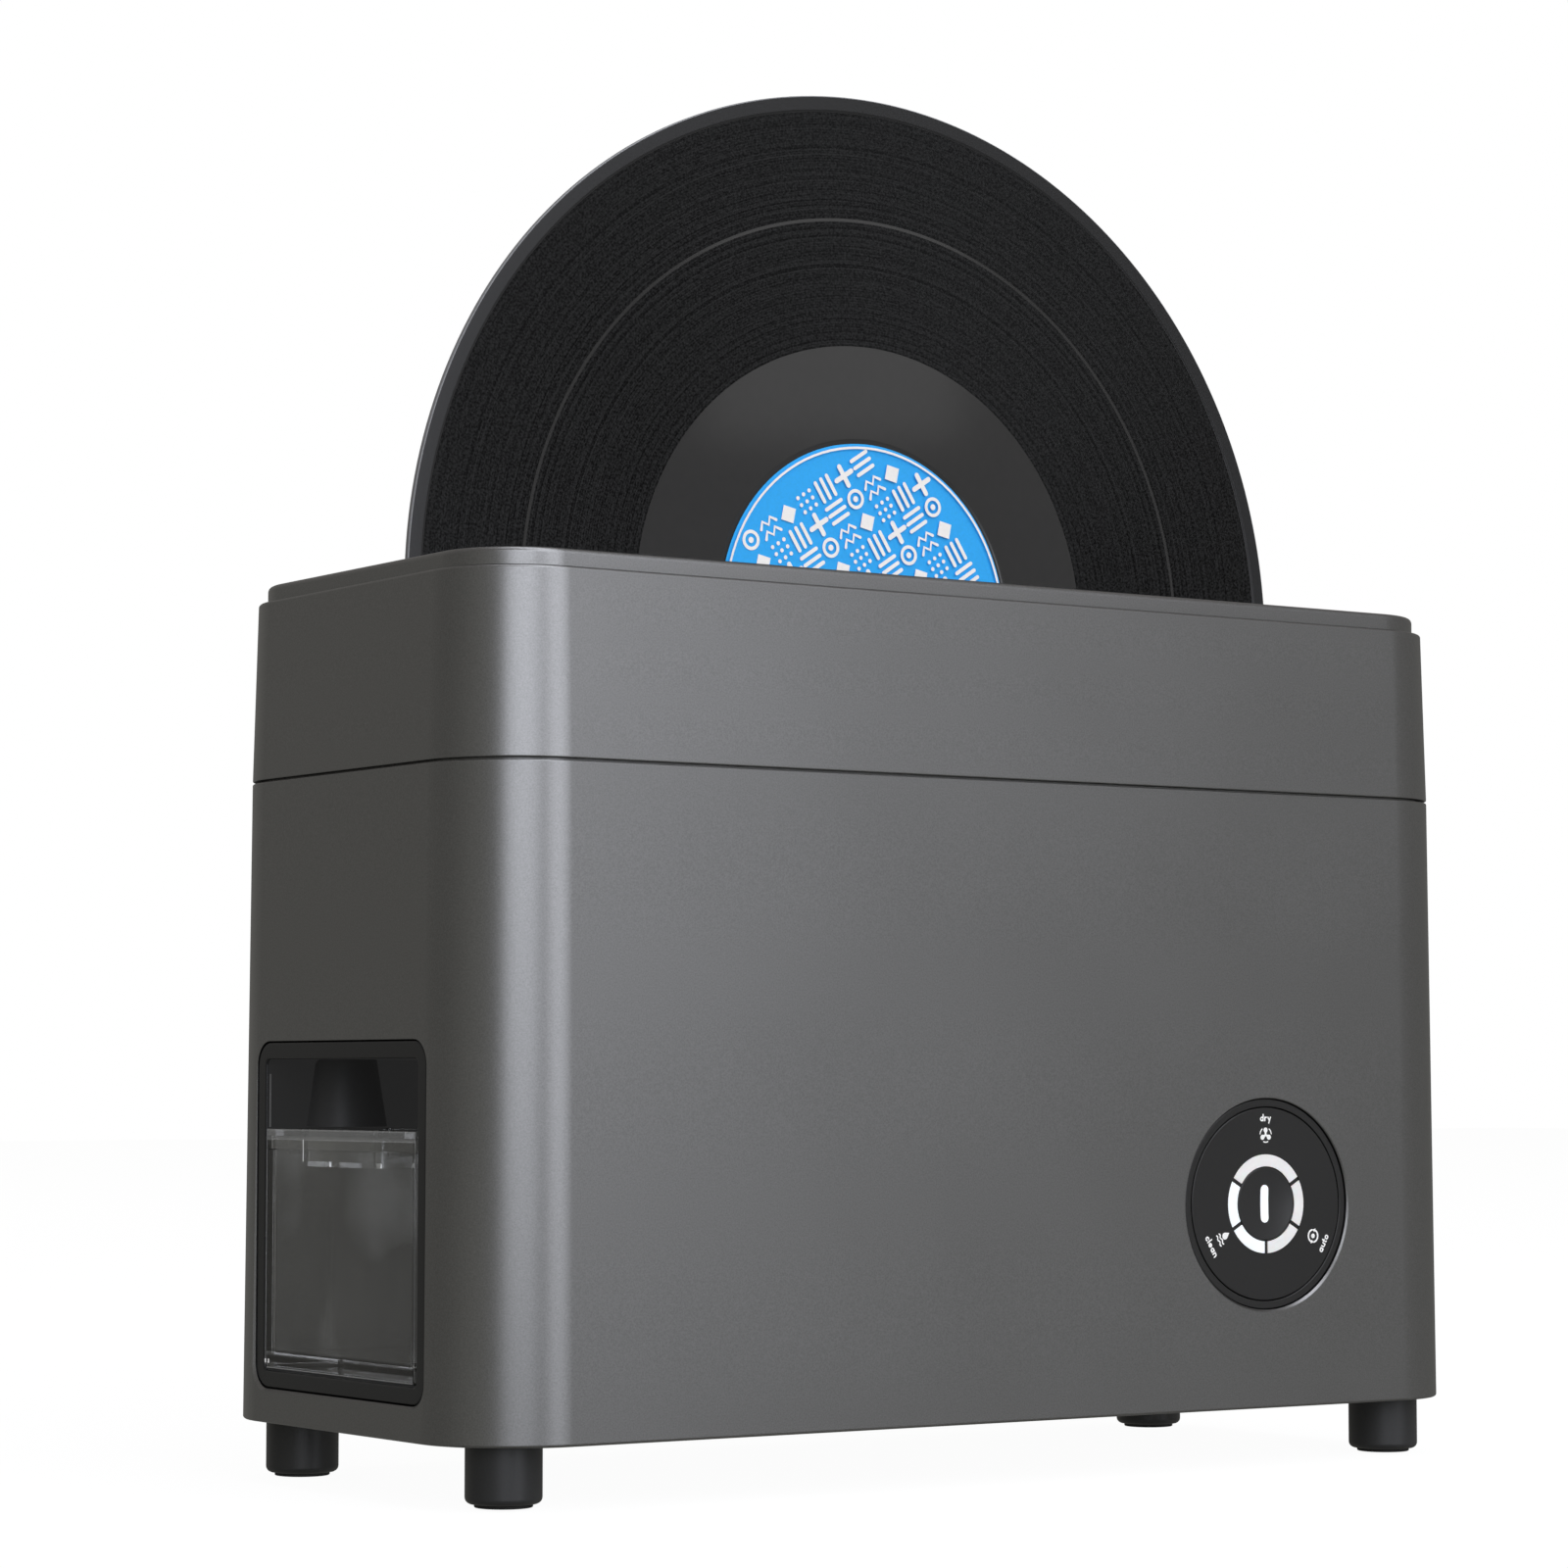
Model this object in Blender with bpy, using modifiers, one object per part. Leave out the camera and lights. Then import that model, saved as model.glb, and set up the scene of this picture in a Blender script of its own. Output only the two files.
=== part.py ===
"""Ultrasonic record cleaning machine with a 12 inch record standing in its slot.

Lengths are in metres. +Z is up, the front faces -Y, and the floor is at z = 0.
The record stands in a narrow water bath and is turned by a grooved roller. A
water tank slides out of the left side, and blowers dry the record above the water.
"""

import math

import bmesh
import bpy
from mathutils import Matrix, Vector

# Clearances shared by all pieces
GAP = 0.0003
RUNNING_GAP = 0.0001
OVERRUN = 0.001

# Facet counts
CORNER_STEPS = 6
SMALL_CORNER_STEPS = 3
RECORD_STEPS = 64
ROUND_STEPS = 24
MEDIUM_STEPS = 16
SMALL_STEPS = 8
ARC_STEPS = 10
SHARP_ANGLE = math.radians(32)
SCREW_MERGE = 0.00001

# Body shells
SIDE_MARGIN = 0.01845
BODY_DEPTH = 0.1475
BODY_CORNER = 0.0284
BODY_BOTTOM = 0.0160
SEAM_GAP = 0.0006
UPPER_SHELL_HEIGHT = 0.0501
LOWER_DRAFT_SHARE = 0.007
UPPER_DRAFT_SHARE = 0.026
WALL = 0.0025
EDGE_CHAMFER = 0.0008
SEAM_CHAMFER = 0.0004
TONGUE_THICKNESS = 0.0012
TONGUE_DEPTH = 0.0040
TONGUE_ROOT = 0.0040

# Top cover and slot trim
COVER_STEP = 0.0025
COVER_HEIGHT = 0.0050
COVER_EDGE = 0.0010
COVER_RIM = 0.0050
COVER_DISH = 0.0012
TRIM_FLANGE = 0.0028
TRIM_THICKNESS = 0.0010
TRIM_WALL = 0.0016
TRIM_DEPTH = 0.0036
SLOT_HALF_WIDTH = 0.0065
SLOT_END_GAP = 0.0030

# Record
RECORD_RADIUS = 0.1508
RECORD_BELOW_TOP = 0.0037
RECORD_Y = -0.0025
RECORD_RIM_HALF = 0.00095
RECORD_GROOVE_HALF = 0.0007
RECORD_CENTRE_HALF = 0.00045
RECORD_BEAD = 0.0025
RECORD_BEVEL = 0.0004
LABEL_RADIUS = 0.0500
LABEL_THICKNESS = 0.00015
LABEL_RECESS_EDGE = 0.0008
SPINDLE_RADIUS = 0.00362
LABEL_HOLE_GAP = 0.0006

# Bath
BATH_FLOOR_GAP = 0.0052
BATH_HALF_WIDTH = 0.0080
BATH_WALL = 0.0018
BATH_END_GAP = 0.0032
BATH_ARC_END = math.radians(43)
BATH_SHELF_GAP = 0.00355
UNDER_BATH_SPACE = 0.0696
BATH_FLANGE_REACH = 0.0050
BATH_FLANGE_THICKNESS = 0.0022
BATH_RIM_SIDE_GAP = 0.0005
AIR_SLIT_DROP = 0.0238
AIR_SLIT_HEIGHT = 0.0045
AIR_SLIT_HALF_LENGTH = 0.0700
NIPPLE_X = 0.0140
NIPPLE_RADIUS = 0.0040
NIPPLE_BORE = 0.0022
NIPPLE_LENGTH = 0.0090

# Rollers, their axles and the gear train
ROLLER_ANGLE = math.radians(60)
ROLLER_SEAT_RADIUS = 0.0063
ROLLER_GROOVE_RADIUS = 0.0060
ROLLER_FLANGE_RADIUS = 0.0095
ROLLER_GROOVE_HALF = 0.0006
ROLLER_MOUTH_HALF = 0.0042
ROLLER_HALF_WIDTH = 0.0056
ROLLER_HUB_RADIUS = 0.0042
AXLE_RADIUS = 0.0020
AXLE_BOSS_RADIUS = 0.0060
AXLE_BOSS_DEPTH = 0.0040
AXLE_CAP_RADIUS = 0.0036
AXLE_CAP_THICKNESS = 0.0012
GEAR_MODULE = 0.0010
GEAR_TEETH = 24
PINION_TEETH = 12
GEAR_WIDTH = 0.0045
GEAR_HUB_RADIUS = 0.0048
GEAR_HUB_LENGTH = 0.0024
GEAR_PLAY = 0.00012
PRESSURE_ANGLE = math.radians(20)
ADDENDUM_SHARE = 0.85
DEDENDUM_SHARE = 1.2
FLANK_STEPS = 2
MOTOR_RADIUS = 0.0140
MOTOR_LENGTH = 0.0300
MOTOR_CAP_RADIUS = 0.0110
MOTOR_CAP_LENGTH = 0.0040
MOTOR_SHAFT_RADIUS = 0.0015
MOTOR_SHAFT_SEAT = 0.0080
BRACKET_THICKNESS = 0.0020
BRACKET_MARGIN = 0.0040
BRACKET_POST_RADIUS = 0.0030

# Blowers and air ducts
BLOWER_TO_IDLER = 0.0360
BLOWER_DROP = 0.0070
BLOWER_DEPTH = 0.0180
BLOWER_WALL = 0.0015
VOLUTE_START = 0.0235
VOLUTE_END = 0.0310
OUTLET_LEFT = 0.0135
OUTLET_RISE = 0.0320
INLET_RADIUS = 0.0150
BLOWER_BOSS_RADIUS = 0.0070
BLOWER_BOSS_LENGTH = 0.0080
IMPELLER_RADIUS = 0.0205
IMPELLER_HUB_RADIUS = 0.0095
IMPELLER_PLATE = 0.0012
IMPELLER_BLADES = 11
IMPELLER_LENGTH = 0.0125
IMPELLER_GAP = 0.0006
IMPELLER_FLOOR_GAP = 0.0008
BLADE_THICKNESS = 0.0010
BLADE_SWEEP = math.radians(34)
BLADE_STEPS = 2
DUCT_MARGIN = 0.0030

# Tank bay and water tank
BEZEL_SIDE_MARGIN = 0.02735
BEZEL_RISE = 0.0095
BAY_TO_BLOWER = 0.00475
BEZEL_CORNER = 0.0065
BEZEL_BORDER = 0.0046
BEZEL_DEPTH = 0.0028
BEZEL_RECESS = 0.0009
BAY_CORNER = 0.0016
BAY_DEPTH = 0.0605
BAY_WALL = 0.0016
BAY_RIB_SETBACK = 0.02535
BAY_RIB_TOP_RADIUS = 0.0080
BAY_RIB_FOOT_RADIUS = 0.0105
BAY_RIB_SINK = 0.0020
TANK_SIDE_GAP = 0.0004
TANK_HEADROOM = 0.0233
TANK_WALL = 0.0023
TANK_FLOOR = 0.0036
TANK_CORNER = 0.0015
TANK_EDGE = 0.0012
TANK_REAR_GAP = 0.0010
LID_SKIRT = 0.0055
LID_THICKNESS = 0.0020
LID_SKIRT_WALL = 0.0012
GRIP_HALF_WIDTH = 0.0196
GRIP_DEPTH = 0.0087
GRIP_LENGTH = 0.0220
GRIP_WALL = 0.0013
GRIP_SETBACK = 0.0015
PORT_MARGIN = 0.0168
PORT_RISE = 0.0240
PORT_RADIUS = 0.0032
PORT_BORE = 0.0018
PORT_LENGTH = 0.0060
VALVE_FLANGE_RADIUS = 0.0055
VALVE_FLANGE_DEPTH = 0.0012
VALVE_STEM_RADIUS = 0.0036
FILTER_RADIUS = 0.0080
FILTER_HEIGHT = 0.0420
FILTER_SETBACK = 0.0110

# Control panel
PANEL_SIDE_MARGIN = 0.07925
PANEL_RISE = 0.0575
PANEL_RADIUS = 0.0299
PANEL_CHAMFER = 0.0006
PANEL_SETBACK = 0.0008
PANEL_RING_WIDTH = 0.0021
PANEL_RING_DEPTH = 0.0110
PANEL_FLANGE_WIDTH = 0.0034
PANEL_FLANGE_DEPTH = 0.0015
PANEL_LEDGE_WIDTH = 0.0016
PANEL_DISC_DEPTH = 0.0025
LIGHT_OUTER = 0.01395
LIGHT_INNER = 0.01060
LIGHT_FLANGE = 0.0030
LIGHT_FLANGE_DEPTH = 0.0018
LIGHT_GROOVE_WIDTH = 0.0010
LIGHT_GROOVE_DEPTH = 0.0005
LIGHT_DIVIDER_DEGREES = (60, 120, 180, 240, 300)
BUTTON_DISH = 0.0008
BUTTON_CAP = 0.0015
BUTTON_SKIRT_WALL = 0.0013
BUTTON_SKIRT = 0.0055
BUTTON_STEM_RADIUS = 0.0022
BUTTON_TRAVEL = 0.0012
SWITCH_HALF = 0.0030
SWITCH_HEIGHT = 0.0023
BOARD_THICKNESS = 0.0016
SOCKET_HALF_WIDTH = 0.0060
SOCKET_HALF_HEIGHT = 0.0022
SOCKET_DEPTH = 0.0050
SOCKET_DROP = 0.0150

# Base plate, feet and screws
BASE_THICKNESS = 0.0025
BASE_RECESS = 0.0010
FOOT_SIDE_MARGIN = 0.01955
FOOT_END_MARGIN = 0.01925
FOOT_RADIUS = 0.00996
FOOT_EDGE = 0.0014
FOOT_EDGE_STEPS = 2
PAD_RADIUS = 0.0082
PAD_HEIGHT = 0.0015
SCREW_SIDE_MARGIN = 0.05125
SCREW_END_MARGIN = 0.00675
SCREW_HEAD_RADIUS = 0.0030
SCREW_HEAD_DEPTH = 0.0014
SCREW_SHANK_RADIUS = 0.0015
SCREW_LENGTH = 0.0110
SCREW_SLOT_WIDTH = 0.0008
POST_RADIUS = 0.0050
POST_HEIGHT = 0.0160
VENT_SLOT_COUNT = 7
VENT_SLOT_WIDTH = 0.0030
VENT_SLOT_PITCH = 0.0062
BASE_VENT_HALF_LENGTH = 0.0180
BASE_VENT_X = 0.0300
BASE_VENT_MARGIN = 0.02575

# Rear vent and power inlet
REAR_VENT_HALF_WIDTH = 0.0330
REAR_VENT_HALF_HEIGHT = 0.0260
REAR_VENT_CORNER = 0.0040
REAR_VENT_BORDER = 0.0040
REAR_VENT_DROP = 0.0082
REAR_VENT_THICKNESS = 0.0022
REAR_VENT_SETBACK = 0.0012
REAR_SLOT_COUNT = 8
REAR_SLOT_HEIGHT = 0.0032
REAR_SLOT_PITCH = 0.0058
INLET_SIDE_MARGIN = 0.05125
INLET_RISE = 0.0300
INLET_COLLAR = 0.0055
INLET_BORE = 0.0030
INLET_BORE_DEPTH = 0.0090
INLET_PIN = 0.0010
INLET_SETBACK = 0.0008
INLET_BLOCK = 0.0070
INLET_BLOCK_DEPTH = 0.0100

# Pump, valve, hoses and electronics
PUMP_TO_BAY = 0.0170
PUMP_MARGIN = 0.03575
PUMP_HEAD_RADIUS = 0.0140
PUMP_HEAD_LENGTH = 0.0140
PUMP_MOTOR_RADIUS = 0.0120
PUMP_MOTOR_LENGTH = 0.0280
PUMP_SADDLE_HALF = 0.0070
PUMP_NIPPLE_RADIUS = 0.0030
PUMP_NIPPLE_LENGTH = 0.0050
VALVE_MARGIN = 0.03975
VALVE_HALF = 0.0095
VALVE_HEIGHT = 0.0260
VALVE_COIL_RADIUS = 0.0075
VALVE_COIL_LENGTH = 0.0120
HOSE_RADIUS = 0.0032
HOSE_BEND = 0.0090
HOSE_STEPS = 3
TRANSDUCER_X = 0.0350
TRANSDUCER_RISE = 0.0404
TRANSDUCER_RADIUS = 0.0190
TRANSDUCER_BELL = 0.0140
TRANSDUCER_NECK = 0.0110
TRANSDUCER_STACK = 0.0130
TRANSDUCER_LENGTHS = (0.0020, 0.0160, 0.0200, 0.0320)
DRIVER_SIDE_MARGIN = 0.09925
DRIVER_MARGIN = 0.04275
DRIVER_HALF_LENGTH = 0.0450
DRIVER_HALF_WIDTH = 0.0220
DRIVER_STANDOFF = 0.0060
DRIVER_STANDOFF_RADIUS = 0.0028
DRIVER_STANDOFF_INSET = 0.0050
SINK_LENGTH = 0.0400
SINK_DEPTH = 0.0120
SINK_HEIGHT = 0.0200
SINK_FINS = 5
SINK_FIN_GAP = 0.0040
COIL_HALF = 0.0110
COIL_HEIGHT = 0.0160
CAPACITOR_RADIUS = 0.0060
CAPACITOR_HEIGHT = 0.0180

# The four corners
SCREW_SIDES = ((-1, -1), (1, -1), (-1, 1), (1, 1))
CORNER_NAMES = ("front_left", "front_right", "back_left", "back_right")

# Places worked out from the sizes above
BODY_WIDTH = (RECORD_RADIUS + SIDE_MARGIN) * 2
BATH_RADIUS = RECORD_RADIUS + BATH_FLOOR_GAP
BATH_FLOOR = BODY_BOTTOM + UNDER_BATH_SPACE
RECORD_Z = BATH_FLOOR + BATH_RADIUS
RECORD_CENTRE = Vector((0, RECORD_Y, RECORD_Z))
COVER_TOP = RECORD_Z + RECORD_BELOW_TOP
SHOULDER_HEIGHT = COVER_TOP - COVER_HEIGHT
SEAM_HEIGHT = SHOULDER_HEIGHT - UPPER_SHELL_HEIGHT
AIR_SLIT_HIGH = SHOULDER_HEIGHT - AIR_SLIT_DROP
AIR_SLIT_LOW = AIR_SLIT_HIGH - AIR_SLIT_HEIGHT
DUCT_LOW = AIR_SLIT_LOW - DUCT_MARGIN
DUCT_HIGH = AIR_SLIT_HIGH + DUCT_MARGIN
DUCT_END = AIR_SLIT_HALF_LENGTH + DUCT_MARGIN
ROLLER_DISTANCE = RECORD_RADIUS + ROLLER_SEAT_RADIUS
ROLLER_X = ROLLER_DISTANCE * math.sin(ROLLER_ANGLE)
ROLLER_Z = RECORD_Z - ROLLER_DISTANCE * math.cos(ROLLER_ANGLE)
BATH_HALF_LENGTH = RECORD_RADIUS + BATH_END_GAP
BATH_OUTER = BATH_HALF_WIDTH + BATH_WALL
BATH_SHELF_HEIGHT = ROLLER_Z - ROLLER_FLANGE_RADIUS - BATH_SHELF_GAP
BLOWER_X = -(ROLLER_X - BLOWER_TO_IDLER)
BLOWER_Z = ROLLER_Z - BLOWER_DROP
BEZEL_HALF_WIDTH = BODY_DEPTH / 2 - BEZEL_SIDE_MARGIN
BEZEL_LOW = BODY_BOTTOM + BEZEL_RISE
BEZEL_HIGH = BLOWER_Z - VOLUTE_END - BLOWER_WALL - BAY_TO_BLOWER
TANK_TOP = BEZEL_HIGH - TANK_HEADROOM
PORT_HEIGHT = BODY_BOTTOM + PORT_RISE
PANEL_X = BODY_WIDTH / 2 - PANEL_SIDE_MARGIN
PANEL_Z = BODY_BOTTOM + PANEL_RISE
FOOT_X = BODY_WIDTH / 2 - FOOT_SIDE_MARGIN
FOOT_Y = BODY_DEPTH / 2 - FOOT_END_MARGIN
SCREW_X = BODY_WIDTH / 2 - SCREW_SIDE_MARGIN
SCREW_Y = BODY_DEPTH / 2 - SCREW_END_MARGIN
BASE_VENT_Y = BASE_VENT_MARGIN - BODY_DEPTH / 2
REAR_VENT_Z = SEAM_HEIGHT - REAR_VENT_DROP - REAR_VENT_HALF_HEIGHT
INLET_X = BODY_WIDTH / 2 - INLET_SIDE_MARGIN
INLET_Z = BODY_BOTTOM + INLET_RISE
BAY_BACK = BEZEL_RECESS + BAY_DEPTH + BAY_WALL - BODY_WIDTH / 2
BAY_RIB_X = BEZEL_RECESS + BAY_RIB_SETBACK - BODY_WIDTH / 2
PORT_Y = BEZEL_HALF_WIDTH - BEZEL_BORDER - PORT_MARGIN
PUMP_X = BAY_BACK + PORT_LENGTH + PUMP_TO_BAY + (PUMP_HEAD_LENGTH + PUMP_MOTOR_LENGTH) / 2
PUMP_Y = BODY_DEPTH / 2 - PUMP_MARGIN
VALVE_X = NIPPLE_X
VALVE_Y = VALVE_MARGIN - BODY_DEPTH / 2
TRANSDUCER_Z = BATH_FLOOR + TRANSDUCER_RISE
DRIVER_X = BODY_WIDTH / 2 - DRIVER_SIDE_MARGIN
DRIVER_Y = BODY_DEPTH / 2 - DRIVER_MARGIN
BASE_TOP = BODY_BOTTOM + BASE_RECESS + BASE_THICKNESS
BASE_SEAT = BASE_TOP + GAP
MOTOR_X = ROLLER_X - GEAR_MODULE * (GEAR_TEETH + PINION_TEETH) / 2
GEAR_NEAR = BATH_OUTER + AXLE_BOSS_DEPTH + GAP
BRACKET_NEAR = GEAR_NEAR + GEAR_HUB_LENGTH + GEAR_WIDTH + GAP


def new_collection(name):
    """Return a new collection linked to the scene."""
    collection = bpy.data.collections.new(name)
    bpy.context.scene.collection.children.link(collection)
    return collection


def clear_scene():
    """Remove the objects that the scene starts with."""
    for old in list(bpy.data.objects):
        bpy.data.objects.remove(old)


clear_scene()
PARTS = new_collection("record_cleaning_machine")
CUTTERS = new_collection("cutters")


def make_material(name, colour, roughness, metallic=0.0, transmission=0.0):
    """Return a Principled material."""
    material = bpy.data.materials.new(name)
    material.use_nodes = True
    shader = material.node_tree.nodes["Principled BSDF"]
    shader.inputs["Base Color"].default_value = (*colour, 1)
    shader.inputs["Roughness"].default_value = roughness
    shader.inputs["Metallic"].default_value = metallic
    shader.inputs["Transmission Weight"].default_value = transmission
    return material


MATERIALS = {
    "graphite_paint": make_material("graphite_paint", (0.115, 0.115, 0.120), 0.42, 0.55),
    "black_plastic": make_material("black_plastic", (0.016, 0.016, 0.017), 0.45),
    "panel_black": make_material("panel_black", (0.030, 0.030, 0.031), 0.50),
    "light_white": make_material("light_white", (0.86, 0.85, 0.86), 0.35),
    "clear_plastic": make_material("clear_plastic", (0.75, 0.77, 0.78), 0.08, 0.0, 0.9),
    "filter_foam": make_material("filter_foam", (0.55, 0.56, 0.55), 0.95),
    "rubber": make_material("rubber", (0.012, 0.012, 0.012), 0.80),
    "vinyl": make_material("vinyl", (0.008, 0.008, 0.009), 0.28),
    "label_paper": make_material("label_paper", (0.025, 0.36, 0.91), 0.55),
    "bath_plastic": make_material("bath_plastic", (0.045, 0.046, 0.048), 0.40),
    "gear_plastic": make_material("gear_plastic", (0.80, 0.78, 0.72), 0.45),
    "steel": make_material("steel", (0.56, 0.56, 0.57), 0.28, 1.0),
    "aluminium": make_material("aluminium", (0.62, 0.63, 0.64), 0.35, 1.0),
    "circuit_board": make_material("circuit_board", (0.010, 0.080, 0.030), 0.50),
    "silicone_hose": make_material("silicone_hose", (0.70, 0.70, 0.68), 0.50),
}


def finish(item, name, material):
    """Name a finished piece, put it in the parts collection, shade it and paint it."""
    item.name = name
    item.data.name = name
    for collection in list(item.users_collection):
        collection.objects.unlink(item)
    PARTS.objects.link(item)
    item.data.materials.clear()
    item.data.materials.append(MATERIALS[material])
    item.data.shade_smooth()
    item.data.set_sharp_from_angle(angle=SHARP_ANGLE)
    return item


def from_bmesh(shape):
    """Return an object that holds a bmesh, with its faces pointing out."""
    bmesh.ops.recalc_face_normals(shape, faces=shape.faces)
    mesh = bpy.data.meshes.new("shape")
    shape.to_mesh(mesh)
    shape.free()
    item = bpy.data.objects.new("shape", mesh)
    PARTS.objects.link(item)
    return item


def box(low, high):
    """Return a box between two corners."""
    low, high = Vector(low), Vector(high)
    shape = bmesh.new()
    placed = Matrix.Translation((low + high) / 2) @ Matrix.Diagonal((*(high - low), 1))
    bmesh.ops.create_cube(shape, size=1, matrix=placed)
    return from_bmesh(shape)


def rod(start, end, radius, steps=SMALL_STEPS, end_radius=None):
    """Return a cylinder or cone from start to end."""
    start, end = Vector(start), Vector(end)
    along = end - start
    placed = Matrix.Translation((start + end) / 2) @ along.to_track_quat("Z", "Y").to_matrix().to_4x4()
    shape = bmesh.new()
    far_radius = radius if end_radius is None else end_radius
    bmesh.ops.create_cone(
        shape, cap_ends=True, segments=steps, radius1=radius, radius2=far_radius, depth=along.length, matrix=placed
    )
    return from_bmesh(shape)


def turned(profile, centre, axis, steps, closed=False):
    """Return a turned piece. The profile holds (radius, along axis) points, outer side from top to bottom."""
    points = [(radius, 0, along) for radius, along in profile]
    edges = [(index, index + 1) for index in range(len(points) - 1)]
    if closed:
        edges.append((len(points) - 1, 0))
    mesh = bpy.data.meshes.new("profile")
    mesh.from_pydata(points, edges, [])
    item = bpy.data.objects.new("turned", mesh)
    PARTS.objects.link(item)
    item.location = centre
    item.rotation_mode = "QUATERNION"
    item.rotation_quaternion = Vector(axis).to_track_quat("Z", "Y")
    screw = item.modifiers.new("screw", "SCREW")
    screw.axis = "Z"
    screw.steps = steps
    screw.render_steps = steps
    screw.use_merge_vertices = True
    screw.merge_threshold = SCREW_MERGE
    return applied(item)


def applied(item):
    """Return the same object with its modifiers turned into mesh."""
    bpy.context.view_layer.update()
    graph = bpy.context.evaluated_depsgraph_get()
    mesh = bpy.data.meshes.new_from_object(item.evaluated_get(graph))
    if item.type == "CURVE":
        solid = bpy.data.objects.new("shape", mesh)
        PARTS.objects.link(solid)
        solid.matrix_world = item.matrix_world.copy()
        bpy.data.objects.remove(item)
        item = solid
    else:
        item.modifiers.clear()
        item.data = mesh
    shape = bmesh.new()
    shape.from_mesh(mesh)
    bmesh.ops.remove_doubles(shape, verts=shape.verts, dist=SCREW_MERGE)
    bmesh.ops.recalc_face_normals(shape, faces=shape.faces)
    shape.to_mesh(mesh)
    shape.free()
    return item


def slab(outline, low, high, plane="XZ"):
    """Return a flat outline given thickness: an XZ outline runs along Y, and a YZ outline along X."""
    curve = bpy.data.curves.new("outline", "CURVE")
    curve.dimensions = "2D"
    curve.fill_mode = "BOTH"
    curve.extrude = (high - low) / 2
    spline = curve.splines.new("POLY")
    spline.points.add(len(outline) - 1)
    for point, (sideways, up) in zip(spline.points, outline):
        point.co = (sideways, up, 0, 1)
    spline.use_cyclic_u = True
    item = bpy.data.objects.new("outline", curve)
    PARTS.objects.link(item)
    middle = (low + high) / 2
    quarter = math.pi / 2
    if plane == "XZ":
        item.location = (0, middle, 0)
        item.rotation_euler = (quarter, 0, 0)
    elif plane == "YZ":
        item.location = (middle, 0, 0)
        item.rotation_euler = (quarter, 0, quarter)
    else:
        item.location = (0, 0, middle)
    return applied(item)


def tube(points, radius):
    """Return a hose along a list of points, with filled ends."""
    curve = bpy.data.curves.new("hose", "CURVE")
    curve.dimensions = "3D"
    curve.bevel_depth = radius
    curve.bevel_resolution = 2
    curve.use_fill_caps = True
    spline = curve.splines.new("POLY")
    spline.points.add(len(points) - 1)
    for point, place in zip(spline.points, points):
        point.co = (*place, 1)
    item = bpy.data.objects.new("hose", curve)
    PARTS.objects.link(item)
    return applied(item)


def combine(item, other, operation):
    """Cut the other shape out of the item, or join it on, by an exact Boolean."""
    CUTTERS.objects.link(other)
    PARTS.objects.unlink(other)
    other.hide_render = True
    other.display_type = "WIRE"
    boolean = item.modifiers.new(operation.lower(), "BOOLEAN")
    boolean.operation = operation
    boolean.solver = "EXACT"
    boolean.object = other
    return item


def cut(item, *others):
    """Cut each other shape out of the item."""
    for other in others:
        combine(item, other, "DIFFERENCE")
    return item


def join(item, *others):
    """Join each other shape onto the item."""
    for other in others:
        combine(item, other, "UNION")
    return item


def rounded_outline(half_a, half_b, radius, steps, centre=(0, 0)):
    """Return the points of a rounded rectangle, anticlockwise."""
    points = []
    for corner, (side_a, side_b) in enumerate(((1, 1), (-1, 1), (-1, -1), (1, -1))):
        for step in range(steps + 1):
            angle = math.pi / 2 * (corner + step / steps)
            sideways = side_a * (half_a - radius) + radius * math.cos(angle)
            up = side_b * (half_b - radius) + radius * math.sin(angle)
            points.append((centre[0] + sideways, centre[1] + up))
    return points


def loft(rings, looped=False):
    """Return a solid through rings of equal point count, capped at its ends or closed on itself."""
    shape = bmesh.new()
    rows = [[shape.verts.new(point) for point in ring] for ring in rings]
    pairs = list(zip(rows, rows[1:]))
    if looped:
        pairs.append((rows[-1], rows[0]))
    count = len(rows[0])
    for near, far in pairs:
        for index in range(count):
            following = (index + 1) % count
            shape.faces.new((near[index], near[following], far[following], far[index]))
    if not looped:
        shape.faces.new(list(reversed(rows[0])))
        shape.faces.new(rows[-1])
    return from_bmesh(shape)


def draft_inset(height):
    """Return how far the body's wall leans in at a height."""
    lower = LOWER_DRAFT_SHARE * (min(height, SEAM_HEIGHT) - BODY_BOTTOM)
    upper = UPPER_DRAFT_SHARE * max(height - SEAM_HEIGHT, 0)
    return lower + upper


def body_ring(inset, height, steps=CORNER_STEPS):
    """Return the body's rounded outline at a height, moved in from the drafted wall by inset."""
    lean = draft_inset(height) + inset
    outline = rounded_outline(BODY_WIDTH / 2 - lean, BODY_DEPTH / 2 - lean, BODY_CORNER - lean, steps)
    return [(sideways, along, height) for sideways, along in outline]


def front_face_y(height):
    """Return the place of the body's front face at a height."""
    return -BODY_DEPTH / 2 + draft_inset(height)


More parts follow.
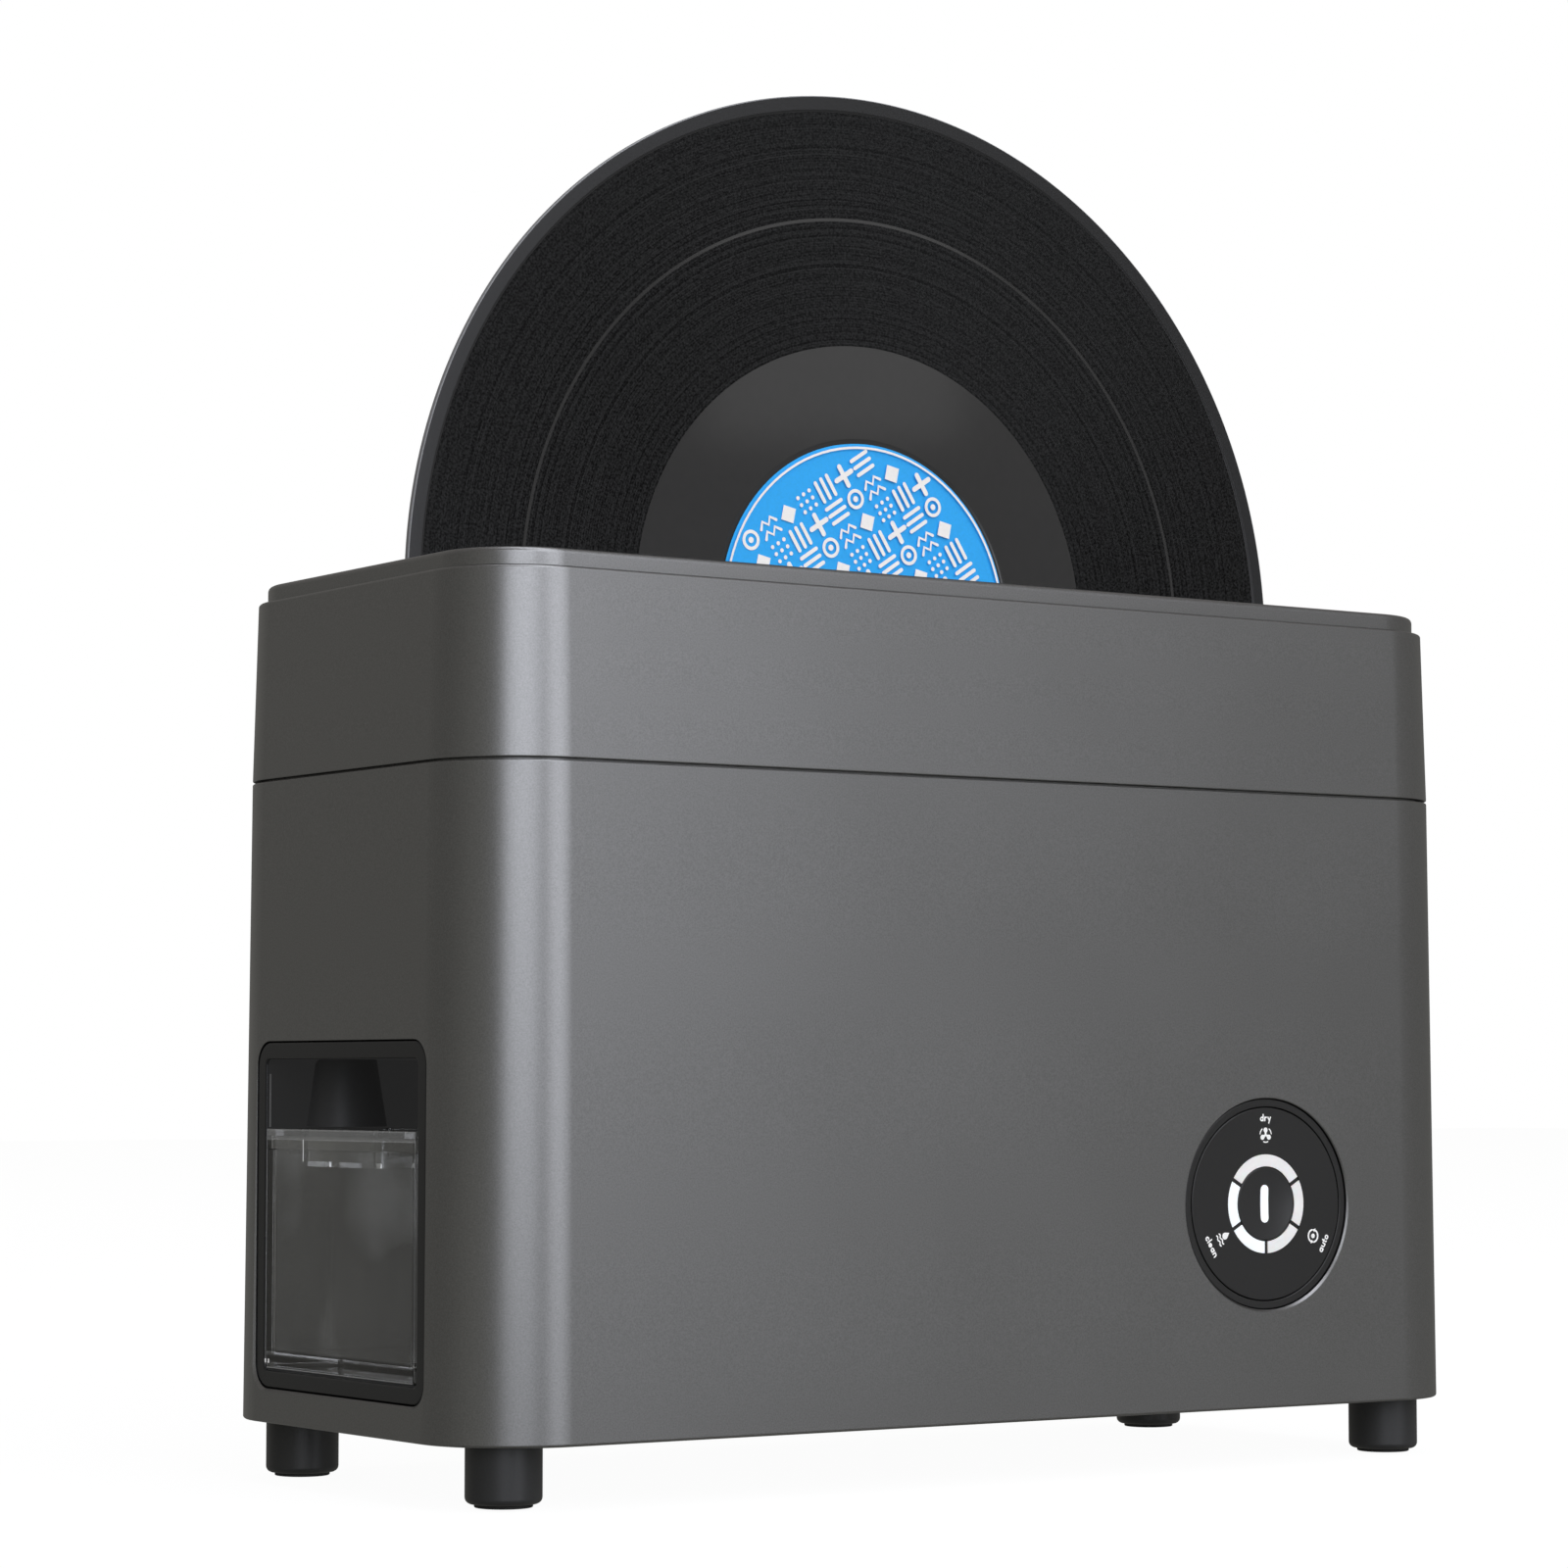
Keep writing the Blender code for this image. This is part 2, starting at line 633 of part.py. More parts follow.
def make_lower_shell():
    """Build the drafted lower wall with its bay window, panel hole, rear openings and screw posts."""
    profile = (
        (EDGE_CHAMFER, BODY_BOTTOM),
        (0, BODY_BOTTOM + EDGE_CHAMFER),
        (0, SEAM_HEIGHT - SEAM_CHAMFER),
        (SEAM_CHAMFER, SEAM_HEIGHT),
        (WALL, SEAM_HEIGHT),
        (WALL, BODY_BOTTOM),
    )
    shell = loft([body_ring(inset, height) for inset, height in profile], looped=True)
    for side_x, side_y in SCREW_SIDES:
        foot = (side_x * SCREW_X, side_y * SCREW_Y, BASE_SEAT)
        join(shell, rod(foot, raised(foot, POST_HEIGHT), POST_RADIUS))
        pilot = SCREW_SHANK_RADIUS + GAP
        cut(shell, rod(raised(foot, -OVERRUN), raised(foot, SCREW_LENGTH), pilot, SMALL_STEPS))
    bay_middle = (BEZEL_LOW + BEZEL_HIGH) / 2
    window = rounded_outline(
        BEZEL_HALF_WIDTH + GAP,
        (BEZEL_HIGH - BEZEL_LOW) / 2 + GAP,
        BEZEL_CORNER + GAP,
        SMALL_CORNER_STEPS,
        (0, bay_middle),
    )
    outside = -BODY_WIDTH / 2 - OVERRUN
    cut(shell, slab(window, outside, outside + WALL * 3, "YZ"))
    cut(shell, panel_hole())
    vent = rounded_outline(
        REAR_VENT_HALF_WIDTH + GAP,
        REAR_VENT_HALF_HEIGHT + GAP,
        REAR_VENT_CORNER + GAP,
        SMALL_CORNER_STEPS,
        (BLOWER_X, REAR_VENT_Z),
    )
    behind = BODY_DEPTH / 2 + OVERRUN
    cut(shell, slab(vent, behind - WALL * 3, behind))
    inlet_start = (INLET_X, behind, INLET_Z)
    inlet_end = (INLET_X, behind - WALL * 3, INLET_Z)
    cut(shell, rod(inlet_start, inlet_end, INLET_COLLAR + GAP, MEDIUM_STEPS))
    return finish(shell, "lower_shell", "graphite_paint")


def raised(place, height):
    """Return a place moved up by a height."""
    return (place[0], place[1], place[2] + height)


def panel_hole():
    """Return the cutter of the panel's round hole, flared by a small chamfer at the face."""
    face = -front_face_y(PANEL_Z)
    profile = (
        (0, face + OVERRUN),
        (PANEL_RADIUS + PANEL_CHAMFER + OVERRUN, face + OVERRUN),
        (PANEL_RADIUS, face - PANEL_CHAMFER),
        (PANEL_RADIUS, face - WALL * 2),
        (0, face - WALL * 2),
    )
    return turned(profile, (PANEL_X, 0, PANEL_Z), (0, -1, 0), ROUND_STEPS)


def make_upper_shell():
    """Build the upper wall with its tongue into the lower shell, and its top with the bath's window."""
    low = SEAM_HEIGHT + SEAM_GAP
    tongue_out = WALL + GAP
    tongue_in = tongue_out + TONGUE_THICKNESS
    profile = (
        (WALL, SHOULDER_HEIGHT - WALL),
        (WALL, low + TONGUE_ROOT + TONGUE_THICKNESS),
        (tongue_in, low + TONGUE_ROOT),
        (tongue_in, SEAM_HEIGHT - TONGUE_DEPTH),
        (tongue_out, SEAM_HEIGHT - TONGUE_DEPTH),
        (tongue_out, low),
        (SEAM_CHAMFER, low),
        (0, low + SEAM_CHAMFER),
        (0, SHOULDER_HEIGHT - EDGE_CHAMFER),
        (EDGE_CHAMFER, SHOULDER_HEIGHT),
    )
    shell = loft([body_ring(inset, height) for inset, height in profile])
    reach = BATH_WALL + BATH_RIM_SIDE_GAP
    window = rounded_outline(
        BATH_HALF_LENGTH + reach, BATH_HALF_WIDTH + reach, BATH_RIM_SIDE_GAP, SMALL_CORNER_STEPS, (0, RECORD_Y)
    )
    cut(shell, slab(window, SHOULDER_HEIGHT - WALL - OVERRUN, SHOULDER_HEIGHT + OVERRUN, "XY"))
    return finish(shell, "upper_shell", "graphite_paint")


def slot_outline(grow):
    """Return the outline of the record slot, grown on all sides."""
    half_length = RECORD_RADIUS + SLOT_END_GAP + grow
    half_width = SLOT_HALF_WIDTH + grow
    return rounded_outline(half_length, half_width, half_width, CORNER_STEPS // 2, (0, RECORD_Y))


def make_top_cover():
    """Build the raised cover with a shallow dish that drains to the slot."""
    low = SHOULDER_HEIGHT + GAP
    dish = COVER_STEP + COVER_RIM
    profile = (
        (COVER_STEP, low),
        (COVER_STEP, COVER_TOP - COVER_EDGE),
        (COVER_STEP + COVER_EDGE, COVER_TOP),
        (dish, COVER_TOP),
        (dish + COVER_DISH, COVER_TOP - COVER_DISH),
    )
    rings = []
    for inset, height in profile:
        rings.append([(sideways, along, height) for sideways, along, _ in body_ring(inset, SHOULDER_HEIGHT)])
    cover = loft(rings)
    cut(cover, slab(slot_outline(TRIM_WALL + GAP), low - OVERRUN, COVER_TOP + OVERRUN, "XY"))
    return finish(cover, "top_cover", "graphite_paint")


def make_slot_trim():
    """Build the trim that lines the slot and guides the record, with flared lips."""
    top = COVER_TOP - COVER_DISH + GAP
    grow = TRIM_WALL
    levels = (
        (0, top - TRIM_DEPTH),
        (grow, top - TRIM_DEPTH),
        (grow, top),
        (grow + TRIM_FLANGE, top),
        (grow + TRIM_FLANGE, top + TRIM_THICKNESS / 2),
        (grow + TRIM_FLANGE / 2, top + TRIM_THICKNESS),
        (TRIM_THICKNESS, top + TRIM_THICKNESS),
        (0, top),
    )
    rings = [[(*point, height) for point in slot_outline(offset)] for offset, height in levels]
    return finish(loft(rings, looped=True), "slot_trim", "black_plastic")


def make_base_plate():
    """Build the bottom plate with vent slots, screw holes and the driver board's standoffs."""
    low = BODY_BOTTOM + BASE_RECESS
    inset = WALL + GAP
    plate = loft([body_ring(inset, low), body_ring(inset, BASE_TOP)])
    for index in range(VENT_SLOT_COUNT):
        middle = BASE_VENT_X + VENT_SLOT_PITCH * (index - (VENT_SLOT_COUNT - 1) / 2)
        slot_low = (middle - VENT_SLOT_WIDTH / 2, BASE_VENT_Y - BASE_VENT_HALF_LENGTH, low - OVERRUN)
        slot_high = (middle + VENT_SLOT_WIDTH / 2, BASE_VENT_Y + BASE_VENT_HALF_LENGTH, BASE_TOP + OVERRUN)
        cut(plate, box(slot_low, slot_high))
    for side_x, side_y in SCREW_SIDES:
        place = (side_x * SCREW_X, side_y * SCREW_Y, low)
        cut(plate, rod(raised(place, -OVERRUN), raised(place, SCREW_HEAD_DEPTH + GAP), SCREW_HEAD_RADIUS + GAP))
        cut(plate, rod(place, raised(place, BASE_THICKNESS + OVERRUN), SCREW_SHANK_RADIUS + GAP))
    for side_x, side_y in SCREW_SIDES:
        place = (
            DRIVER_X + side_x * (DRIVER_HALF_LENGTH - DRIVER_STANDOFF_INSET),
            DRIVER_Y + side_y * (DRIVER_HALF_WIDTH - DRIVER_STANDOFF_INSET),
            low + BASE_THICKNESS / 2,
        )
        top = (place[0], place[1], BASE_TOP + DRIVER_STANDOFF)
        join(plate, rod(place, top, DRIVER_STANDOFF_RADIUS))
    return finish(plate, "base_plate", "black_plastic")


def make_feet():
    """Build the four feet, their rubber pads and the base plate's screws."""
    low = BODY_BOTTOM + BASE_RECESS
    foot_top = low - GAP
    foot_low = PAD_HEIGHT + GAP
    edge = []
    for step in range(FOOT_EDGE_STEPS + 1):
        angle = math.pi / 2 * step / FOOT_EDGE_STEPS
        out = FOOT_RADIUS - FOOT_EDGE + FOOT_EDGE * math.cos(angle)
        edge.append((out, foot_low + FOOT_EDGE - FOOT_EDGE * math.sin(angle)))
    foot_profile = [(0, foot_top), (FOOT_RADIUS, foot_top), *edge, (0, foot_low)]
    screw_profile = (
        (0, SCREW_HEAD_DEPTH + SCREW_LENGTH - BASE_THICKNESS),
        (SCREW_SHANK_RADIUS, SCREW_HEAD_DEPTH + SCREW_LENGTH - BASE_THICKNESS),
        (SCREW_SHANK_RADIUS, SCREW_HEAD_DEPTH),
        (SCREW_HEAD_RADIUS, SCREW_HEAD_DEPTH),
        (SCREW_HEAD_RADIUS, 0),
        (0, 0),
    )
    for corner, (side_x, side_y) in zip(CORNER_NAMES, SCREW_SIDES):
        place = (side_x * FOOT_X, side_y * FOOT_Y, 0)
        foot = turned(foot_profile, place, (0, 0, 1), MEDIUM_STEPS)
        finish(foot, "foot_" + corner, "black_plastic")
        pad = rod(place, raised(place, PAD_HEIGHT), PAD_RADIUS, MEDIUM_STEPS)
        finish(pad, "foot_pad_" + corner, "rubber")
        head = (side_x * SCREW_X, side_y * SCREW_Y, low)
        screw = turned(screw_profile, head, (0, 0, 1), SMALL_STEPS)
        for turn in (0, 1):
            reach = (SCREW_HEAD_RADIUS * (1 - turn), SCREW_HEAD_RADIUS * turn)
            half = SCREW_SLOT_WIDTH / 2
            slot_low = (head[0] - half - reach[0] / 2, head[1] - half - reach[1] / 2, low - OVERRUN)
            slot_high = (head[0] + half + reach[0] / 2, head[1] + half + reach[1] / 2, low + SCREW_SLOT_WIDTH)
            cut(screw, box(slot_low, slot_high))
        finish(screw, "base_screw_" + corner, "steel")


def make_rear_vent():
    """Build the louvred insert in the back wall, behind the rear blower."""
    outline = rounded_outline(
        REAR_VENT_HALF_WIDTH, REAR_VENT_HALF_HEIGHT, REAR_VENT_CORNER, SMALL_CORNER_STEPS, (BLOWER_X, REAR_VENT_Z)
    )
    back = BODY_DEPTH / 2 - draft_inset(REAR_VENT_Z) - REAR_VENT_SETBACK
    vent = slab(outline, back - REAR_VENT_THICKNESS, back)
    half = REAR_VENT_HALF_WIDTH - REAR_VENT_BORDER
    for index in range(REAR_SLOT_COUNT):
        middle = REAR_VENT_Z + REAR_SLOT_PITCH * (index - (REAR_SLOT_COUNT - 1) / 2)
        slot_low = (BLOWER_X - half, back - REAR_VENT_THICKNESS - OVERRUN, middle - REAR_SLOT_HEIGHT / 2)
        slot_high = (BLOWER_X + half, back + OVERRUN, middle + REAR_SLOT_HEIGHT / 2)
        cut(vent, box(slot_low, slot_high))
    return finish(vent, "rear_vent", "black_plastic")


def make_power_inlet():
    """Build the direct current socket in the back wall: a collar, its block and the centre pin."""
    face = BODY_DEPTH / 2 - draft_inset(INLET_Z) - INLET_SETBACK
    inner = face - WALL * 2
    floor = face - INLET_BORE_DEPTH
    centre = (INLET_X, 0, INLET_Z)
    profile = (
        (0, face - INLET_PIN),
        (INLET_PIN, face - INLET_PIN * 2),
        (INLET_PIN, floor),
        (INLET_BORE, floor),
        (INLET_BORE, face),
        (INLET_COLLAR, face),
        (INLET_COLLAR, floor - INLET_PIN),
        (0, floor - INLET_PIN),
    )
    inlet = turned(profile, centre, (0, 1, 0), MEDIUM_STEPS)
    block_low = (INLET_X - INLET_BLOCK, inner - INLET_BLOCK_DEPTH, INLET_Z - INLET_BLOCK)
    block_high = (INLET_X + INLET_BLOCK, inner, INLET_Z + INLET_BLOCK)
    block = box(block_low, block_high)
    cut(block, rod((INLET_X, floor, INLET_Z), (INLET_X, inner + OVERRUN, INLET_Z), INLET_COLLAR - INLET_PIN))
    join(inlet, block)
    return finish(inlet, "power_inlet", "black_plastic")


def bath_outline(grow, top):
    """Return the bath's long section: an arc under the record that opens into a shelf under each roller."""
    radius = BATH_RADIUS + grow
    points = []
    for step in range(ARC_STEPS * 2 + 1):
        angle = BATH_ARC_END * (step / ARC_STEPS - 1)
        points.append((radius * math.sin(angle), RECORD_Z - radius * math.cos(angle)))
    side = BATH_HALF_LENGTH + grow
    shelf = BATH_SHELF_HEIGHT - grow
    points += [(side, shelf), (side, top), (-side, top), (-side, shelf)]
    return points


def make_bath():
    """Build the narrow bath with its flange, air slits, axle bosses and hose nipples."""
    rim = SHOULDER_HEIGHT
    bath = slab(bath_outline(BATH_WALL, rim), RECORD_Y - BATH_OUTER, RECORD_Y + BATH_OUTER)
    reach = BATH_WALL + BATH_FLANGE_REACH
    flange = rounded_outline(
        BATH_HALF_LENGTH + reach, BATH_HALF_WIDTH + reach, BATH_FLANGE_REACH, SMALL_CORNER_STEPS, (0, RECORD_Y)
    )
    flange_top = SHOULDER_HEIGHT - WALL - GAP
    join(bath, slab(flange, flange_top - BATH_FLANGE_THICKNESS, flange_top, "XY"))
    outer = BATH_OUTER + AXLE_BOSS_DEPTH
    for side in (-1, 1):
        boss_start = (side * ROLLER_X, RECORD_Y - outer, ROLLER_Z)
        boss_end = (side * ROLLER_X, RECORD_Y + outer, ROLLER_Z)
        join(bath, rod(boss_start, boss_end, AXLE_BOSS_RADIUS, SMALL_STEPS))
    for side in (-1, 1):
        top = (side * NIPPLE_X, RECORD_Y, BATH_FLOOR)
        join(bath, rod(raised(top, -NIPPLE_LENGTH), top, NIPPLE_RADIUS))
    cut(bath, slab(bath_outline(0, rim + OVERRUN), RECORD_Y - BATH_HALF_WIDTH, RECORD_Y + BATH_HALF_WIDTH))
    for side in (-1, 1):
        top = (side * NIPPLE_X, RECORD_Y, BATH_FLOOR + BATH_WALL)
        cut(bath, rod(raised(top, -NIPPLE_LENGTH * 2), top, NIPPLE_BORE))
        bore_start = (side * ROLLER_X, RECORD_Y - outer - OVERRUN, ROLLER_Z)
        bore_end = (side * ROLLER_X, RECORD_Y + outer + OVERRUN, ROLLER_Z)
        cut(bath, rod(bore_start, bore_end, AXLE_RADIUS + RUNNING_GAP, MEDIUM_STEPS))
    slit_low = (-AIR_SLIT_HALF_LENGTH, RECORD_Y - BATH_OUTER - OVERRUN, AIR_SLIT_LOW)
    slit_high = (AIR_SLIT_HALF_LENGTH, RECORD_Y + BATH_OUTER + OVERRUN, AIR_SLIT_HIGH)
    cut(bath, box(slit_low, slit_high))
    return finish(bath, "bath", "bath_plastic")


def make_record():
    """Build the record with its rim bead, groove band and centre hole, and its two paper labels."""
    label_edge = LABEL_RADIUS + LABEL_RECESS_EDGE
    outer_side = (
        (SPINDLE_RADIUS, RECORD_CENTRE_HALF),
        (label_edge, RECORD_CENTRE_HALF),
        (label_edge + LABEL_RECESS_EDGE, RECORD_GROOVE_HALF),
        (RECORD_RADIUS - RECORD_BEAD, RECORD_GROOVE_HALF),
        (RECORD_RADIUS - RECORD_BEVEL, RECORD_RIM_HALF),
        (RECORD_RADIUS, RECORD_RIM_HALF - RECORD_BEVEL),
    )
    profile = [*outer_side, *[(radius, -half) for radius, half in reversed(outer_side)]]
    record = turned(profile, RECORD_CENTRE, (0, 1, 0), RECORD_STEPS, closed=True)
    pieces = [finish(record, "record", "vinyl")]
    hole = SPINDLE_RADIUS + LABEL_HOLE_GAP
    near = RECORD_CENTRE_HALF + GAP
    label_profile = (
        (hole, near + LABEL_THICKNESS),
        (LABEL_RADIUS, near + LABEL_THICKNESS),
        (LABEL_RADIUS, near),
        (hole, near),
    )
    for name, side in (("record_label_front", -1), ("record_label_back", 1)):
        label = turned(label_profile, RECORD_CENTRE, (0, side, 0), ROUND_STEPS, closed=True)
        pieces.append(finish(label, name, "label_paper"))
    return pieces


def make_roller(name, side):
    """Build a grooved roller that carries the record's rim, bored for its axle."""
    centre = (side * ROLLER_X, RECORD_Y, ROLLER_Z)
    hub_half = BATH_HALF_WIDTH - GAP
    bore = AXLE_RADIUS + GAP
    upper = (
        (bore, hub_half),
        (ROLLER_HUB_RADIUS, hub_half),
        (ROLLER_HUB_RADIUS, ROLLER_HALF_WIDTH),
        (ROLLER_FLANGE_RADIUS, ROLLER_HALF_WIDTH),
        (ROLLER_FLANGE_RADIUS, ROLLER_MOUTH_HALF),
        (ROLLER_GROOVE_RADIUS, ROLLER_GROOVE_HALF),
    )
    profile = [*upper, *[(radius, -half) for radius, half in reversed(upper)]]
    roller = turned(profile, centre, (0, 1, 0), MEDIUM_STEPS, closed=True)
    return finish(roller, name, "rubber")


def make_axle(name, side, rear_end):
    """Build a roller's steel axle with a head outside the front boss. rear_end is measured from the record."""
    near = BATH_OUTER + AXLE_BOSS_DEPTH + GAP
    profile = (
        (0, near + AXLE_CAP_THICKNESS),
        (AXLE_CAP_RADIUS, near + AXLE_CAP_THICKNESS),
        (AXLE_CAP_RADIUS, near),
        (AXLE_RADIUS, near),
        (AXLE_RADIUS, -rear_end),
        (0, -rear_end),
    )
    centre = (side * ROLLER_X, RECORD_Y, ROLLER_Z)
    axle = turned(profile, centre, (0, -1, 0), MEDIUM_STEPS)
    return finish(axle, name, "steel")


def involute(angle):
    """Return the involute function of a pressure angle."""
    return math.tan(angle) - angle


def gear_outline(teeth, centre_x, first_tooth):
    """Return an involute gear's outline in the XZ plane about (centre_x, ROLLER_Z)."""
    pitch_radius = GEAR_MODULE * teeth / 2
    base_radius = pitch_radius * math.cos(PRESSURE_ANGLE)
    tip_radius = pitch_radius + ADDENDUM_SHARE * GEAR_MODULE
    root_radius = pitch_radius - DEDENDUM_SHARE * GEAR_MODULE
    half_pitch = math.pi / (2 * teeth) - GEAR_PLAY / (2 * pitch_radius)
    start_radius = max(base_radius, root_radius)
    flank = [(root_radius, half_pitch + involute(PRESSURE_ANGLE))]
    for step in range(FLANK_STEPS + 1):
        radius = start_radius + (tip_radius - start_radius) * step / FLANK_STEPS
        rolled = math.acos(min(1, base_radius / radius))
        flank.append((radius, half_pitch + involute(PRESSURE_ANGLE) - involute(rolled)))
    if start_radius == root_radius:
        flank.pop(0)
    points = []
    for tooth in range(teeth):
        middle = first_tooth + 2 * math.pi * tooth / teeth
        sides = [(radius, middle - half) for radius, half in flank]
        sides += [(radius, middle + half) for radius, half in reversed(flank)]
        for radius, angle in sides:
            points.append((centre_x + radius * math.cos(angle), ROLLER_Z + radius * math.sin(angle)))
    return points


def make_gears():
    """Build the large gear on the drive axle and the motor's pinion on its shaft, in mesh."""
    near = RECORD_Y + GEAR_NEAR
    tooth_near = near + GEAR_HUB_LENGTH
    tooth_far = tooth_near + GEAR_WIDTH
    gear = slab(gear_outline(GEAR_TEETH, ROLLER_X, 0), tooth_near, tooth_far)
    hub_middle = (tooth_near + tooth_far) / 2
    join(gear, rod((ROLLER_X, near, ROLLER_Z), (ROLLER_X, hub_middle, ROLLER_Z), GEAR_HUB_RADIUS, MEDIUM_STEPS))
    bore_start = (ROLLER_X, near - OVERRUN, ROLLER_Z)
    bore_end = (ROLLER_X, tooth_far + OVERRUN, ROLLER_Z)
    cut(gear, rod(bore_start, bore_end, AXLE_RADIUS + GAP, MEDIUM_STEPS))
    pinion_phase = math.pi / PINION_TEETH
    pinion = slab(gear_outline(PINION_TEETH, MOTOR_X, pinion_phase), tooth_near, tooth_far)
    shaft_end = RECORD_Y + BRACKET_NEAR + BRACKET_THICKNESS + MOTOR_SHAFT_SEAT
    shaft = rod((MOTOR_X, hub_middle, ROLLER_Z), (MOTOR_X, shaft_end, ROLLER_Z), MOTOR_SHAFT_RADIUS)
    join(pinion, shaft)
    return finish(gear, "drive_gear", "gear_plastic"), finish(pinion, "motor_pinion", "gear_plastic")


def make_motor():
    """Build the drive motor with its shaft seat, and the bracket that stands on the bath's back wall."""
    plate_near = RECORD_Y + BRACKET_NEAR
    plate_far = plate_near + BRACKET_THICKNESS
    left = MOTOR_X - MOTOR_RADIUS - BRACKET_MARGIN
    right = ROLLER_X + AXLE_BOSS_RADIUS + BRACKET_MARGIN
    half_height = MOTOR_RADIUS + BRACKET_MARGIN
    middle = (left + right) / 2
    outline = rounded_outline(
        (right - left) / 2, half_height, BRACKET_MARGIN, SMALL_CORNER_STEPS, (middle, ROLLER_Z)
    )
    bracket = slab(outline, plate_near, plate_far)
    wall = RECORD_Y + BATH_OUTER + GAP
    post_height = half_height - BRACKET_MARGIN
    for post_x in (left + BRACKET_MARGIN, MOTOR_X + AXLE_BOSS_RADIUS):
        for post_z in (ROLLER_Z - post_height, ROLLER_Z + post_height):
            foot = (post_x, wall, post_z)
            head = (post_x, (plate_near + plate_far) / 2, post_z)
            join(bracket, rod(foot, head, BRACKET_POST_RADIUS))
    for bore_x, radius in ((MOTOR_X, MOTOR_SHAFT_RADIUS), (ROLLER_X, AXLE_RADIUS)):
        start = (bore_x, plate_near - OVERRUN, ROLLER_Z)
        end = (bore_x, plate_far + OVERRUN, ROLLER_Z)
        cut(bracket, rod(start, end, radius + GAP, MEDIUM_STEPS))
    near = plate_far + GAP
    profile = (
        (0, near + MOTOR_LENGTH + MOTOR_CAP_LENGTH),
        (MOTOR_CAP_RADIUS, near + MOTOR_LENGTH + MOTOR_CAP_LENGTH),
        (MOTOR_CAP_RADIUS, near + MOTOR_LENGTH),
        (MOTOR_RADIUS, near + MOTOR_LENGTH),
        (MOTOR_RADIUS, near),
        (MOTOR_SHAFT_RADIUS + GAP, near),
        (MOTOR_SHAFT_RADIUS + GAP, near + MOTOR_SHAFT_SEAT),
        (0, near + MOTOR_SHAFT_SEAT),
    )
    motor = turned(profile, (MOTOR_X, 0, ROLLER_Z), (0, 1, 0), MEDIUM_STEPS)
    return finish(bracket, "motor_bracket", "steel"), finish(motor, "drive_motor", "aluminium")


def volute_outline(grow, top):
    """Return the blower's spiral outline, widening anticlockwise to an outlet that points up."""
    start_radius = VOLUTE_START + grow
    end_radius = VOLUTE_END + grow
    left = OUTLET_LEFT - grow
    first = math.acos(left / start_radius)
    points = [(BLOWER_X + left, top)]
    for step in range(ARC_STEPS * 2 + 1):
        share = step / (ARC_STEPS * 2)
        angle = first + (2 * math.pi - first) * share
        radius = start_radius + (end_radius - start_radius) * share
        points.append((BLOWER_X + radius * math.cos(angle), BLOWER_Z + radius * math.sin(angle)))
    points.append((BLOWER_X + end_radius, top))
    return points


def duct_outline(grow, low):
    """Return the air duct's outline, from the blower's outlet along the bath's air slit."""
    left = BLOWER_X + OUTLET_LEFT - grow
    return [
        (left, low),
        (BLOWER_X + VOLUTE_END + grow, low),
        (BLOWER_X + VOLUTE_END + grow, DUCT_LOW - grow),
        (DUCT_END + grow, DUCT_LOW - grow),
        (DUCT_END + grow, DUCT_HIGH + grow),
        (left, DUCT_HIGH + grow),
    ]


def across(side, distance):
    """Return the y at a distance from the record's plane, towards the back when side is 1."""
    return RECORD_Y + side * distance


def slab_between(outline, side, near, far):
    """Return an XZ outline given thickness between two distances from the record's plane."""
    low, high = sorted((across(side, near), across(side, far)))
    return slab(outline, low, high)


def make_blower(place, side):
    """Build a blower housing beside the bath, its impeller and the duct up to the bath's air slit."""
    near = BATH_OUTER + GAP
    far = near + BLOWER_DEPTH
    outlet = BLOWER_Z + OUTLET_RISE
    housing = slab_between(volute_outline(BLOWER_WALL, outlet), side, near, far)
    cavity_near = near + BLOWER_WALL
    cavity_far = far - BLOWER_WALL
    cut(housing, slab_between(volute_outline(0, outlet + OVERRUN), side, cavity_near, cavity_far))
    inlet_start = (BLOWER_X, across(side, cavity_far - OVERRUN), BLOWER_Z)
    inlet_end = (BLOWER_X, across(side, far + OVERRUN), BLOWER_Z)
    cut(housing, rod(inlet_start, inlet_end, INLET_RADIUS, MEDIUM_STEPS))
    boss_start = (BLOWER_X, across(side, near + BLOWER_WALL / 2), BLOWER_Z)
    boss_end = (BLOWER_X, across(side, cavity_near + BLOWER_BOSS_LENGTH), BLOWER_Z)
    join(housing, rod(boss_start, boss_end, BLOWER_BOSS_RADIUS, MEDIUM_STEPS))
    finish(housing, place + "_blower_housing", "black_plastic")

    duct_low = outlet + GAP
    duct = slab_between(duct_outline(BLOWER_WALL, duct_low), side, near, far)
    cut(duct, slab_between(duct_outline(0, duct_low - OVERRUN), side, cavity_near, cavity_far))
    slit_y = sorted((across(side, near - OVERRUN), across(side, cavity_near + OVERRUN)))
    slit_low = (-AIR_SLIT_HALF_LENGTH, slit_y[0], AIR_SLIT_LOW)
    slit_high = (AIR_SLIT_HALF_LENGTH, slit_y[1], AIR_SLIT_HIGH)
    cut(duct, box(slit_low, slit_high))
    finish(duct, place + "_air_duct", "black_plastic")
    return make_impeller(place, side, cavity_near)


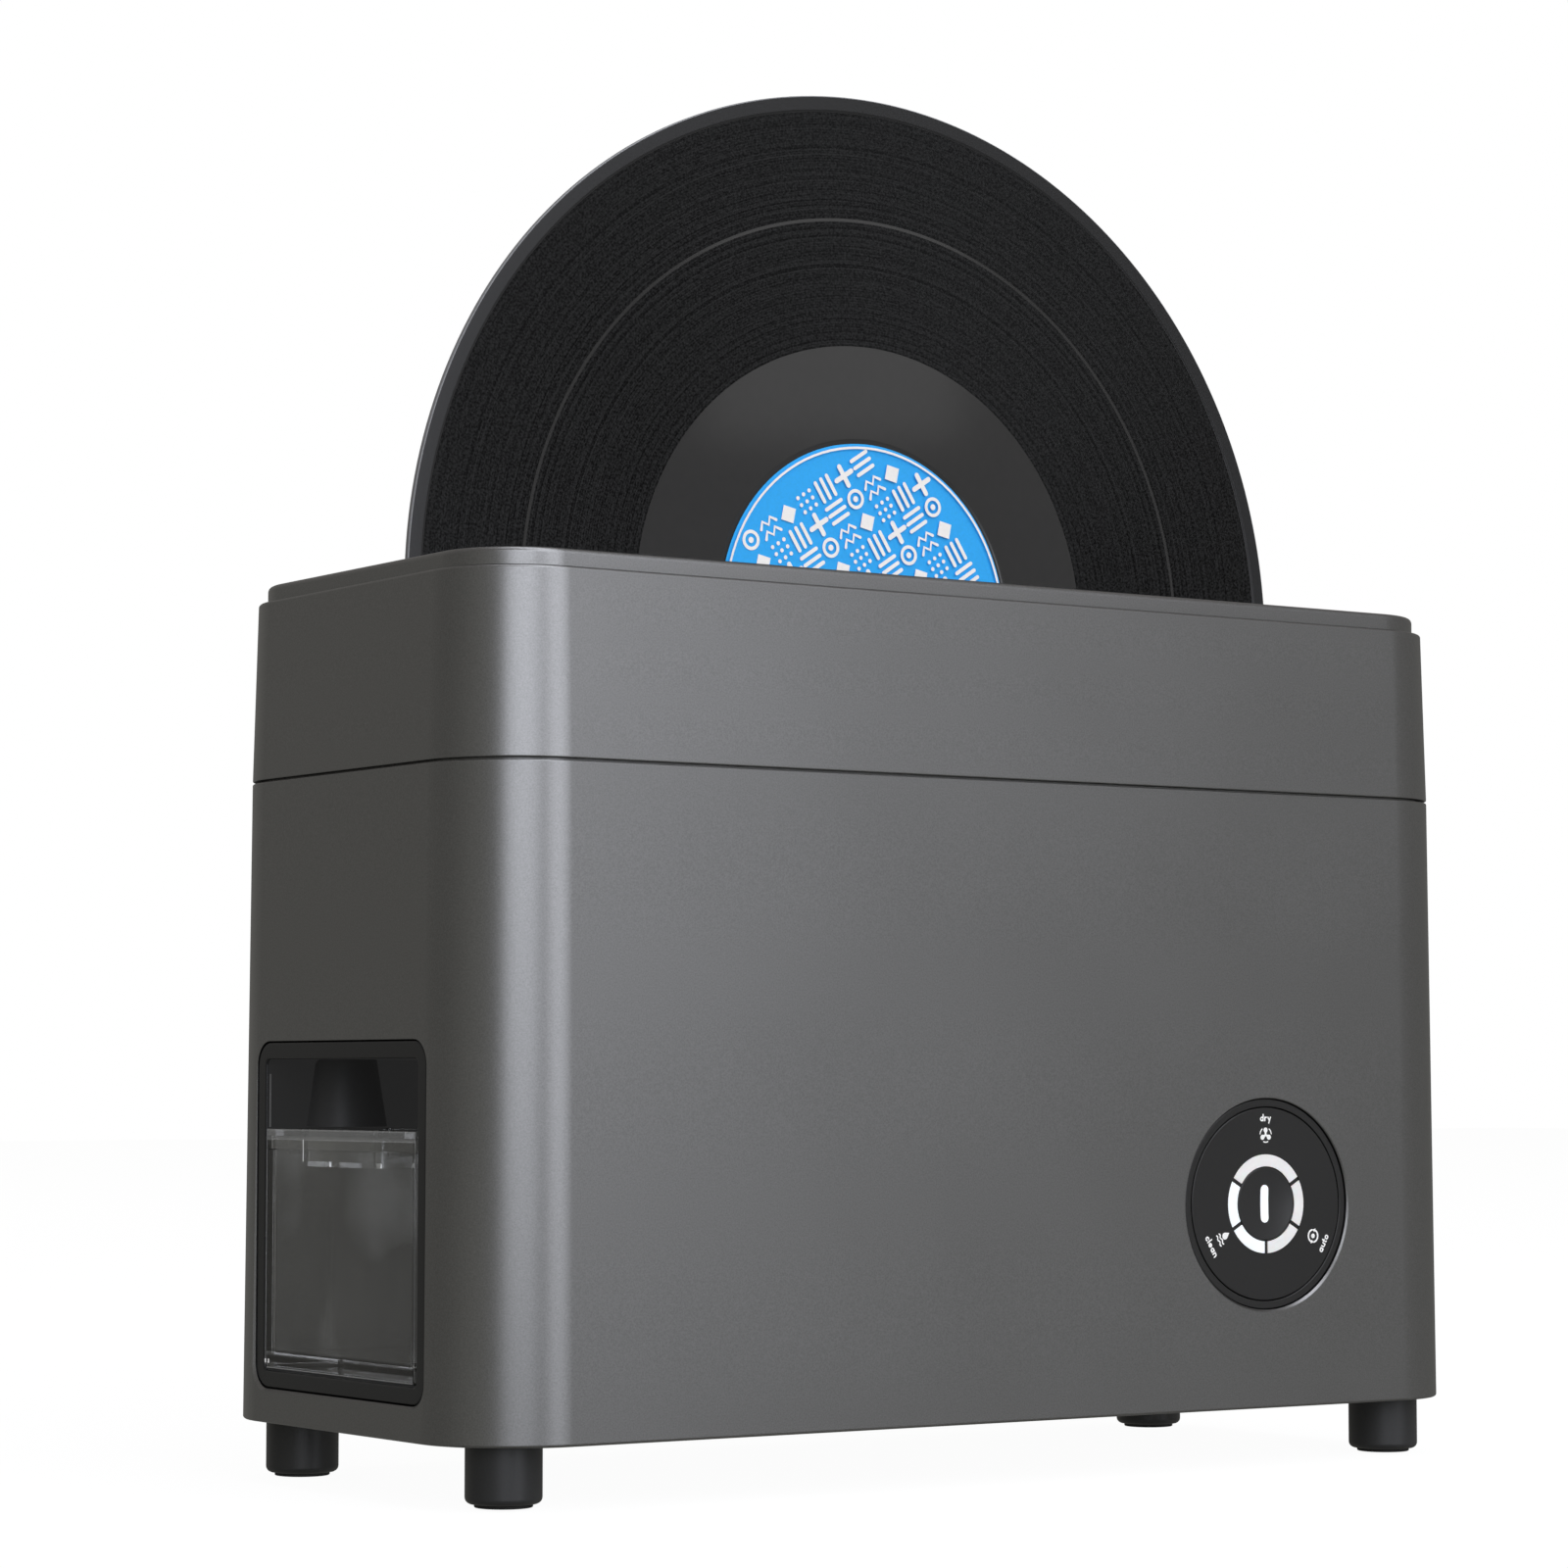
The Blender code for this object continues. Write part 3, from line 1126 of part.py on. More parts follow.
def blade_outline():
    """Return the star of curved blades round the impeller's hub, in the XZ plane."""
    points = []
    pitch = 2 * math.pi / IMPELLER_BLADES
    for blade in range(IMPELLER_BLADES):
        ridge = []
        for step in range(BLADE_STEPS + 1):
            share = step / BLADE_STEPS
            radius = IMPELLER_HUB_RADIUS + (IMPELLER_RADIUS - IMPELLER_HUB_RADIUS) * share
            half = BLADE_THICKNESS / (2 * radius)
            ridge.append((radius, blade * pitch - BLADE_SWEEP * share**2, half))
        sides = [(radius, angle - half) for radius, angle, half in ridge]
        sides += [(radius, angle + half) for radius, angle, half in reversed(ridge)]
        for radius, angle in sides:
            points.append((BLOWER_X + radius * math.cos(angle), BLOWER_Z + radius * math.sin(angle)))
    return points


def make_impeller(place, side, floor):
    """Build an impeller: a back plate, a cup over the motor boss and curved blades."""
    near = floor + IMPELLER_FLOOR_GAP
    far = near + IMPELLER_LENGTH
    impeller = slab_between(blade_outline(), side, near + IMPELLER_PLATE / 2, far)
    centre = (BLOWER_X, BLOWER_Z)
    for start, end, radius in (
        (near, near + IMPELLER_PLATE, IMPELLER_RADIUS),
        (near, far - IMPELLER_PLATE, IMPELLER_HUB_RADIUS),
    ):
        start_place = (centre[0], across(side, start), centre[1])
        end_place = (centre[0], across(side, end), centre[1])
        join(impeller, rod(start_place, end_place, radius, MEDIUM_STEPS))
    cup_start = (centre[0], across(side, near - OVERRUN), centre[1])
    cup_end = (centre[0], across(side, floor + BLOWER_BOSS_LENGTH + GAP), centre[1])
    cut(impeller, rod(cup_start, cup_end, BLOWER_BOSS_RADIUS + IMPELLER_GAP, MEDIUM_STEPS))
    return finish(impeller, place + "_impeller", "gear_plastic")


def side_ring(half_width, low, high, radius, x):
    """Return a rounded rectangle in the YZ plane at x."""
    middle = (low + high) / 2
    outline = rounded_outline(half_width, (high - low) / 2, radius, SMALL_CORNER_STEPS, (0, middle))
    return [(x, along, up) for along, up in outline]


def bay_front():
    """Return the x of the bezel's front face."""
    return -BODY_WIDTH / 2 + BEZEL_RECESS


def bay_opening():
    """Return the half width, the low and the high side of the bay's opening."""
    return BEZEL_HALF_WIDTH - BEZEL_BORDER, BEZEL_LOW + BEZEL_BORDER, BEZEL_HIGH - BEZEL_BORDER


def make_tank_bay():
    """Build the bay: a bezel in the left wall, a box behind it, guide ribs and two hose ports."""
    half, low, high = bay_opening()
    front = bay_front()
    bezel_back = front + BEZEL_DEPTH
    back = front + BAY_DEPTH
    skin = BAY_WALL
    rings = [
        side_ring(half, low, high, BAY_CORNER, back),
        side_ring(half, low, high, BAY_CORNER, front),
        side_ring(BEZEL_HALF_WIDTH, BEZEL_LOW, BEZEL_HIGH, BEZEL_CORNER, front),
        side_ring(BEZEL_HALF_WIDTH, BEZEL_LOW, BEZEL_HIGH, BEZEL_CORNER, bezel_back),
        side_ring(half + skin, low - skin, high + skin, BAY_CORNER + skin, bezel_back),
        side_ring(half + skin, low - skin, high + skin, BAY_CORNER + skin, back + skin),
    ]
    bay = loft(rings)
    rib_low = TANK_TOP + OVERRUN
    for side in (-1, 1):
        foot = (BAY_RIB_X, side * (half + BAY_RIB_SINK), rib_low)
        head = (BAY_RIB_X, side * (half + BAY_RIB_SINK), high + skin / 2)
        rib = rod(foot, head, BAY_RIB_FOOT_RADIUS, MEDIUM_STEPS, BAY_RIB_TOP_RADIUS)
        keep_half = half + skin / 2
        trim_y = sorted((side * keep_half, side * (keep_half + BAY_RIB_FOOT_RADIUS * 2)))
        trim_low = (BAY_RIB_X - BAY_RIB_FOOT_RADIUS * 2, trim_y[0], rib_low - OVERRUN)
        trim_high = (BAY_RIB_X + BAY_RIB_FOOT_RADIUS * 2, trim_y[1], high + BEZEL_BORDER)
        cut(rib, box(trim_low, trim_high))
        join(bay, rib)
        port_root = (back + skin / 2, side * PORT_Y, PORT_HEIGHT)
        port_end = (back + skin + PORT_LENGTH, side * PORT_Y, PORT_HEIGHT)
        join(bay, rod(port_root, port_end, PORT_RADIUS))
        bore_root = (back - OVERRUN, side * PORT_Y, PORT_HEIGHT)
        bore_end = (back + skin + PORT_LENGTH + OVERRUN, side * PORT_Y, PORT_HEIGHT)
        cut(bay, rod(bore_root, bore_end, PORT_BORE))
    return finish(bay, "tank_bay", "black_plastic")


def make_tank():
    """Build the clear tank, its lid with the finger grip, its valve and its filter."""
    half, low, _ = bay_opening()
    half -= TANK_SIDE_GAP
    low += TANK_SIDE_GAP
    front = bay_front()
    back = front + BAY_DEPTH - TANK_REAR_GAP
    body_top = TANK_TOP - LID_THICKNESS - GAP
    skirt_low = TANK_TOP - LID_SKIRT
    neck = LID_SKIRT_WALL + GAP
    rings = [
        side_low_ring(half - TANK_EDGE, front + TANK_EDGE, back - TANK_EDGE, TANK_CORNER, low),
        side_low_ring(half, front, back, TANK_CORNER, low + TANK_EDGE),
        side_low_ring(half, front, back, TANK_CORNER, skirt_low - GAP),
        side_low_ring(half - neck, front + neck, back - neck, TANK_CORNER, skirt_low - GAP),
        side_low_ring(half - neck, front + neck, back - neck, TANK_CORNER, body_top),
        side_low_ring(half - TANK_WALL, front + TANK_WALL, back - TANK_WALL, TANK_CORNER, body_top),
        side_low_ring(half - TANK_WALL, front + TANK_WALL, back - TANK_WALL, TANK_CORNER, low + TANK_FLOOR),
    ]
    tank = loft(rings)
    hole_start = (back - TANK_WALL - OVERRUN, PORT_Y, PORT_HEIGHT)
    hole_end = (back + OVERRUN, PORT_Y, PORT_HEIGHT)
    cut(tank, rod(hole_start, hole_end, VALVE_STEM_RADIUS + GAP))
    finish(tank, "tank_body", "clear_plastic")

    lid_rings = [
        side_low_ring(half, front, back, TANK_CORNER, TANK_TOP),
        side_low_ring(half, front, back, TANK_CORNER, skirt_low),
        side_low_ring(half - LID_SKIRT_WALL, front + LID_SKIRT_WALL, back - LID_SKIRT_WALL, TANK_CORNER, skirt_low),
        side_low_ring(
            half - LID_SKIRT_WALL,
            front + LID_SKIRT_WALL,
            back - LID_SKIRT_WALL,
            TANK_CORNER,
            TANK_TOP - LID_THICKNESS,
        ),
    ]
    lid = loft(lid_rings)
    grip_front = front + TANK_WALL + GAP + GRIP_SETBACK
    grip_back = grip_front + GRIP_LENGTH
    grip_low = TANK_TOP - GRIP_DEPTH
    pocket_top = TANK_TOP - LID_THICKNESS / 2
    pocket_low = (grip_front - GRIP_WALL, -GRIP_HALF_WIDTH - GRIP_WALL, grip_low - GRIP_WALL)
    pocket_high = (grip_back + GRIP_WALL, GRIP_HALF_WIDTH + GRIP_WALL, pocket_top)
    join(lid, box(pocket_low, pocket_high))
    cavity_low = (grip_front, -GRIP_HALF_WIDTH, grip_low)
    cavity_high = (grip_back, GRIP_HALF_WIDTH, TANK_TOP + OVERRUN)
    cut(lid, box(cavity_low, cavity_high))
    finish(lid, "tank_lid", "clear_plastic")

    inside = back - TANK_WALL - GAP
    valve_profile = (
        (0, BAY_DEPTH + front - GAP),
        (VALVE_STEM_RADIUS, BAY_DEPTH + front - GAP),
        (VALVE_STEM_RADIUS, inside),
        (VALVE_FLANGE_RADIUS, inside),
        (VALVE_FLANGE_RADIUS, inside - VALVE_FLANGE_DEPTH),
        (0, inside - VALVE_FLANGE_DEPTH),
    )
    valve = turned(valve_profile, (0, PORT_Y, PORT_HEIGHT), (1, 0, 0), SMALL_STEPS)
    finish(valve, "tank_valve", "black_plastic")
    filter_foot = (back - TANK_WALL - FILTER_SETBACK, -PORT_Y, low + TANK_FLOOR + GAP)
    foam = rod(filter_foot, raised(filter_foot, FILTER_HEIGHT), FILTER_RADIUS, MEDIUM_STEPS)
    finish(foam, "tank_filter", "filter_foam")


def side_low_ring(half_width, front, back, radius, height):
    """Return the tank's outline at a height, between its front and back faces."""
    middle = (front + back) / 2
    outline = rounded_outline((back - front) / 2, half_width, radius, SMALL_CORNER_STEPS, (middle, 0))
    return [(sideways, along, height) for sideways, along in outline]


def panel_face():
    """Return how far the panel's face lies in front of the middle plane."""
    return -front_face_y(PANEL_Z) - PANEL_SETBACK


def panel_turned(profile, steps, closed=False):
    """Return a piece turned about the panel's axis. The profile is measured forward from the middle plane."""
    return turned(profile, (PANEL_X, 0, PANEL_Z), (0, -1, 0), steps, closed)


def make_panel():
    """Build the panel's ring, disc and light guide, and the board with its switch and socket."""
    face = panel_face()
    outer = PANEL_RADIUS - GAP
    inner = outer - PANEL_RING_WIDTH
    flange_front = -front_face_y(PANEL_Z) - WALL - GAP
    flange_back = flange_front - PANEL_FLANGE_DEPTH
    disc_back = face - PANEL_DISC_DEPTH
    ledge_front = disc_back - GAP
    ledge_back = ledge_front - PANEL_FLANGE_DEPTH
    ring_back = face - PANEL_RING_DEPTH
    ring_profile = (
        (inner, face),
        (outer, face),
        (outer, flange_front),
        (outer + PANEL_FLANGE_WIDTH, flange_front),
        (outer + PANEL_FLANGE_WIDTH, flange_back),
        (outer, flange_back),
        (outer, ring_back),
        (inner, ring_back),
        (inner, ledge_back),
        (inner - PANEL_LEDGE_WIDTH, ledge_back),
        (inner - PANEL_LEDGE_WIDTH, ledge_front),
        (inner, ledge_front),
    )
    finish(panel_turned(ring_profile, ROUND_STEPS, closed=True), "panel_ring", "black_plastic")

    hole = LIGHT_OUTER + GAP
    disc_profile = ((hole, face), (inner - GAP, face), (inner - GAP, disc_back), (hole, disc_back))
    finish(panel_turned(disc_profile, ROUND_STEPS, closed=True), "panel_disc", "panel_black")

    light_back = disc_back - GAP - LIGHT_FLANGE_DEPTH
    light_profile = (
        (LIGHT_INNER, face),
        (LIGHT_OUTER, face),
        (LIGHT_OUTER, disc_back - GAP),
        (LIGHT_OUTER + LIGHT_FLANGE, disc_back - GAP),
        (LIGHT_OUTER + LIGHT_FLANGE, light_back),
        (LIGHT_INNER, light_back),
    )
    guide = panel_turned(light_profile, ROUND_STEPS, closed=True)
    for degrees in LIGHT_DIVIDER_DEGREES:
        groove_low = (-LIGHT_GROOVE_WIDTH / 2, -face - OVERRUN, LIGHT_INNER - OVERRUN)
        groove_high = (LIGHT_GROOVE_WIDTH / 2, -face + LIGHT_GROOVE_DEPTH, LIGHT_OUTER + OVERRUN)
        groove = box(groove_low, groove_high)
        groove.rotation_euler = (0, math.radians(degrees), 0)
        groove.location = (PANEL_X, 0, PANEL_Z)
        cut(guide, groove)
    finish(guide, "light_guide", "light_white")

    board_front = ring_back - GAP
    board_back = board_front - BOARD_THICKNESS
    board_start = (PANEL_X, -board_front, PANEL_Z)
    board_end = (PANEL_X, -board_back, PANEL_Z)
    board = rod(board_start, board_end, outer, MEDIUM_STEPS)
    socket_z = PANEL_Z - SOCKET_DROP
    board_middle = (board_front + board_back) / 2
    socket_low = (PANEL_X - SOCKET_HALF_WIDTH, -board_middle, socket_z - SOCKET_HALF_HEIGHT)
    socket_high = (PANEL_X + SOCKET_HALF_WIDTH, -board_back + SOCKET_DEPTH, socket_z + SOCKET_HALF_HEIGHT)
    join(board, box(socket_low, socket_high))
    finish(board, "control_board", "circuit_board")

    switch_back = board_front + GAP
    switch_low = (PANEL_X - SWITCH_HALF, -switch_back - SWITCH_HEIGHT, PANEL_Z - SWITCH_HALF)
    switch_high = (PANEL_X + SWITCH_HALF, -switch_back, PANEL_Z + SWITCH_HALF)
    finish(box(switch_low, switch_high), "button_switch", "black_plastic")
    return make_start_button(face, switch_back + SWITCH_HEIGHT)


def make_start_button(face, switch_front):
    """Build the dished push button that slides inside the light guide."""
    radius = LIGHT_INNER - GAP
    stem_end = switch_front + BUTTON_TRAVEL + GAP
    cap_back = face - BUTTON_DISH - BUTTON_CAP
    dish = []
    for step in range(SMALL_CORNER_STEPS + 1):
        share = step / SMALL_CORNER_STEPS
        dish.append((radius * share, face - BUTTON_DISH * (1 - share**2)))
    profile = [
        *dish,
        (radius, face - BUTTON_SKIRT),
        (radius - BUTTON_SKIRT_WALL, face - BUTTON_SKIRT),
        (radius - BUTTON_SKIRT_WALL, cap_back),
        (BUTTON_STEM_RADIUS, cap_back),
        (BUTTON_STEM_RADIUS, stem_end),
        (0, stem_end),
    ]
    return finish(panel_turned(profile, ROUND_STEPS), "start_button", "panel_black")


def make_transducers():
    """Build the two ultrasonic transducers on the bath's front wall."""
    start = BATH_OUTER + GAP
    plate, neck, stack, end = (start + length for length in TRANSDUCER_LENGTHS)
    profile = (
        (0, end),
        (TRANSDUCER_BELL, end),
        (TRANSDUCER_BELL, stack),
        (TRANSDUCER_STACK, stack),
        (TRANSDUCER_STACK, neck),
        (TRANSDUCER_NECK, neck),
        (TRANSDUCER_RADIUS, plate),
        (TRANSDUCER_RADIUS, start),
        (0, start),
    )
    for name, side in (("transducer_left", -1), ("transducer_right", 1)):
        centre = (side * TRANSDUCER_X, RECORD_Y, TRANSDUCER_Z)
        finish(turned(profile, centre, (0, -1, 0), MEDIUM_STEPS), name, "aluminium")


def make_driver_board():
    """Build the ultrasonic driver board with its heat sink, coil and capacitors."""
    low = BASE_TOP + DRIVER_STANDOFF + GAP
    top = low + BOARD_THICKNESS
    board_low = (DRIVER_X - DRIVER_HALF_LENGTH, DRIVER_Y - DRIVER_HALF_WIDTH, low)
    board_high = (DRIVER_X + DRIVER_HALF_LENGTH, DRIVER_Y + DRIVER_HALF_WIDTH, top)
    board = box(board_low, board_high)
    root = low + BOARD_THICKNESS / 2
    sink_x = DRIVER_X - DRIVER_HALF_LENGTH + DRIVER_STANDOFF_INSET
    sink_y = DRIVER_Y + DRIVER_HALF_WIDTH - SINK_DEPTH
    sink = box((sink_x, sink_y, root), (sink_x + SINK_LENGTH, sink_y + SINK_DEPTH, top + SINK_HEIGHT))
    pitch = SINK_LENGTH / (SINK_FINS + 1)
    for fin in range(SINK_FINS):
        middle = sink_x + pitch * (fin + 1)
        slot_low = (middle - SINK_FIN_GAP / 2, sink_y + SINK_DEPTH / 3, root + BOARD_THICKNESS)
        slot_high = (middle + SINK_FIN_GAP / 2, sink_y + SINK_DEPTH + OVERRUN, top + SINK_HEIGHT + OVERRUN)
        cut(sink, box(slot_low, slot_high))
    coil_x = DRIVER_X + DRIVER_HALF_LENGTH / 2
    coil_low = (coil_x - COIL_HALF, DRIVER_Y - COIL_HALF, root)
    coil_high = (coil_x + COIL_HALF, DRIVER_Y + COIL_HALF, top + COIL_HEIGHT)
    coil = box(coil_low, coil_high)
    join(board, sink, coil)
    for index in range(2):
        foot = (sink_x + CAPACITOR_RADIUS * (1 + index * 3), DRIVER_Y - DRIVER_HALF_WIDTH / 2, root)
        join(board, rod(foot, raised(foot, CAPACITOR_HEIGHT), CAPACITOR_RADIUS))
    return finish(board, "driver_board", "circuit_board")


def make_pump():
    """Build the pump that lifts the tank's water into the bath, lying on a saddle."""
    centre_z = BASE_SEAT + PUMP_HEAD_RADIUS
    half = (PUMP_HEAD_LENGTH + PUMP_MOTOR_LENGTH) / 2
    split = -half + PUMP_HEAD_LENGTH
    profile = (
        (0, half),
        (PUMP_MOTOR_RADIUS, half),
        (PUMP_MOTOR_RADIUS, split),
        (PUMP_HEAD_RADIUS, split),
        (PUMP_HEAD_RADIUS, -half),
        (PUMP_NIPPLE_RADIUS, -half),
        (PUMP_NIPPLE_RADIUS, -half - PUMP_NIPPLE_LENGTH),
        (0, -half - PUMP_NIPPLE_LENGTH),
    )
    pump = turned(profile, (PUMP_X, PUMP_Y, centre_z), (1, 0, 0), MEDIUM_STEPS)
    saddle_low = (PUMP_X - half + PUMP_HEAD_LENGTH / 2, PUMP_Y - PUMP_SADDLE_HALF, BASE_SEAT)
    saddle_high = (PUMP_X + half - PUMP_HEAD_LENGTH / 2, PUMP_Y + PUMP_SADDLE_HALF, centre_z)
    join(pump, box(saddle_low, saddle_high))
    outlet = (PUMP_X - half + PUMP_HEAD_LENGTH / 2, PUMP_Y, centre_z)
    outlet_top = raised(outlet, PUMP_HEAD_RADIUS + PUMP_NIPPLE_LENGTH)
    join(pump, rod(outlet, outlet_top, PUMP_NIPPLE_RADIUS))
    finish(pump, "pump", "black_plastic")
    inlet = (PUMP_X - half - PUMP_NIPPLE_LENGTH, PUMP_Y, centre_z)
    return inlet, outlet_top


def make_drain_valve():
    """Build the solenoid valve that lets the bath drain back to the tank."""
    low = (VALVE_X - VALVE_HALF, VALVE_Y - VALVE_HALF, BASE_SEAT)
    high = (VALVE_X + VALVE_HALF, VALVE_Y + VALVE_HALF, BASE_SEAT + VALVE_HEIGHT)
    valve = box(low, high)
    middle = BASE_SEAT + VALVE_HEIGHT / 2
    coil_start = (VALVE_X, VALVE_Y, middle)
    coil_end = (VALVE_X + VALVE_HALF + VALVE_COIL_LENGTH, VALVE_Y, middle)
    join(valve, rod(coil_start, coil_end, VALVE_COIL_RADIUS, MEDIUM_STEPS))
    finish(valve, "drain_valve", "black_plastic")
    return (VALVE_X, VALVE_Y, high[2]), (low[0], VALVE_Y, middle)


def rounded_route(corners):
    """Return the points of a route whose corners are rounded by quadratic curves."""
    corners = [Vector(corner) for corner in corners]
    points = [corners[0]]
    for before, corner, after in zip(corners, corners[1:], corners[2:]):
        back_off = min(HOSE_BEND, (before - corner).length / 2)
        run_on = min(HOSE_BEND, (after - corner).length / 2)
        start = corner + (before - corner).normalized() * back_off
        end = corner + (after - corner).normalized() * run_on
        for step in range(HOSE_STEPS + 1):
            share = step / HOSE_STEPS
            points.append(start.lerp(corner, share).lerp(corner.lerp(end, share), share))
    points.append(corners[-1])
    kept = points[:1]
    for point in points[1:]:
        if (point - kept[-1]).length > GAP:
            kept.append(point)
    return kept


def make_hoses(pump_inlet, pump_outlet, valve_inlet, valve_outlet):
    """Build the hoses between the tank's ports, the pump, the bath and the drain valve."""
    port_x = bay_front() + BAY_DEPTH + BAY_WALL + PORT_LENGTH + GAP
    nipple_z = BATH_FLOOR - NIPPLE_LENGTH - GAP
    turn_z = nipple_z - HOSE_BEND
    supply = [
        (port_x, PORT_Y, PORT_HEIGHT),
        (port_x + HOSE_BEND / 2, PORT_Y, PORT_HEIGHT),
        (pump_inlet[0] - HOSE_BEND / 2, pump_inlet[1], pump_inlet[2]),
        (pump_inlet[0] - GAP, pump_inlet[1], pump_inlet[2]),
    ]
    lift = [
        raised(pump_outlet, GAP),
        (pump_outlet[0], pump_outlet[1], turn_z),
        (-NIPPLE_X, RECORD_Y, turn_z),
        (-NIPPLE_X, RECORD_Y, nipple_z),
    ]
    drain = [
        (NIPPLE_X, RECORD_Y, nipple_z),
        (NIPPLE_X, RECORD_Y, turn_z),
        (valve_inlet[0], valve_inlet[1], turn_z),
        raised(valve_inlet, GAP),
    ]
    back = [
        (valve_outlet[0] - GAP, valve_outlet[1], valve_outlet[2]),
        (valve_outlet[0] - HOSE_BEND, valve_outlet[1], valve_outlet[2]),
        (port_x + HOSE_BEND, -PORT_Y, PORT_HEIGHT),
        (port_x, -PORT_Y, PORT_HEIGHT),
    ]
    routes = (("supply_hose", supply), ("fill_hose", lift), ("drain_hose", drain), ("return_hose", back))
    for name, corners in routes:
        finish(tube(rounded_route(corners), HOSE_RADIUS), name, "silicone_hose")


def carry(name, place, pieces):
    """Hang a moving body's pieces on an empty that stands on its joint's axis."""
    empty = bpy.data.objects.new(name, None)
    empty.location = place
    PARTS.objects.link(empty)
    for piece in pieces:
        piece.parent = empty
        piece.matrix_parent_inverse = Matrix.Translation(-Vector(place))


def named(*names):
    """Return the objects of these names."""
    return [bpy.data.objects[name] for name in names]


def build():
    """Build every piece and hang the moving ones on their axes."""
    make_lower_shell()
    make_upper_shell()
    make_top_cover()
    make_slot_trim()
    make_base_plate()
    make_feet()
    make_rear_vent()
    make_power_inlet()
    make_bath()
    make_record()
    make_roller("drive_roller", 1)
    make_roller("idler_roller", -1)
    make_axle("drive_axle", 1, BRACKET_NEAR + BRACKET_THICKNESS)
    make_axle("idler_axle", -1, BATH_OUTER + AXLE_BOSS_DEPTH)
    make_gears()
    make_motor()
    make_blower("front", -1)
    make_blower("rear", 1)
    make_tank_bay()
    make_tank()
    make_panel()
    make_transducers()
    make_driver_board()
    pump_inlet, pump_outlet = make_pump()
    valve_inlet, valve_outlet = make_drain_valve()
    make_hoses(pump_inlet, pump_outlet, valve_inlet, valve_outlet)

    roller_z = ROLLER_Z
    carry("record_axis", RECORD_CENTRE, named("record", "record_label_front", "record_label_back"))
    carry("drive_axis", (ROLLER_X, RECORD_Y, roller_z), named("drive_roller", "drive_axle", "drive_gear"))
    carry("idler_axis", (-ROLLER_X, RECORD_Y, roller_z), named("idler_roller"))
    carry("motor_axis", (MOTOR_X, RECORD_Y, roller_z), named("motor_pinion"))
    for place in ("front", "rear"):
        carry(place + "_impeller_axis", (BLOWER_X, RECORD_Y, BLOWER_Z), named(place + "_impeller"))
    carry("button_axis", (PANEL_X, -panel_face(), PANEL_Z), named("start_button"))
    tank_place = (bay_front(), 0, PORT_HEIGHT)
    carry("tank_axis", tank_place, named("tank_body", "tank_lid", "tank_valve", "tank_filter"))


build()
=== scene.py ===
"""Looks of a record cleaning machine: finer pieces, materials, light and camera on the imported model."""

import math
from collections import namedtuple

import bmesh
import bpy
from mathutils import Matrix, Vector


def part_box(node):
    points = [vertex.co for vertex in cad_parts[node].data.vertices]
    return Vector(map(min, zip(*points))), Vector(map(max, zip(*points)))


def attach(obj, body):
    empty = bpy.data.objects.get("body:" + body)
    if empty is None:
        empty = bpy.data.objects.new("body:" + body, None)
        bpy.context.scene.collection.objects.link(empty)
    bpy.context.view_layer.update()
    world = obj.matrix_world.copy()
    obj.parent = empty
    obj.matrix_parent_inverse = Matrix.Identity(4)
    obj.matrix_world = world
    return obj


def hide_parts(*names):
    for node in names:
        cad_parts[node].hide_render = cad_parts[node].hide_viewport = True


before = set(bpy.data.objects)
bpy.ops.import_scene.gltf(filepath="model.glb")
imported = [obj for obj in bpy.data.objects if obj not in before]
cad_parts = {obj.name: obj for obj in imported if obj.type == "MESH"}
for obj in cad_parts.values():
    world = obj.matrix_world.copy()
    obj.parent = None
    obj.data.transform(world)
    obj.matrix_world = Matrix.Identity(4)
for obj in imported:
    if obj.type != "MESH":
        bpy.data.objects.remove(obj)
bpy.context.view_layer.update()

MM = 0.001
MICRON = 0.000001
CORNERS = ("front_left", "front_right", "back_left", "back_right")

# Facet counts and shading
CORNER_STEPS = 24
SMALL_CORNER_STEPS = 8
EDGE_STEPS = 5
ROUND_STEPS = 96
RECORD_STEPS = 256
LABEL_STEPS = 128
FINE_ROD_STEPS = 64
COLLAR_STEPS = 48
BORE_STEPS = 32
ROD_STEPS = 24
SLOT_STEPS = 12
VENT_SLOT_STEPS = 6
DISH_STEPS = 16
BAR_STEPS = 32
CAP_STEPS = 8
SEGMENT_STEP = 4
SHARP_ANGLE = math.radians(28)
BUTTON_SHARP_ANGLE = math.radians(40)
RECORD_SHARP_ANGLE = math.radians(60)
NORMAL_WEIGHT = 60

# Clearances and walls, as in the solids
GAP = 0.0003
OVERRUN = 0.001
WALL = 0.0025

# Body shells
BODY_CORNER = 0.0284
LOWER_DRAFT_SHARE = 0.007
UPPER_DRAFT_SHARE = 0.026
SEAM_GAP = 0.0006
LOW_EDGE = 0.0008
SEAM_EDGE = 0.0004
TONGUE_OUT = WALL + GAP
TONGUE_IN = TONGUE_OUT + 0.0012
TONGUE_DEPTH = 0.0040
TONGUE_TAPER = 0.0012
POST_RADIUS = 0.0050
POST_HEIGHT = 0.0160
WINDOW_FLARE = 0.0004
WINDOW_FLARE_GROWTH = WINDOW_FLARE * 3
BATH_WINDOW_MARGIN = 0.0045
BATH_WINDOW_HALF = 0.0103

# Top cover and slot trim
COVER_STEP = 0.0025
COVER_EDGE = 0.0015
COVER_RIM = 0.0050
COVER_DISH = 0.0012
TRIM_WALL = 0.0016
TRIM_FLANGE = 0.0028
TRIM_THICKNESS = 0.0010
TRIM_INNER_EDGE = 0.0009
TRIM_DEPTH = 0.0036
SLOT_HALF_WIDTH = 0.0065

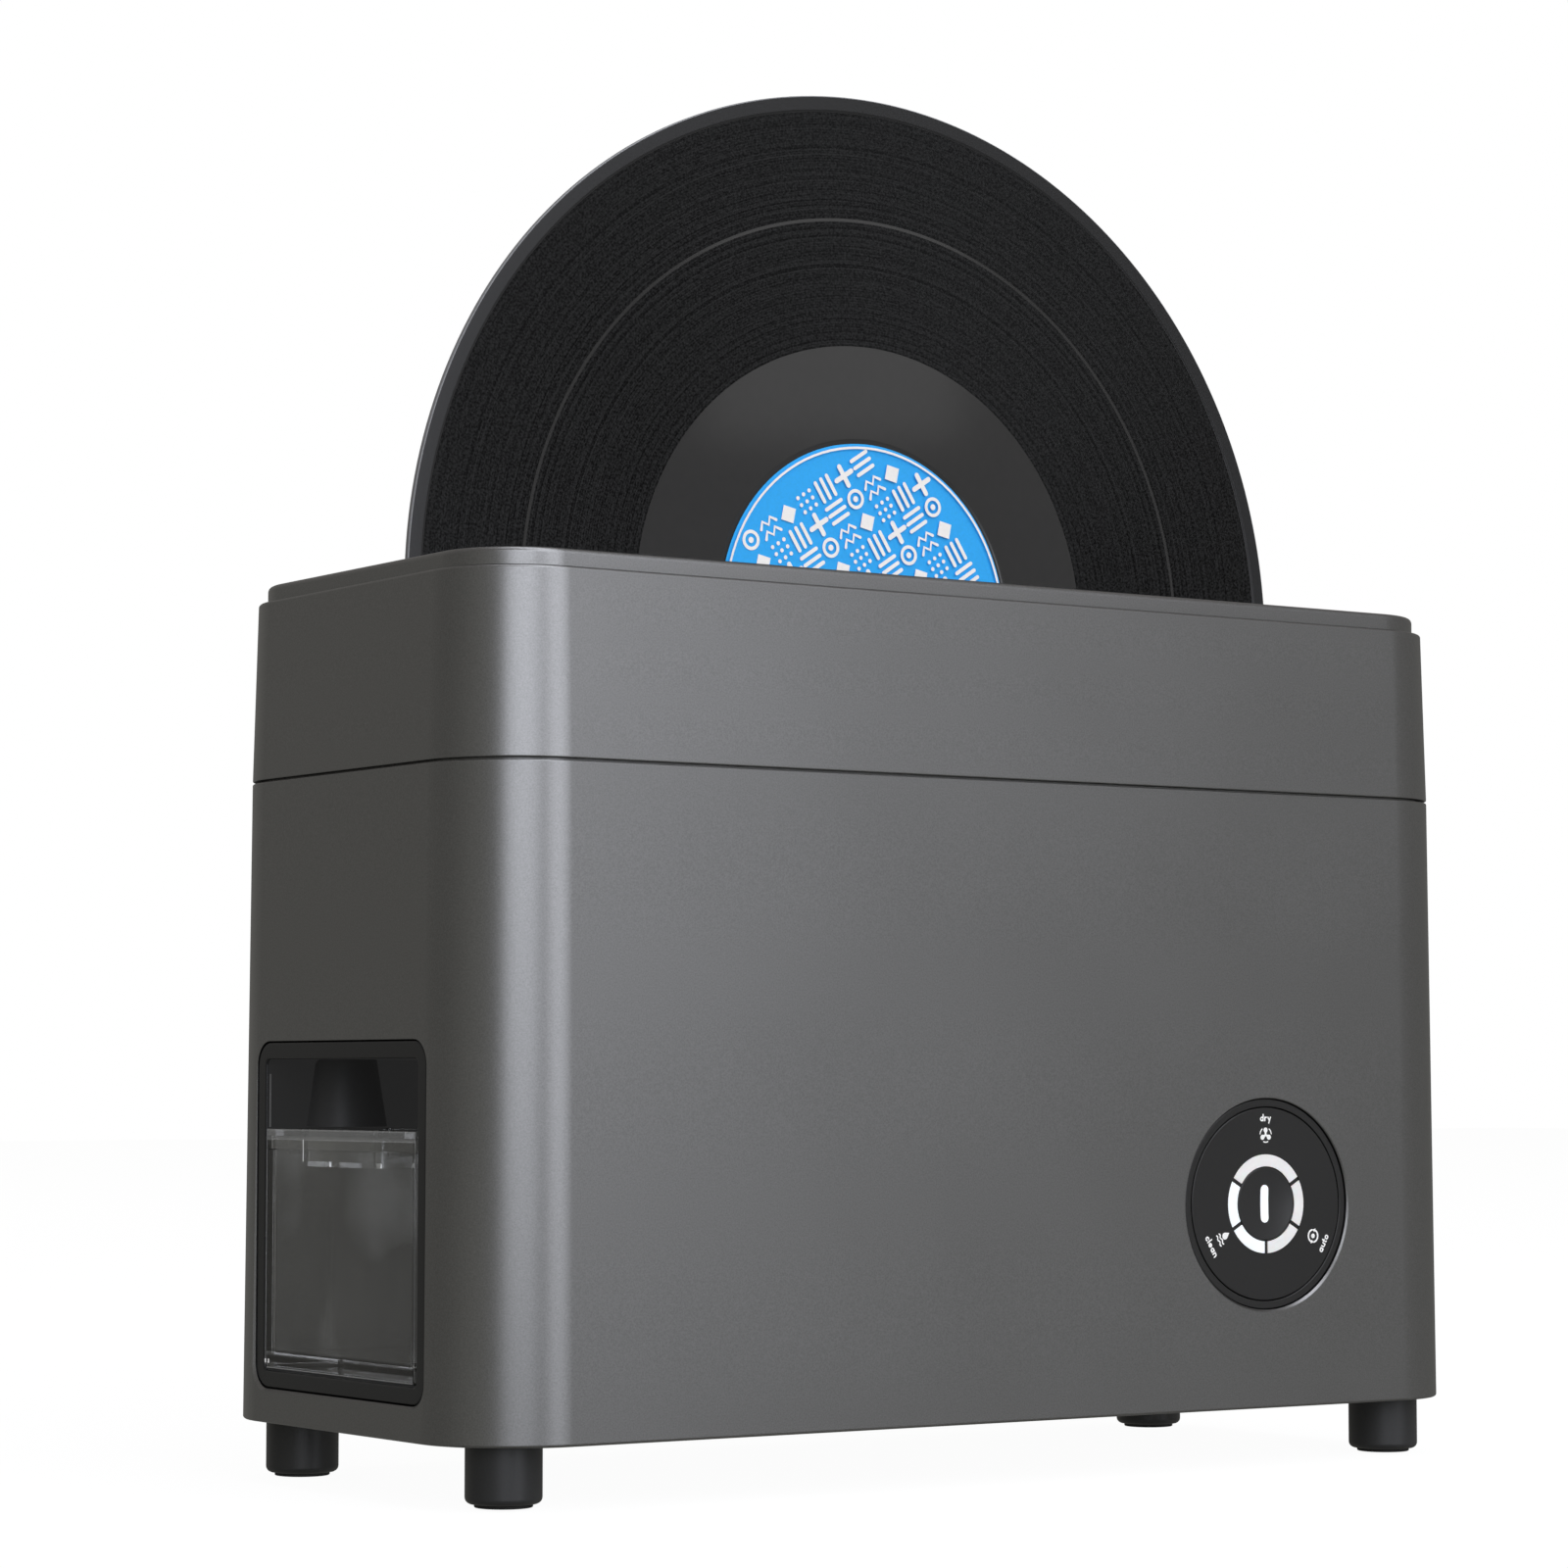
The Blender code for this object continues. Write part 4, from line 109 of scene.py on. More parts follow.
# Record
GROOVE_HALF = 0.0007
LABEL_HALF = 0.00045
LABEL_EDGE = 0.0508
SPINDLE_RADIUS = 0.00362
LEAD_IN_RADIUS = 0.1462
LEAD_IN_RISE = 0.0006
RECORD_FILLET = 0.0003
RIM_EDGE = 0.0005
RIM_HIGHLIGHT_WIDTH = 0.0003
GROOVE_INNER_RADIUS = 0.0783
TRACK_GAP_RADIUS = 0.1149
TRACK_GAP_WIDTH = 0.0009
GROOVE_PITCH = 0.00075
GROOVE_RISE = 0.00002
LABEL_RADIUS = 0.0500
LABEL_HOLE = 0.0042
LABEL_FILLET = 0.00005
PRINT_RISE = 0.00003
LAYER_SHARE = 0.02

# Tank bay
BEZEL_CORNER = 0.0065
BEZEL_BORDER = 0.0046
BEZEL_DEPTH = 0.0028
BEZEL_EDGE = 0.0006
BAY_CORNER = 0.0016
BAY_WALL = 0.0016
BAY_RIB_SETBACK = 0.0245
BAY_RIB_TOP_RADIUS = 0.0093
BAY_RIB_FOOT_RADIUS = 0.0124
BAY_RIB_SINK = 0.0020
BAY_RIB_TRIM = BAY_WALL * 12
BAY_RAIL_BACK = 0.0010
BAY_RAIL_RISE = 0.00025
BAY_RAIL_WIDTH = 0.0004
BAY_RAIL_MARGIN = 0.0040
PORT_MARGIN = 0.0168
PORT_RISE = 0.0240
PORT_RADIUS = 0.0032
PORT_BORE = 0.0018
PORT_LENGTH = 0.0060

# Tank and lid
TANK_CORNER = 0.0015
TANK_EDGE = 0.0012
TANK_WALL = 0.0023
TANK_FLOOR = 0.0045
LID_SKIRT = 0.0055
LID_THICKNESS = 0.0020
LID_SKIRT_WALL = 0.0012
LID_EDGE = 0.0004
LID_RIB = 0.0009
LID_RIB_DROP = 0.0048
LID_RIB_Y = (0.0245, 0.0315)
GRIP_HALF_WIDTH = 0.0196
GRIP_DEPTH = 0.0087
GRIP_LENGTH = 0.0220
GRIP_WALL = 0.0013
GRIP_SETBACK = 0.0015
GRIP_SHIFT = 0.0022
GRIP_CORNER = 0.0030
VALVE_BORE = 0.0039

# Painted highlights and glints on the clear plastic, and its painted clouds of reflection
LID_BAND = 0.0029
EDGE_STRIP = 0.00003
EDGE_WIDTH = 0.00032
NEAR_EDGE_WIDTH = 0.00012
FLOOR_EDGE_WIDTH = 0.00007
EDGE_INSET = 0.0005
PAINTED_CLOUD_SHARE = 0.055
GRIP_LINE_SHIFT = 0.0030
GLINT_RISE = 0.0022
GLINT_PLACES = (0.0002, 0.0020)
GLINT_SIZE = (0.0007, 0.0011)

# Panel
PANEL_RADIUS = 0.0299
PANEL_CHAMFER = 0.00042
PANEL_RING_WIDTH = 0.0021
PANEL_RING_DEPTH = 0.0110
PANEL_FLANGE_WIDTH = 0.0034
PANEL_FLANGE_DEPTH = 0.0015
PANEL_LEDGE_WIDTH = 0.0016
PANEL_DISC_DEPTH = 0.0025
PANEL_EDGE = 0.00025
LIGHT_OUTER = 0.01395
LIGHT_INNER = 0.01060
LIGHT_FLANGE = 0.0030
LIGHT_FLANGE_DEPTH = 0.0018
LIGHT_GROOVE_WIDTH = 0.0012
LIGHT_GROOVE_DEPTH = 0.0003
LIGHT_SPANS = ((-60, 60), (60, 120), (120, 180), (180, 240), (240, 300))
LIT_SPANS = (3, 4)
BUTTON_DISH = 0.0008
BUTTON_CAP = 0.0015
BUTTON_SKIRT = 0.0055
BUTTON_SKIRT_WALL = 0.0013
BUTTON_STEM_RADIUS = 0.0022
BAR_HALF_WIDTH = 0.00145
BAR_HALF_LENGTH = 0.00535

# Feet
FOOT_EDGE = 0.0017
FOOT_DROP = 0.0009
PAD_SEAT = 0.0001
PAD_EDGE = 0.0003
PAD_RADIUS = 0.00755
PAD_GROOVES = (0.0062, 0.0044, 0.0026)
PAD_GROOVE_WIDTH = 0.0007
PAD_GROOVE_DEPTH = 0.0004

# Rear vent and power inlet
VENT_CORNER = 0.0040
VENT_BORDER = 0.0040
VENT_SLOTS = 8
VENT_SLOT_HEIGHT = 0.0032
VENT_SLOT_CORNER = VENT_SLOT_HEIGHT / 2.01
VENT_SLOT_PITCH = 0.0058
INLET_COLLAR = 0.0055
INLET_BORE = 0.0030
INLET_BORE_DEPTH = 0.0090
INLET_PIN = 0.0010
INLET_PIN_EDGE = 0.0009
INLET_BODY_BORE = 0.0039
INLET_BLOCK = 0.0070
INLET_BLOCK_DEPTH = 0.0100
INLET_SETBACK = 0.0008

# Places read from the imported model
LOWER_LOW, LOWER_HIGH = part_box("lower_shell")
BODY_LOW = LOWER_LOW.z
SEAM = LOWER_HIGH.z
HALF_WIDTH = LOWER_HIGH.x + LOWER_DRAFT_SHARE * LOW_EDGE
HALF_DEPTH = LOWER_HIGH.y + LOWER_DRAFT_SHARE * LOW_EDGE
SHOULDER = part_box("upper_shell")[1].z
COVER_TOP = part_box("top_cover")[1].z
RECORD_LOW, RECORD_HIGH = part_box("record")
RECORD_CENTRE = (RECORD_LOW + RECORD_HIGH) / 2
RECORD_RADIUS = (RECORD_HIGH.z - RECORD_LOW.z) / 2
RIM_HALF = (RECORD_HIGH.y - RECORD_LOW.y) / 2
TRIM_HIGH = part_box("slot_trim")[1]
SLOT_HALF_LENGTH = TRIM_HIGH.x - TRIM_WALL - TRIM_FLANGE
BAY_LOW, BAY_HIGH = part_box("tank_bay")
BAY_FRONT = BAY_LOW.x
BAY_SKIN_BACK = BAY_HIGH.x - PORT_LENGTH
BAY_HALF = BAY_HIGH.y - BEZEL_BORDER
BAY_SILL = BAY_LOW.z + BEZEL_BORDER
BAY_LINTEL = BAY_HIGH.z - BEZEL_BORDER
PORT_Y = BAY_HALF - PORT_MARGIN
PORT_HEIGHT = BODY_LOW + PORT_RISE
TANK_LOW, TANK_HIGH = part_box("tank_body")
TANK_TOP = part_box("tank_lid")[1].z
SKIRT_LOW = TANK_TOP - LID_SKIRT
DISC_LOW, DISC_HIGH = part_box("panel_disc")
PANEL_X = (DISC_LOW.x + DISC_HIGH.x) / 2
PANEL_Z = (DISC_LOW.z + DISC_HIGH.z) / 2
PANEL_FACE = -DISC_LOW.y
VENT_LOW, VENT_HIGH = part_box("rear_vent")
INLET_LOW, INLET_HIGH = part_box("power_inlet")
INLET_X = (INLET_LOW.x + INLET_HIGH.x) / 2
INLET_Z = (INLET_LOW.z + INLET_HIGH.z) / 2

# Shapes


def placed(name, data):
    """Put a new object into the scene."""
    item = bpy.data.objects.new(name, data)
    bpy.context.scene.collection.objects.link(item)
    return item


def made(name, shape, clean=True):
    """Turn a bmesh into an object. Clean ones get merged points and outward faces."""
    if clean:
        bmesh.ops.remove_doubles(shape, verts=shape.verts, dist=MICRON)
        bmesh.ops.recalc_face_normals(shape, faces=shape.faces)
    mesh = bpy.data.meshes.new(name)
    shape.to_mesh(mesh)
    shape.free()
    return placed(name, mesh)


def skin(shape, rows, looped=False):
    """Join rows of points by quads. Each row closes on itself."""
    verts = [[shape.verts.new(point) for point in row] for row in rows]
    following = verts[1:] + verts[:1] if looped else verts[1:]
    count = len(rows[0])
    for near, far in zip(verts, following):
        for index in range(count):
            after = (index + 1) % count
            shape.faces.new((near[index], near[after], far[after], far[index]))
    return verts


def loft(name, rings, looped=False):
    """A solid through rings of equal point count, capped unless looped."""
    shape = bmesh.new()
    verts = skin(shape, rings, looped)
    if not looped:
        shape.faces.new(verts[0][::-1])
        shape.faces.new(verts[-1])
    return made(name, shape)


def lathe(name, profile, centre, axis, steps=ROUND_STEPS, closed=False):
    """A turned piece. The profile holds (radius, along the axis) points."""
    turn = Vector((0, 0, 1)).rotation_difference(Vector(axis)).to_matrix()
    angles = [math.tau * step / steps for step in range(steps)]
    rows = []
    for radius, along in profile:
        ring = [Vector((radius * math.cos(angle), radius * math.sin(angle), along)) for angle in angles]
        rows.append([Vector(centre) + turn @ point for point in ring])
    shape = bmesh.new()
    skin(shape, rows, closed)
    return made(name, shape)


def panel_lathe(name, profile, closed=False):
    """A piece turned about the panel's axis, measured forward."""
    return lathe(name, profile, (PANEL_X, 0, PANEL_Z), (0, -1, 0), closed=closed)


def rod(name, start, end, radius, steps=ROD_STEPS, end_radius=None):
    """A round bar or cone between two points."""
    along = Vector(end) - Vector(start)
    far = radius if end_radius is None else end_radius
    profile = ((0, 0), (radius, 0), (far, along.length), (0, along.length))
    return lathe(name, profile, start, along.normalized(), steps)


def block(name, low, high):
    """A box between two corners."""
    shape = bmesh.new()
    bmesh.ops.create_cube(shape, size=1)
    low, high = Vector(low), Vector(high)
    for vert in shape.verts:
        vert.co = (low + high) / 2 + vert.co * (high - low)
    return made(name, shape)


def filleted(corners, looped=True):
    """A profile's points. A corner (a, b, radius) is rounded, and (a, b) is sharp."""
    points = []
    count = len(corners)
    for index, corner in enumerate(corners):
        here = Vector(corner[:2])
        at_end = not looped and index in (0, count - 1)
        if len(corner) == 2 or at_end:
            points.append(tuple(here))
            continue
        before = Vector(corners[index - 1][:2]) - here
        after = Vector(corners[(index + 1) % count][:2]) - here
        half = before.angle(after) / 2
        reach = corner[2] / math.tan(half)
        middle = here + (before.normalized() + after.normalized()).normalized() * reach / math.cos(half)
        first = here + before.normalized() * reach - middle
        last = here + after.normalized() * reach - middle
        sweep = first.angle_signed(last)
        for step in range(EDGE_STEPS + 1):
            points.append(tuple(middle + Matrix.Rotation(-sweep * step / EDGE_STEPS, 2) @ first))
    return points


def quarter(radius):
    """The (inset, rise) pairs round an edge, from its level end to its upright end."""
    turns = [math.pi / 2 * step / EDGE_STEPS for step in range(EDGE_STEPS + 1)]
    return [(radius * (1 - math.sin(turn)), radius * (1 - math.cos(turn))) for turn in turns]


def rounded(half_a, half_b, radius, steps=SMALL_CORNER_STEPS, centre=(0, 0)):
    """The points of a rounded rectangle, anticlockwise."""
    points = []
    for corner, (side_a, side_b) in enumerate(((1, 1), (-1, 1), (-1, -1), (1, -1))):
        for step in range(steps + 1):
            angle = math.pi / 2 * (corner + step / steps)
            sideways = side_a * (half_a - radius) + radius * math.cos(angle)
            up = side_b * (half_b - radius) + radius * math.sin(angle)
            points.append((centre[0] + sideways, centre[1] + up))
    return points


def box_outline(low, high, corner, axis, grow=0):
    """The rounded outline of a box along an axis and upward, grown on all sides."""
    half = [(high[side] - low[side]) / 2 + grow for side in (axis, 2)]
    middle = [(high[side] + low[side]) / 2 for side in (axis, 2)]
    return rounded(*half, corner + grow, centre=middle)


def level_ring(half_x, half_y, radius, height, **corners):
    """A rounded rectangle at a height."""
    return [(x, y, height) for x, y in rounded(half_x, half_y, radius, **corners)]


def prism(name, outline, axis, levels):
    """A solid along an axis through copies of an outline. Each level is (place, growth)."""
    middle = [sum(values) / len(outline) for values in zip(*outline)]
    rings = []
    for place, growth in levels:
        ring = []
        for point in outline:
            grown = [value + math.copysign(growth, value - centre) for value, centre in zip(point, middle)]
            grown.insert(axis, place)
            ring.append(grown)
        rings.append(ring)
    return loft(name, rings)


def combine(item, others, operation):
    """Cut other shapes out of an item or join them to it, and delete them."""
    for other in others:
        modifier = item.modifiers.new(operation, "BOOLEAN")
        modifier.operation = operation
        modifier.solver = "EXACT"
        modifier.object = other
    graph = bpy.context.evaluated_depsgraph_get()
    mesh = bpy.data.meshes.new_from_object(item.evaluated_get(graph))
    item.modifiers.clear()
    item.data = mesh
    for other in others:
        bpy.data.objects.remove(other)
    return item


def cut(item, *others):
    """Cut the other shapes out of the item."""
    return combine(item, others, "DIFFERENCE")


def join(item, *others):
    """Join the other shapes onto the item."""
    return combine(item, others, "UNION")


def shade(item, sharp=SHARP_ANGLE):
    """Shade an item smoothly between its sharp edges."""
    item.data.shade_smooth()
    item.data.set_sharp_from_angle(angle=sharp)


def dress(item, body, material, slot, *nodes, sharp=SHARP_ANGLE):
    """Give a piece its looks, its body and the nodes that it replaces. The slot is not used."""
    item.data.materials.clear()
    item.data.materials.append(material)
    shade(item, sharp)
    weighted = item.modifiers.new("weighted_normals", "WEIGHTED_NORMAL")
    weighted.keep_sharp = True
    weighted.weight = NORMAL_WEIGHT
    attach(item, body)
    if nodes:
        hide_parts(*nodes)


def recolour(item, material, chosen):
    """Give another material to the faces whose middles are chosen."""
    item.data.materials.append(material)
    for face in item.data.polygons:
        if chosen(face.center):
            face.material_index = len(item.data.materials) - 1


# Materials

# Fine noise: colour swing share, scale and microns of bump. Wide noise: roughness swing and darkening share
GRAIN_VALUES = "swing_share scale microns rough_swing wide_share stretch"
Grain = namedtuple("Grain", GRAIN_VALUES, defaults=(0, 0, (1, 1, 1)))
PAINT_GRAIN = Grain(0.12, 2400, 4, 0.008, 0.015)
PLASTIC_GRAIN = Grain(0.10, 1500, 10, 0.04, 0.06)
BAY_GRAIN = Grain(0.06, 1300, 6)
EDGE_GRAIN = Grain(0.05, 900, 2)
WIDE_SCALE = 18
NOISE_LOW = 0.3
NOISE_HIGH = 0.7
MIX_FIRST = 6
MIX_SECOND = 7
MIX_RESULT = 2
WHITE = (1, 1, 1)


def add(tree, kind, links=(), **settings):
    """Add a node. links maps its inputs to values or to other nodes' outputs."""
    node = tree.nodes.new(kind)
    for name, value in settings.items():
        setattr(node, name, value)
    for name, value in dict(links).items():
        if isinstance(value, bpy.types.NodeSocket):
            tree.links.new(value, node.inputs[name])
        else:
            node.inputs[name].default_value = value
    return node


def number(tree, operation, *values):
    """The result of a sum with numbers."""
    return add(tree, "ShaderNodeMath", enumerate(values), operation=operation).outputs["Value"]


def vector(tree, operation, *values, result="Vector"):
    """The result of a sum with vectors."""
    return add(tree, "ShaderNodeVectorMath", enumerate(values), operation=operation).outputs[result]


def noise(tree, place, scale, detail):
    """Noise at a place."""
    return add(tree, "ShaderNodeTexNoise", {"Vector": place, "Scale": scale, "Detail": detail}).outputs["Fac"]


def mixed(tree, factor, first, second, blend="MIX"):
    """A mix of two colours."""
    inputs = {"Factor": factor}
    for socket, value in ((MIX_FIRST, first), (MIX_SECOND, second)):
        inputs[socket] = value if isinstance(value, bpy.types.NodeSocket) else (*value, 1)
    return add(tree, "ShaderNodeMix", inputs, data_type="RGBA", blend_type=blend).outputs[MIX_RESULT]


def spread(tree, value, low=NOISE_LOW, high=NOISE_HIGH, to_low=0, to_high=1):
    """A value moved from one range to another."""
    inputs = {"Value": value, "From Min": low, "From Max": high, "To Min": to_low, "To Max": to_high}
    return add(tree, "ShaderNodeMapRange", inputs).outputs["Result"]


def object_place(tree, stretch=(1, 1, 1)):
    """Object coordinates, stretched."""
    place = add(tree, "ShaderNodeTexCoord").outputs["Object"]
    return add(tree, "ShaderNodeMapping", {"Vector": place, "Scale": stretch}).outputs["Vector"]


def feed(tree, socket, value):
    """Link a value to an input of the material's shader."""
    tree.links.new(value, tree.nodes["Principled BSDF"].inputs[socket])


def raise_surface(tree, height, distance, strength=1.0, invert=False):
    """Let a value raise the surface."""
    inputs = {"Strength": strength, "Distance": distance, "Height": height}
    feed(tree, "Normal", add(tree, "ShaderNodeBump", inputs, invert=invert).outputs["Normal"])


def plain(name, colour, roughness, **sockets):
    """A material with uniform values. A colour may be one level of grey."""
    material = bpy.data.materials.new(name)
    material.use_nodes = True
    inputs = material.node_tree.nodes["Principled BSDF"].inputs
    if not isinstance(colour, tuple):
        colour = (colour, colour, colour)
    inputs["Base Color"].default_value = (*colour, 1)
    inputs["Roughness"].default_value = roughness
    for socket, value in sockets.items():
        inputs[socket.replace("_", " ")].default_value = value
    return material


def surface(name, colour, roughness, grain, **sockets):
    """A material with noise in its colour, its roughness and its surface."""
    material = plain(name, colour, roughness, **sockets)
    tree = material.node_tree
    place = object_place(tree, grain.stretch)
    fine = noise(tree, place, grain.scale, detail=3.0)
    broad = noise(tree, place, WIDE_SCALE, detail=2.0)
    middle = Vector(tree.nodes["Principled BSDF"].inputs["Base Color"].default_value[:3])
    swing = grain.swing_share
    level = mixed(tree, spread(tree, fine), middle * (1 - swing), middle * (1 + swing))
    if grain.wide_share:
        darker = mixed(tree, spread(tree, broad), (1 - grain.wide_share,) * 3, WHITE)
        level = mixed(tree, 1, level, darker, "MULTIPLY")
    feed(tree, "Base Color", level)
    if grain.rough_swing:
        limits = (roughness - grain.rough_swing, roughness + grain.rough_swing)
        feed(tree, "Roughness", spread(tree, broad, NOISE_LOW, NOISE_HIGH, *limits))
    raise_surface(tree, fine, grain.microns * MICRON)
    return material


def radial_distance(tree):
    """The distance from the record's axis, in metres."""
    place = add(tree, "ShaderNodeTexCoord").outputs["Object"]
    moved = vector(tree, "SUBTRACT", place, (RECORD_CENTRE.x, 0, RECORD_CENTRE.z))
    return vector(tree, "LENGTH", vector(tree, "MULTIPLY", moved, (1, 0, 1)), result="Value")


def groove_material():
    """Grooved vinyl, which gleams across its fine turns."""
    material = plain("vinyl_grooves", 0.008, 0.42, Anisotropic=0.75, Specular_IOR_Level=0.10)
    tree = material.node_tree
    distance = radial_distance(tree)
    wave = number(tree, "SINE", number(tree, "MULTIPLY", distance, math.tau / GROOVE_PITCH))
    grain = noise(tree, object_place(tree), scale=1500.0, detail=1.0)
    ring = add(tree, "ShaderNodeCombineXYZ", {0: distance}).outputs["Vector"]
    # Random grain, plus noise ring by ring that paints bands of sheen into the tone
    grain_and_sheen_bands = number(tree, "ADD", grain, noise(tree, ring, scale=900.0, detail=3.0))
    shades = ((0.0003, 0.0003, 0.0003), (0.0190, 0.0190, 0.0187))
    feed(tree, "Base Color", mixed(tree, spread(tree, grain_and_sheen_bands, low=0.80, high=1.20), *shades))
    raise_surface(tree, number(tree, "MULTIPLY", wave, grain_and_sheen_bands), GROOVE_RISE, strength=0.5)
    tangent = add(tree, "ShaderNodeTangent", direction_type="RADIAL", axis="Y")
    feed(tree, "Tangent", tangent.outputs["Tangent"])
    return material


def cell_distance(tree, scale, **settings):
    """The distance to the nearest of scattered cell middles."""
    inputs = {"Vector": object_place(tree), "Scale": scale}
    return add(tree, "ShaderNodeTexVoronoi", inputs, **settings).outputs["Distance"]


def foam_material():
    """Open-celled filter foam."""
    material = plain("filter_foam", (0.50, 0.51, 0.50), 0.95)
    tree = material.node_tree
    pores = cell_distance(tree, scale=900.0)
    feed(tree, "Base Color", mixed(tree, spread(tree, pores, 0, 0.7), (0.16, 0.16, 0.16), (0.62, 0.63, 0.62)))
    raise_surface(tree, pores, distance=400 * MICRON)
    return material


def board_material():
    """A circuit board's solder mask over faint copper tracks."""
    material = plain("circuit_board", (0.010, 0.080, 0.030), 0.40, Coat_Weight=0.5)
    tree = material.node_tree
    tracks = cell_distance(tree, scale=420.0, distance="MANHATTAN")
    mask = spread(tree, tracks, low=0.30, high=0.36)
    feed(tree, "Base Color", mixed(tree, mask, (0.016, 0.115, 0.045), (0.008, 0.060, 0.024)))
    raise_surface(tree, mask, distance=40 * MICRON, strength=0.4, invert=True)
    return material


def clear_material():
    """The tank's clear plastic with faint flow marks."""
    material = plain("clear_plastic", (0.93, 0.94, 0.945), 0.05, Transmission_Weight=1.0, IOR=1.50)
    tree = material.node_tree
    flow = noise(tree, object_place(tree, stretch=(1, 1, 0.35)), scale=45.0, detail=2.0)
    feed(tree, "Roughness", spread(tree, flow, to_high=0.02))
    feed(tree, "Base Color", mixed(tree, spread(tree, flow), (0.90, 0.91, 0.92), (0.95, 0.955, 0.955)))
    raise_surface(tree, flow, distance=200 * MICRON, strength=0.25)
    return material


def painted_cloud_material():
    """A faint whitish film in soft clouds on the clear plastic: painted reflection."""
    material = surface("clear_painted_clouds", (0.80, 0.81, 0.82), 0.60, EDGE_GRAIN, Specular_IOR_Level=0.0)
    tree = material.node_tree
    flow = noise(tree, object_place(tree), scale=26.0, detail=2.0)
    feed(tree, "Alpha", spread(tree, flow, low=0.47, high=0.66, to_high=PAINTED_CLOUD_SHARE))
    return material


def clear_edge_highlight(name, alpha):
    """A painted highlight along an edge of the clear plastic, which lets most light through."""
    return surface(name, (0.80, 0.81, 0.82), 0.35, EDGE_GRAIN, Alpha=alpha)


def glow(name, colour, strength):
    """A light guide's milky plastic that glows: lit from behind where a segment is on, and a painted glow
    where it is off.
    """
    light = {"Emission_Strength": strength, "Emission_Color": (*WHITE, 1)}
    depth = {"Subsurface_Weight": 0.2, "Subsurface_Scale": 2 * MM}
    return surface(name, colour, 0.35, Grain(0.02, 700, 4), **depth, **light)


def bay_painted_glow_plastic(name, colour, roughness, specular, emission):
    """A black plastic with a painted glow that stands in for the light which reaches into the bay."""
    light = {"Specular_IOR_Level": specular, "Emission_Strength": emission}
    return surface(name, colour, roughness, BAY_GRAIN, **light)


PAINT = surface("graphite_paint", 0.235, 0.34, PAINT_GRAIN, Metallic=1.0)
BLACK = surface("black_plastic", (0.017, 0.017, 0.0175), 0.40, PLASTIC_GRAIN)
FOOT = surface("foot_plastic", (0.0225, 0.0228, 0.0236), 0.44, PLASTIC_GRAIN)
BEZEL_COLOUR = (0.0150, 0.0154, 0.0164)
BEZEL = surface("bezel_plastic", BEZEL_COLOUR, 0.28, Grain(0.08, 1500, 5, 0.03), Specular_IOR_Level=0.33)
# Painted light in the bay: the inner walls glow, and the ribs glow less, which paints them darker as if in
# shade
BAY_INSIDE_GLOW = bay_painted_glow_plastic("bay_painted_glow_plastic", 0.010, 0.50, 0.15, 0.0165)
BAY_RIB_DIM_GLOW = bay_painted_glow_plastic("bay_rib_painted_dim_glow", (0.028, 0.028, 0.0285), 0.46, 0.30, 0.0062)
# The rails are light grey and glow: painted highlight lines on the bay's inner walls
BAY_RAIL_HIGHLIGHT = bay_painted_glow_plastic("bay_rail_painted_highlight", 0.10, 0.35, 0.5, 0.03)
RIM = surface("vinyl_rim", (0.0225, 0.0225, 0.0230), 0.24, Grain(0.03, 900, 2), Specular_IOR_Level=0.30)
# A lighter line round the record's outer edge: painted highlight
RIM_HIGHLIGHT = surface("vinyl_edge_highlight", (0.220, 0.220, 0.226), 0.30, EDGE_GRAIN)
# Painted highlights: whitish strips along the tank's edges and across the lid's band
EDGE_HIGHLIGHT = clear_edge_highlight("clear_edge_highlight", 0.28)
LID_BAND_HIGHLIGHT = clear_edge_highlight("clear_land_highlight", 0.13)
# Painted reflection: a whitish film in soft clouds on the tank's inner wall
PAINTED_CLOUDS = painted_cloud_material()
# Painted glints, which glow
GLINT = surface("clear_glint", (0.90, 0.90, 0.91), 0.30, EDGE_GRAIN, Alpha=0.85, Emission_Strength=0.20)
PANEL_COLOUR = (0.0185, 0.0182, 0.0180)
PANEL = surface("panel_black", PANEL_COLOUR, 0.34, Grain(0.05, 1800, 3, 0.02, 0.03), Specular_IOR_Level=0.42)
BUTTON = surface("button_black", (0.0235, 0.0235, 0.0240), 0.28, Grain(0.04, 1800, 4, 0.02, 0.03))
RUBBER = surface("rubber", 0.012, 0.78, Grain(0.18, 1200, 20, 0.06, 0.10))
VINYL = surface("vinyl", (0.0305, 0.0300, 0.0295), 0.07, Grain(0.03, 300, 0.5, 0.01, 0.03))
GROOVES = groove_material()
PAPER = surface("label_paper", (0.013, 0.412, 0.930), 0.55, Grain(0.04, 1600, 10, 0.03, 0.02))
PRINT = surface("white_print", (0.96, 0.93, 0.88), 0.5, Grain(0.02, 1600, 4))
# The white print glows faintly: painted light on the print
GLOWING_MARKING = surface("panel_marking", (0.94, 0.93, 0.90), 0.45, Grain(0.02, 1600, 3), Emission_Strength=0.10)
# The unlit segments glow too: a painted glow, since they are no lamp
UNLIT_GLOWING = glow("light_white", (0.940, 0.850, 0.828), 0.11)
LIT = glow("light_lit", 0.92, 0.3)
CLEAR = clear_material()
BATH = surface("bath_plastic", (0.045, 0.046, 0.048), 0.40, Grain(0.10, 1300, 10, 0.05, 0.06))
GEAR = surface("gear_plastic", (0.80, 0.78, 0.72), 0.42, Grain(0.03, 900, 10, 0.05), Subsurface_Weight=0.08)
STEEL_GRAIN = Grain(0.10, 900, 6, 0.06, stretch=(1, 0.08, 1))
STEEL = surface("steel", (0.56, 0.56, 0.57), 0.28, STEEL_GRAIN, Metallic=1.0)
ALUMINIUM_GRAIN = Grain(0.08, 1400, 10, 0.05, stretch=(0.1, 1, 1))
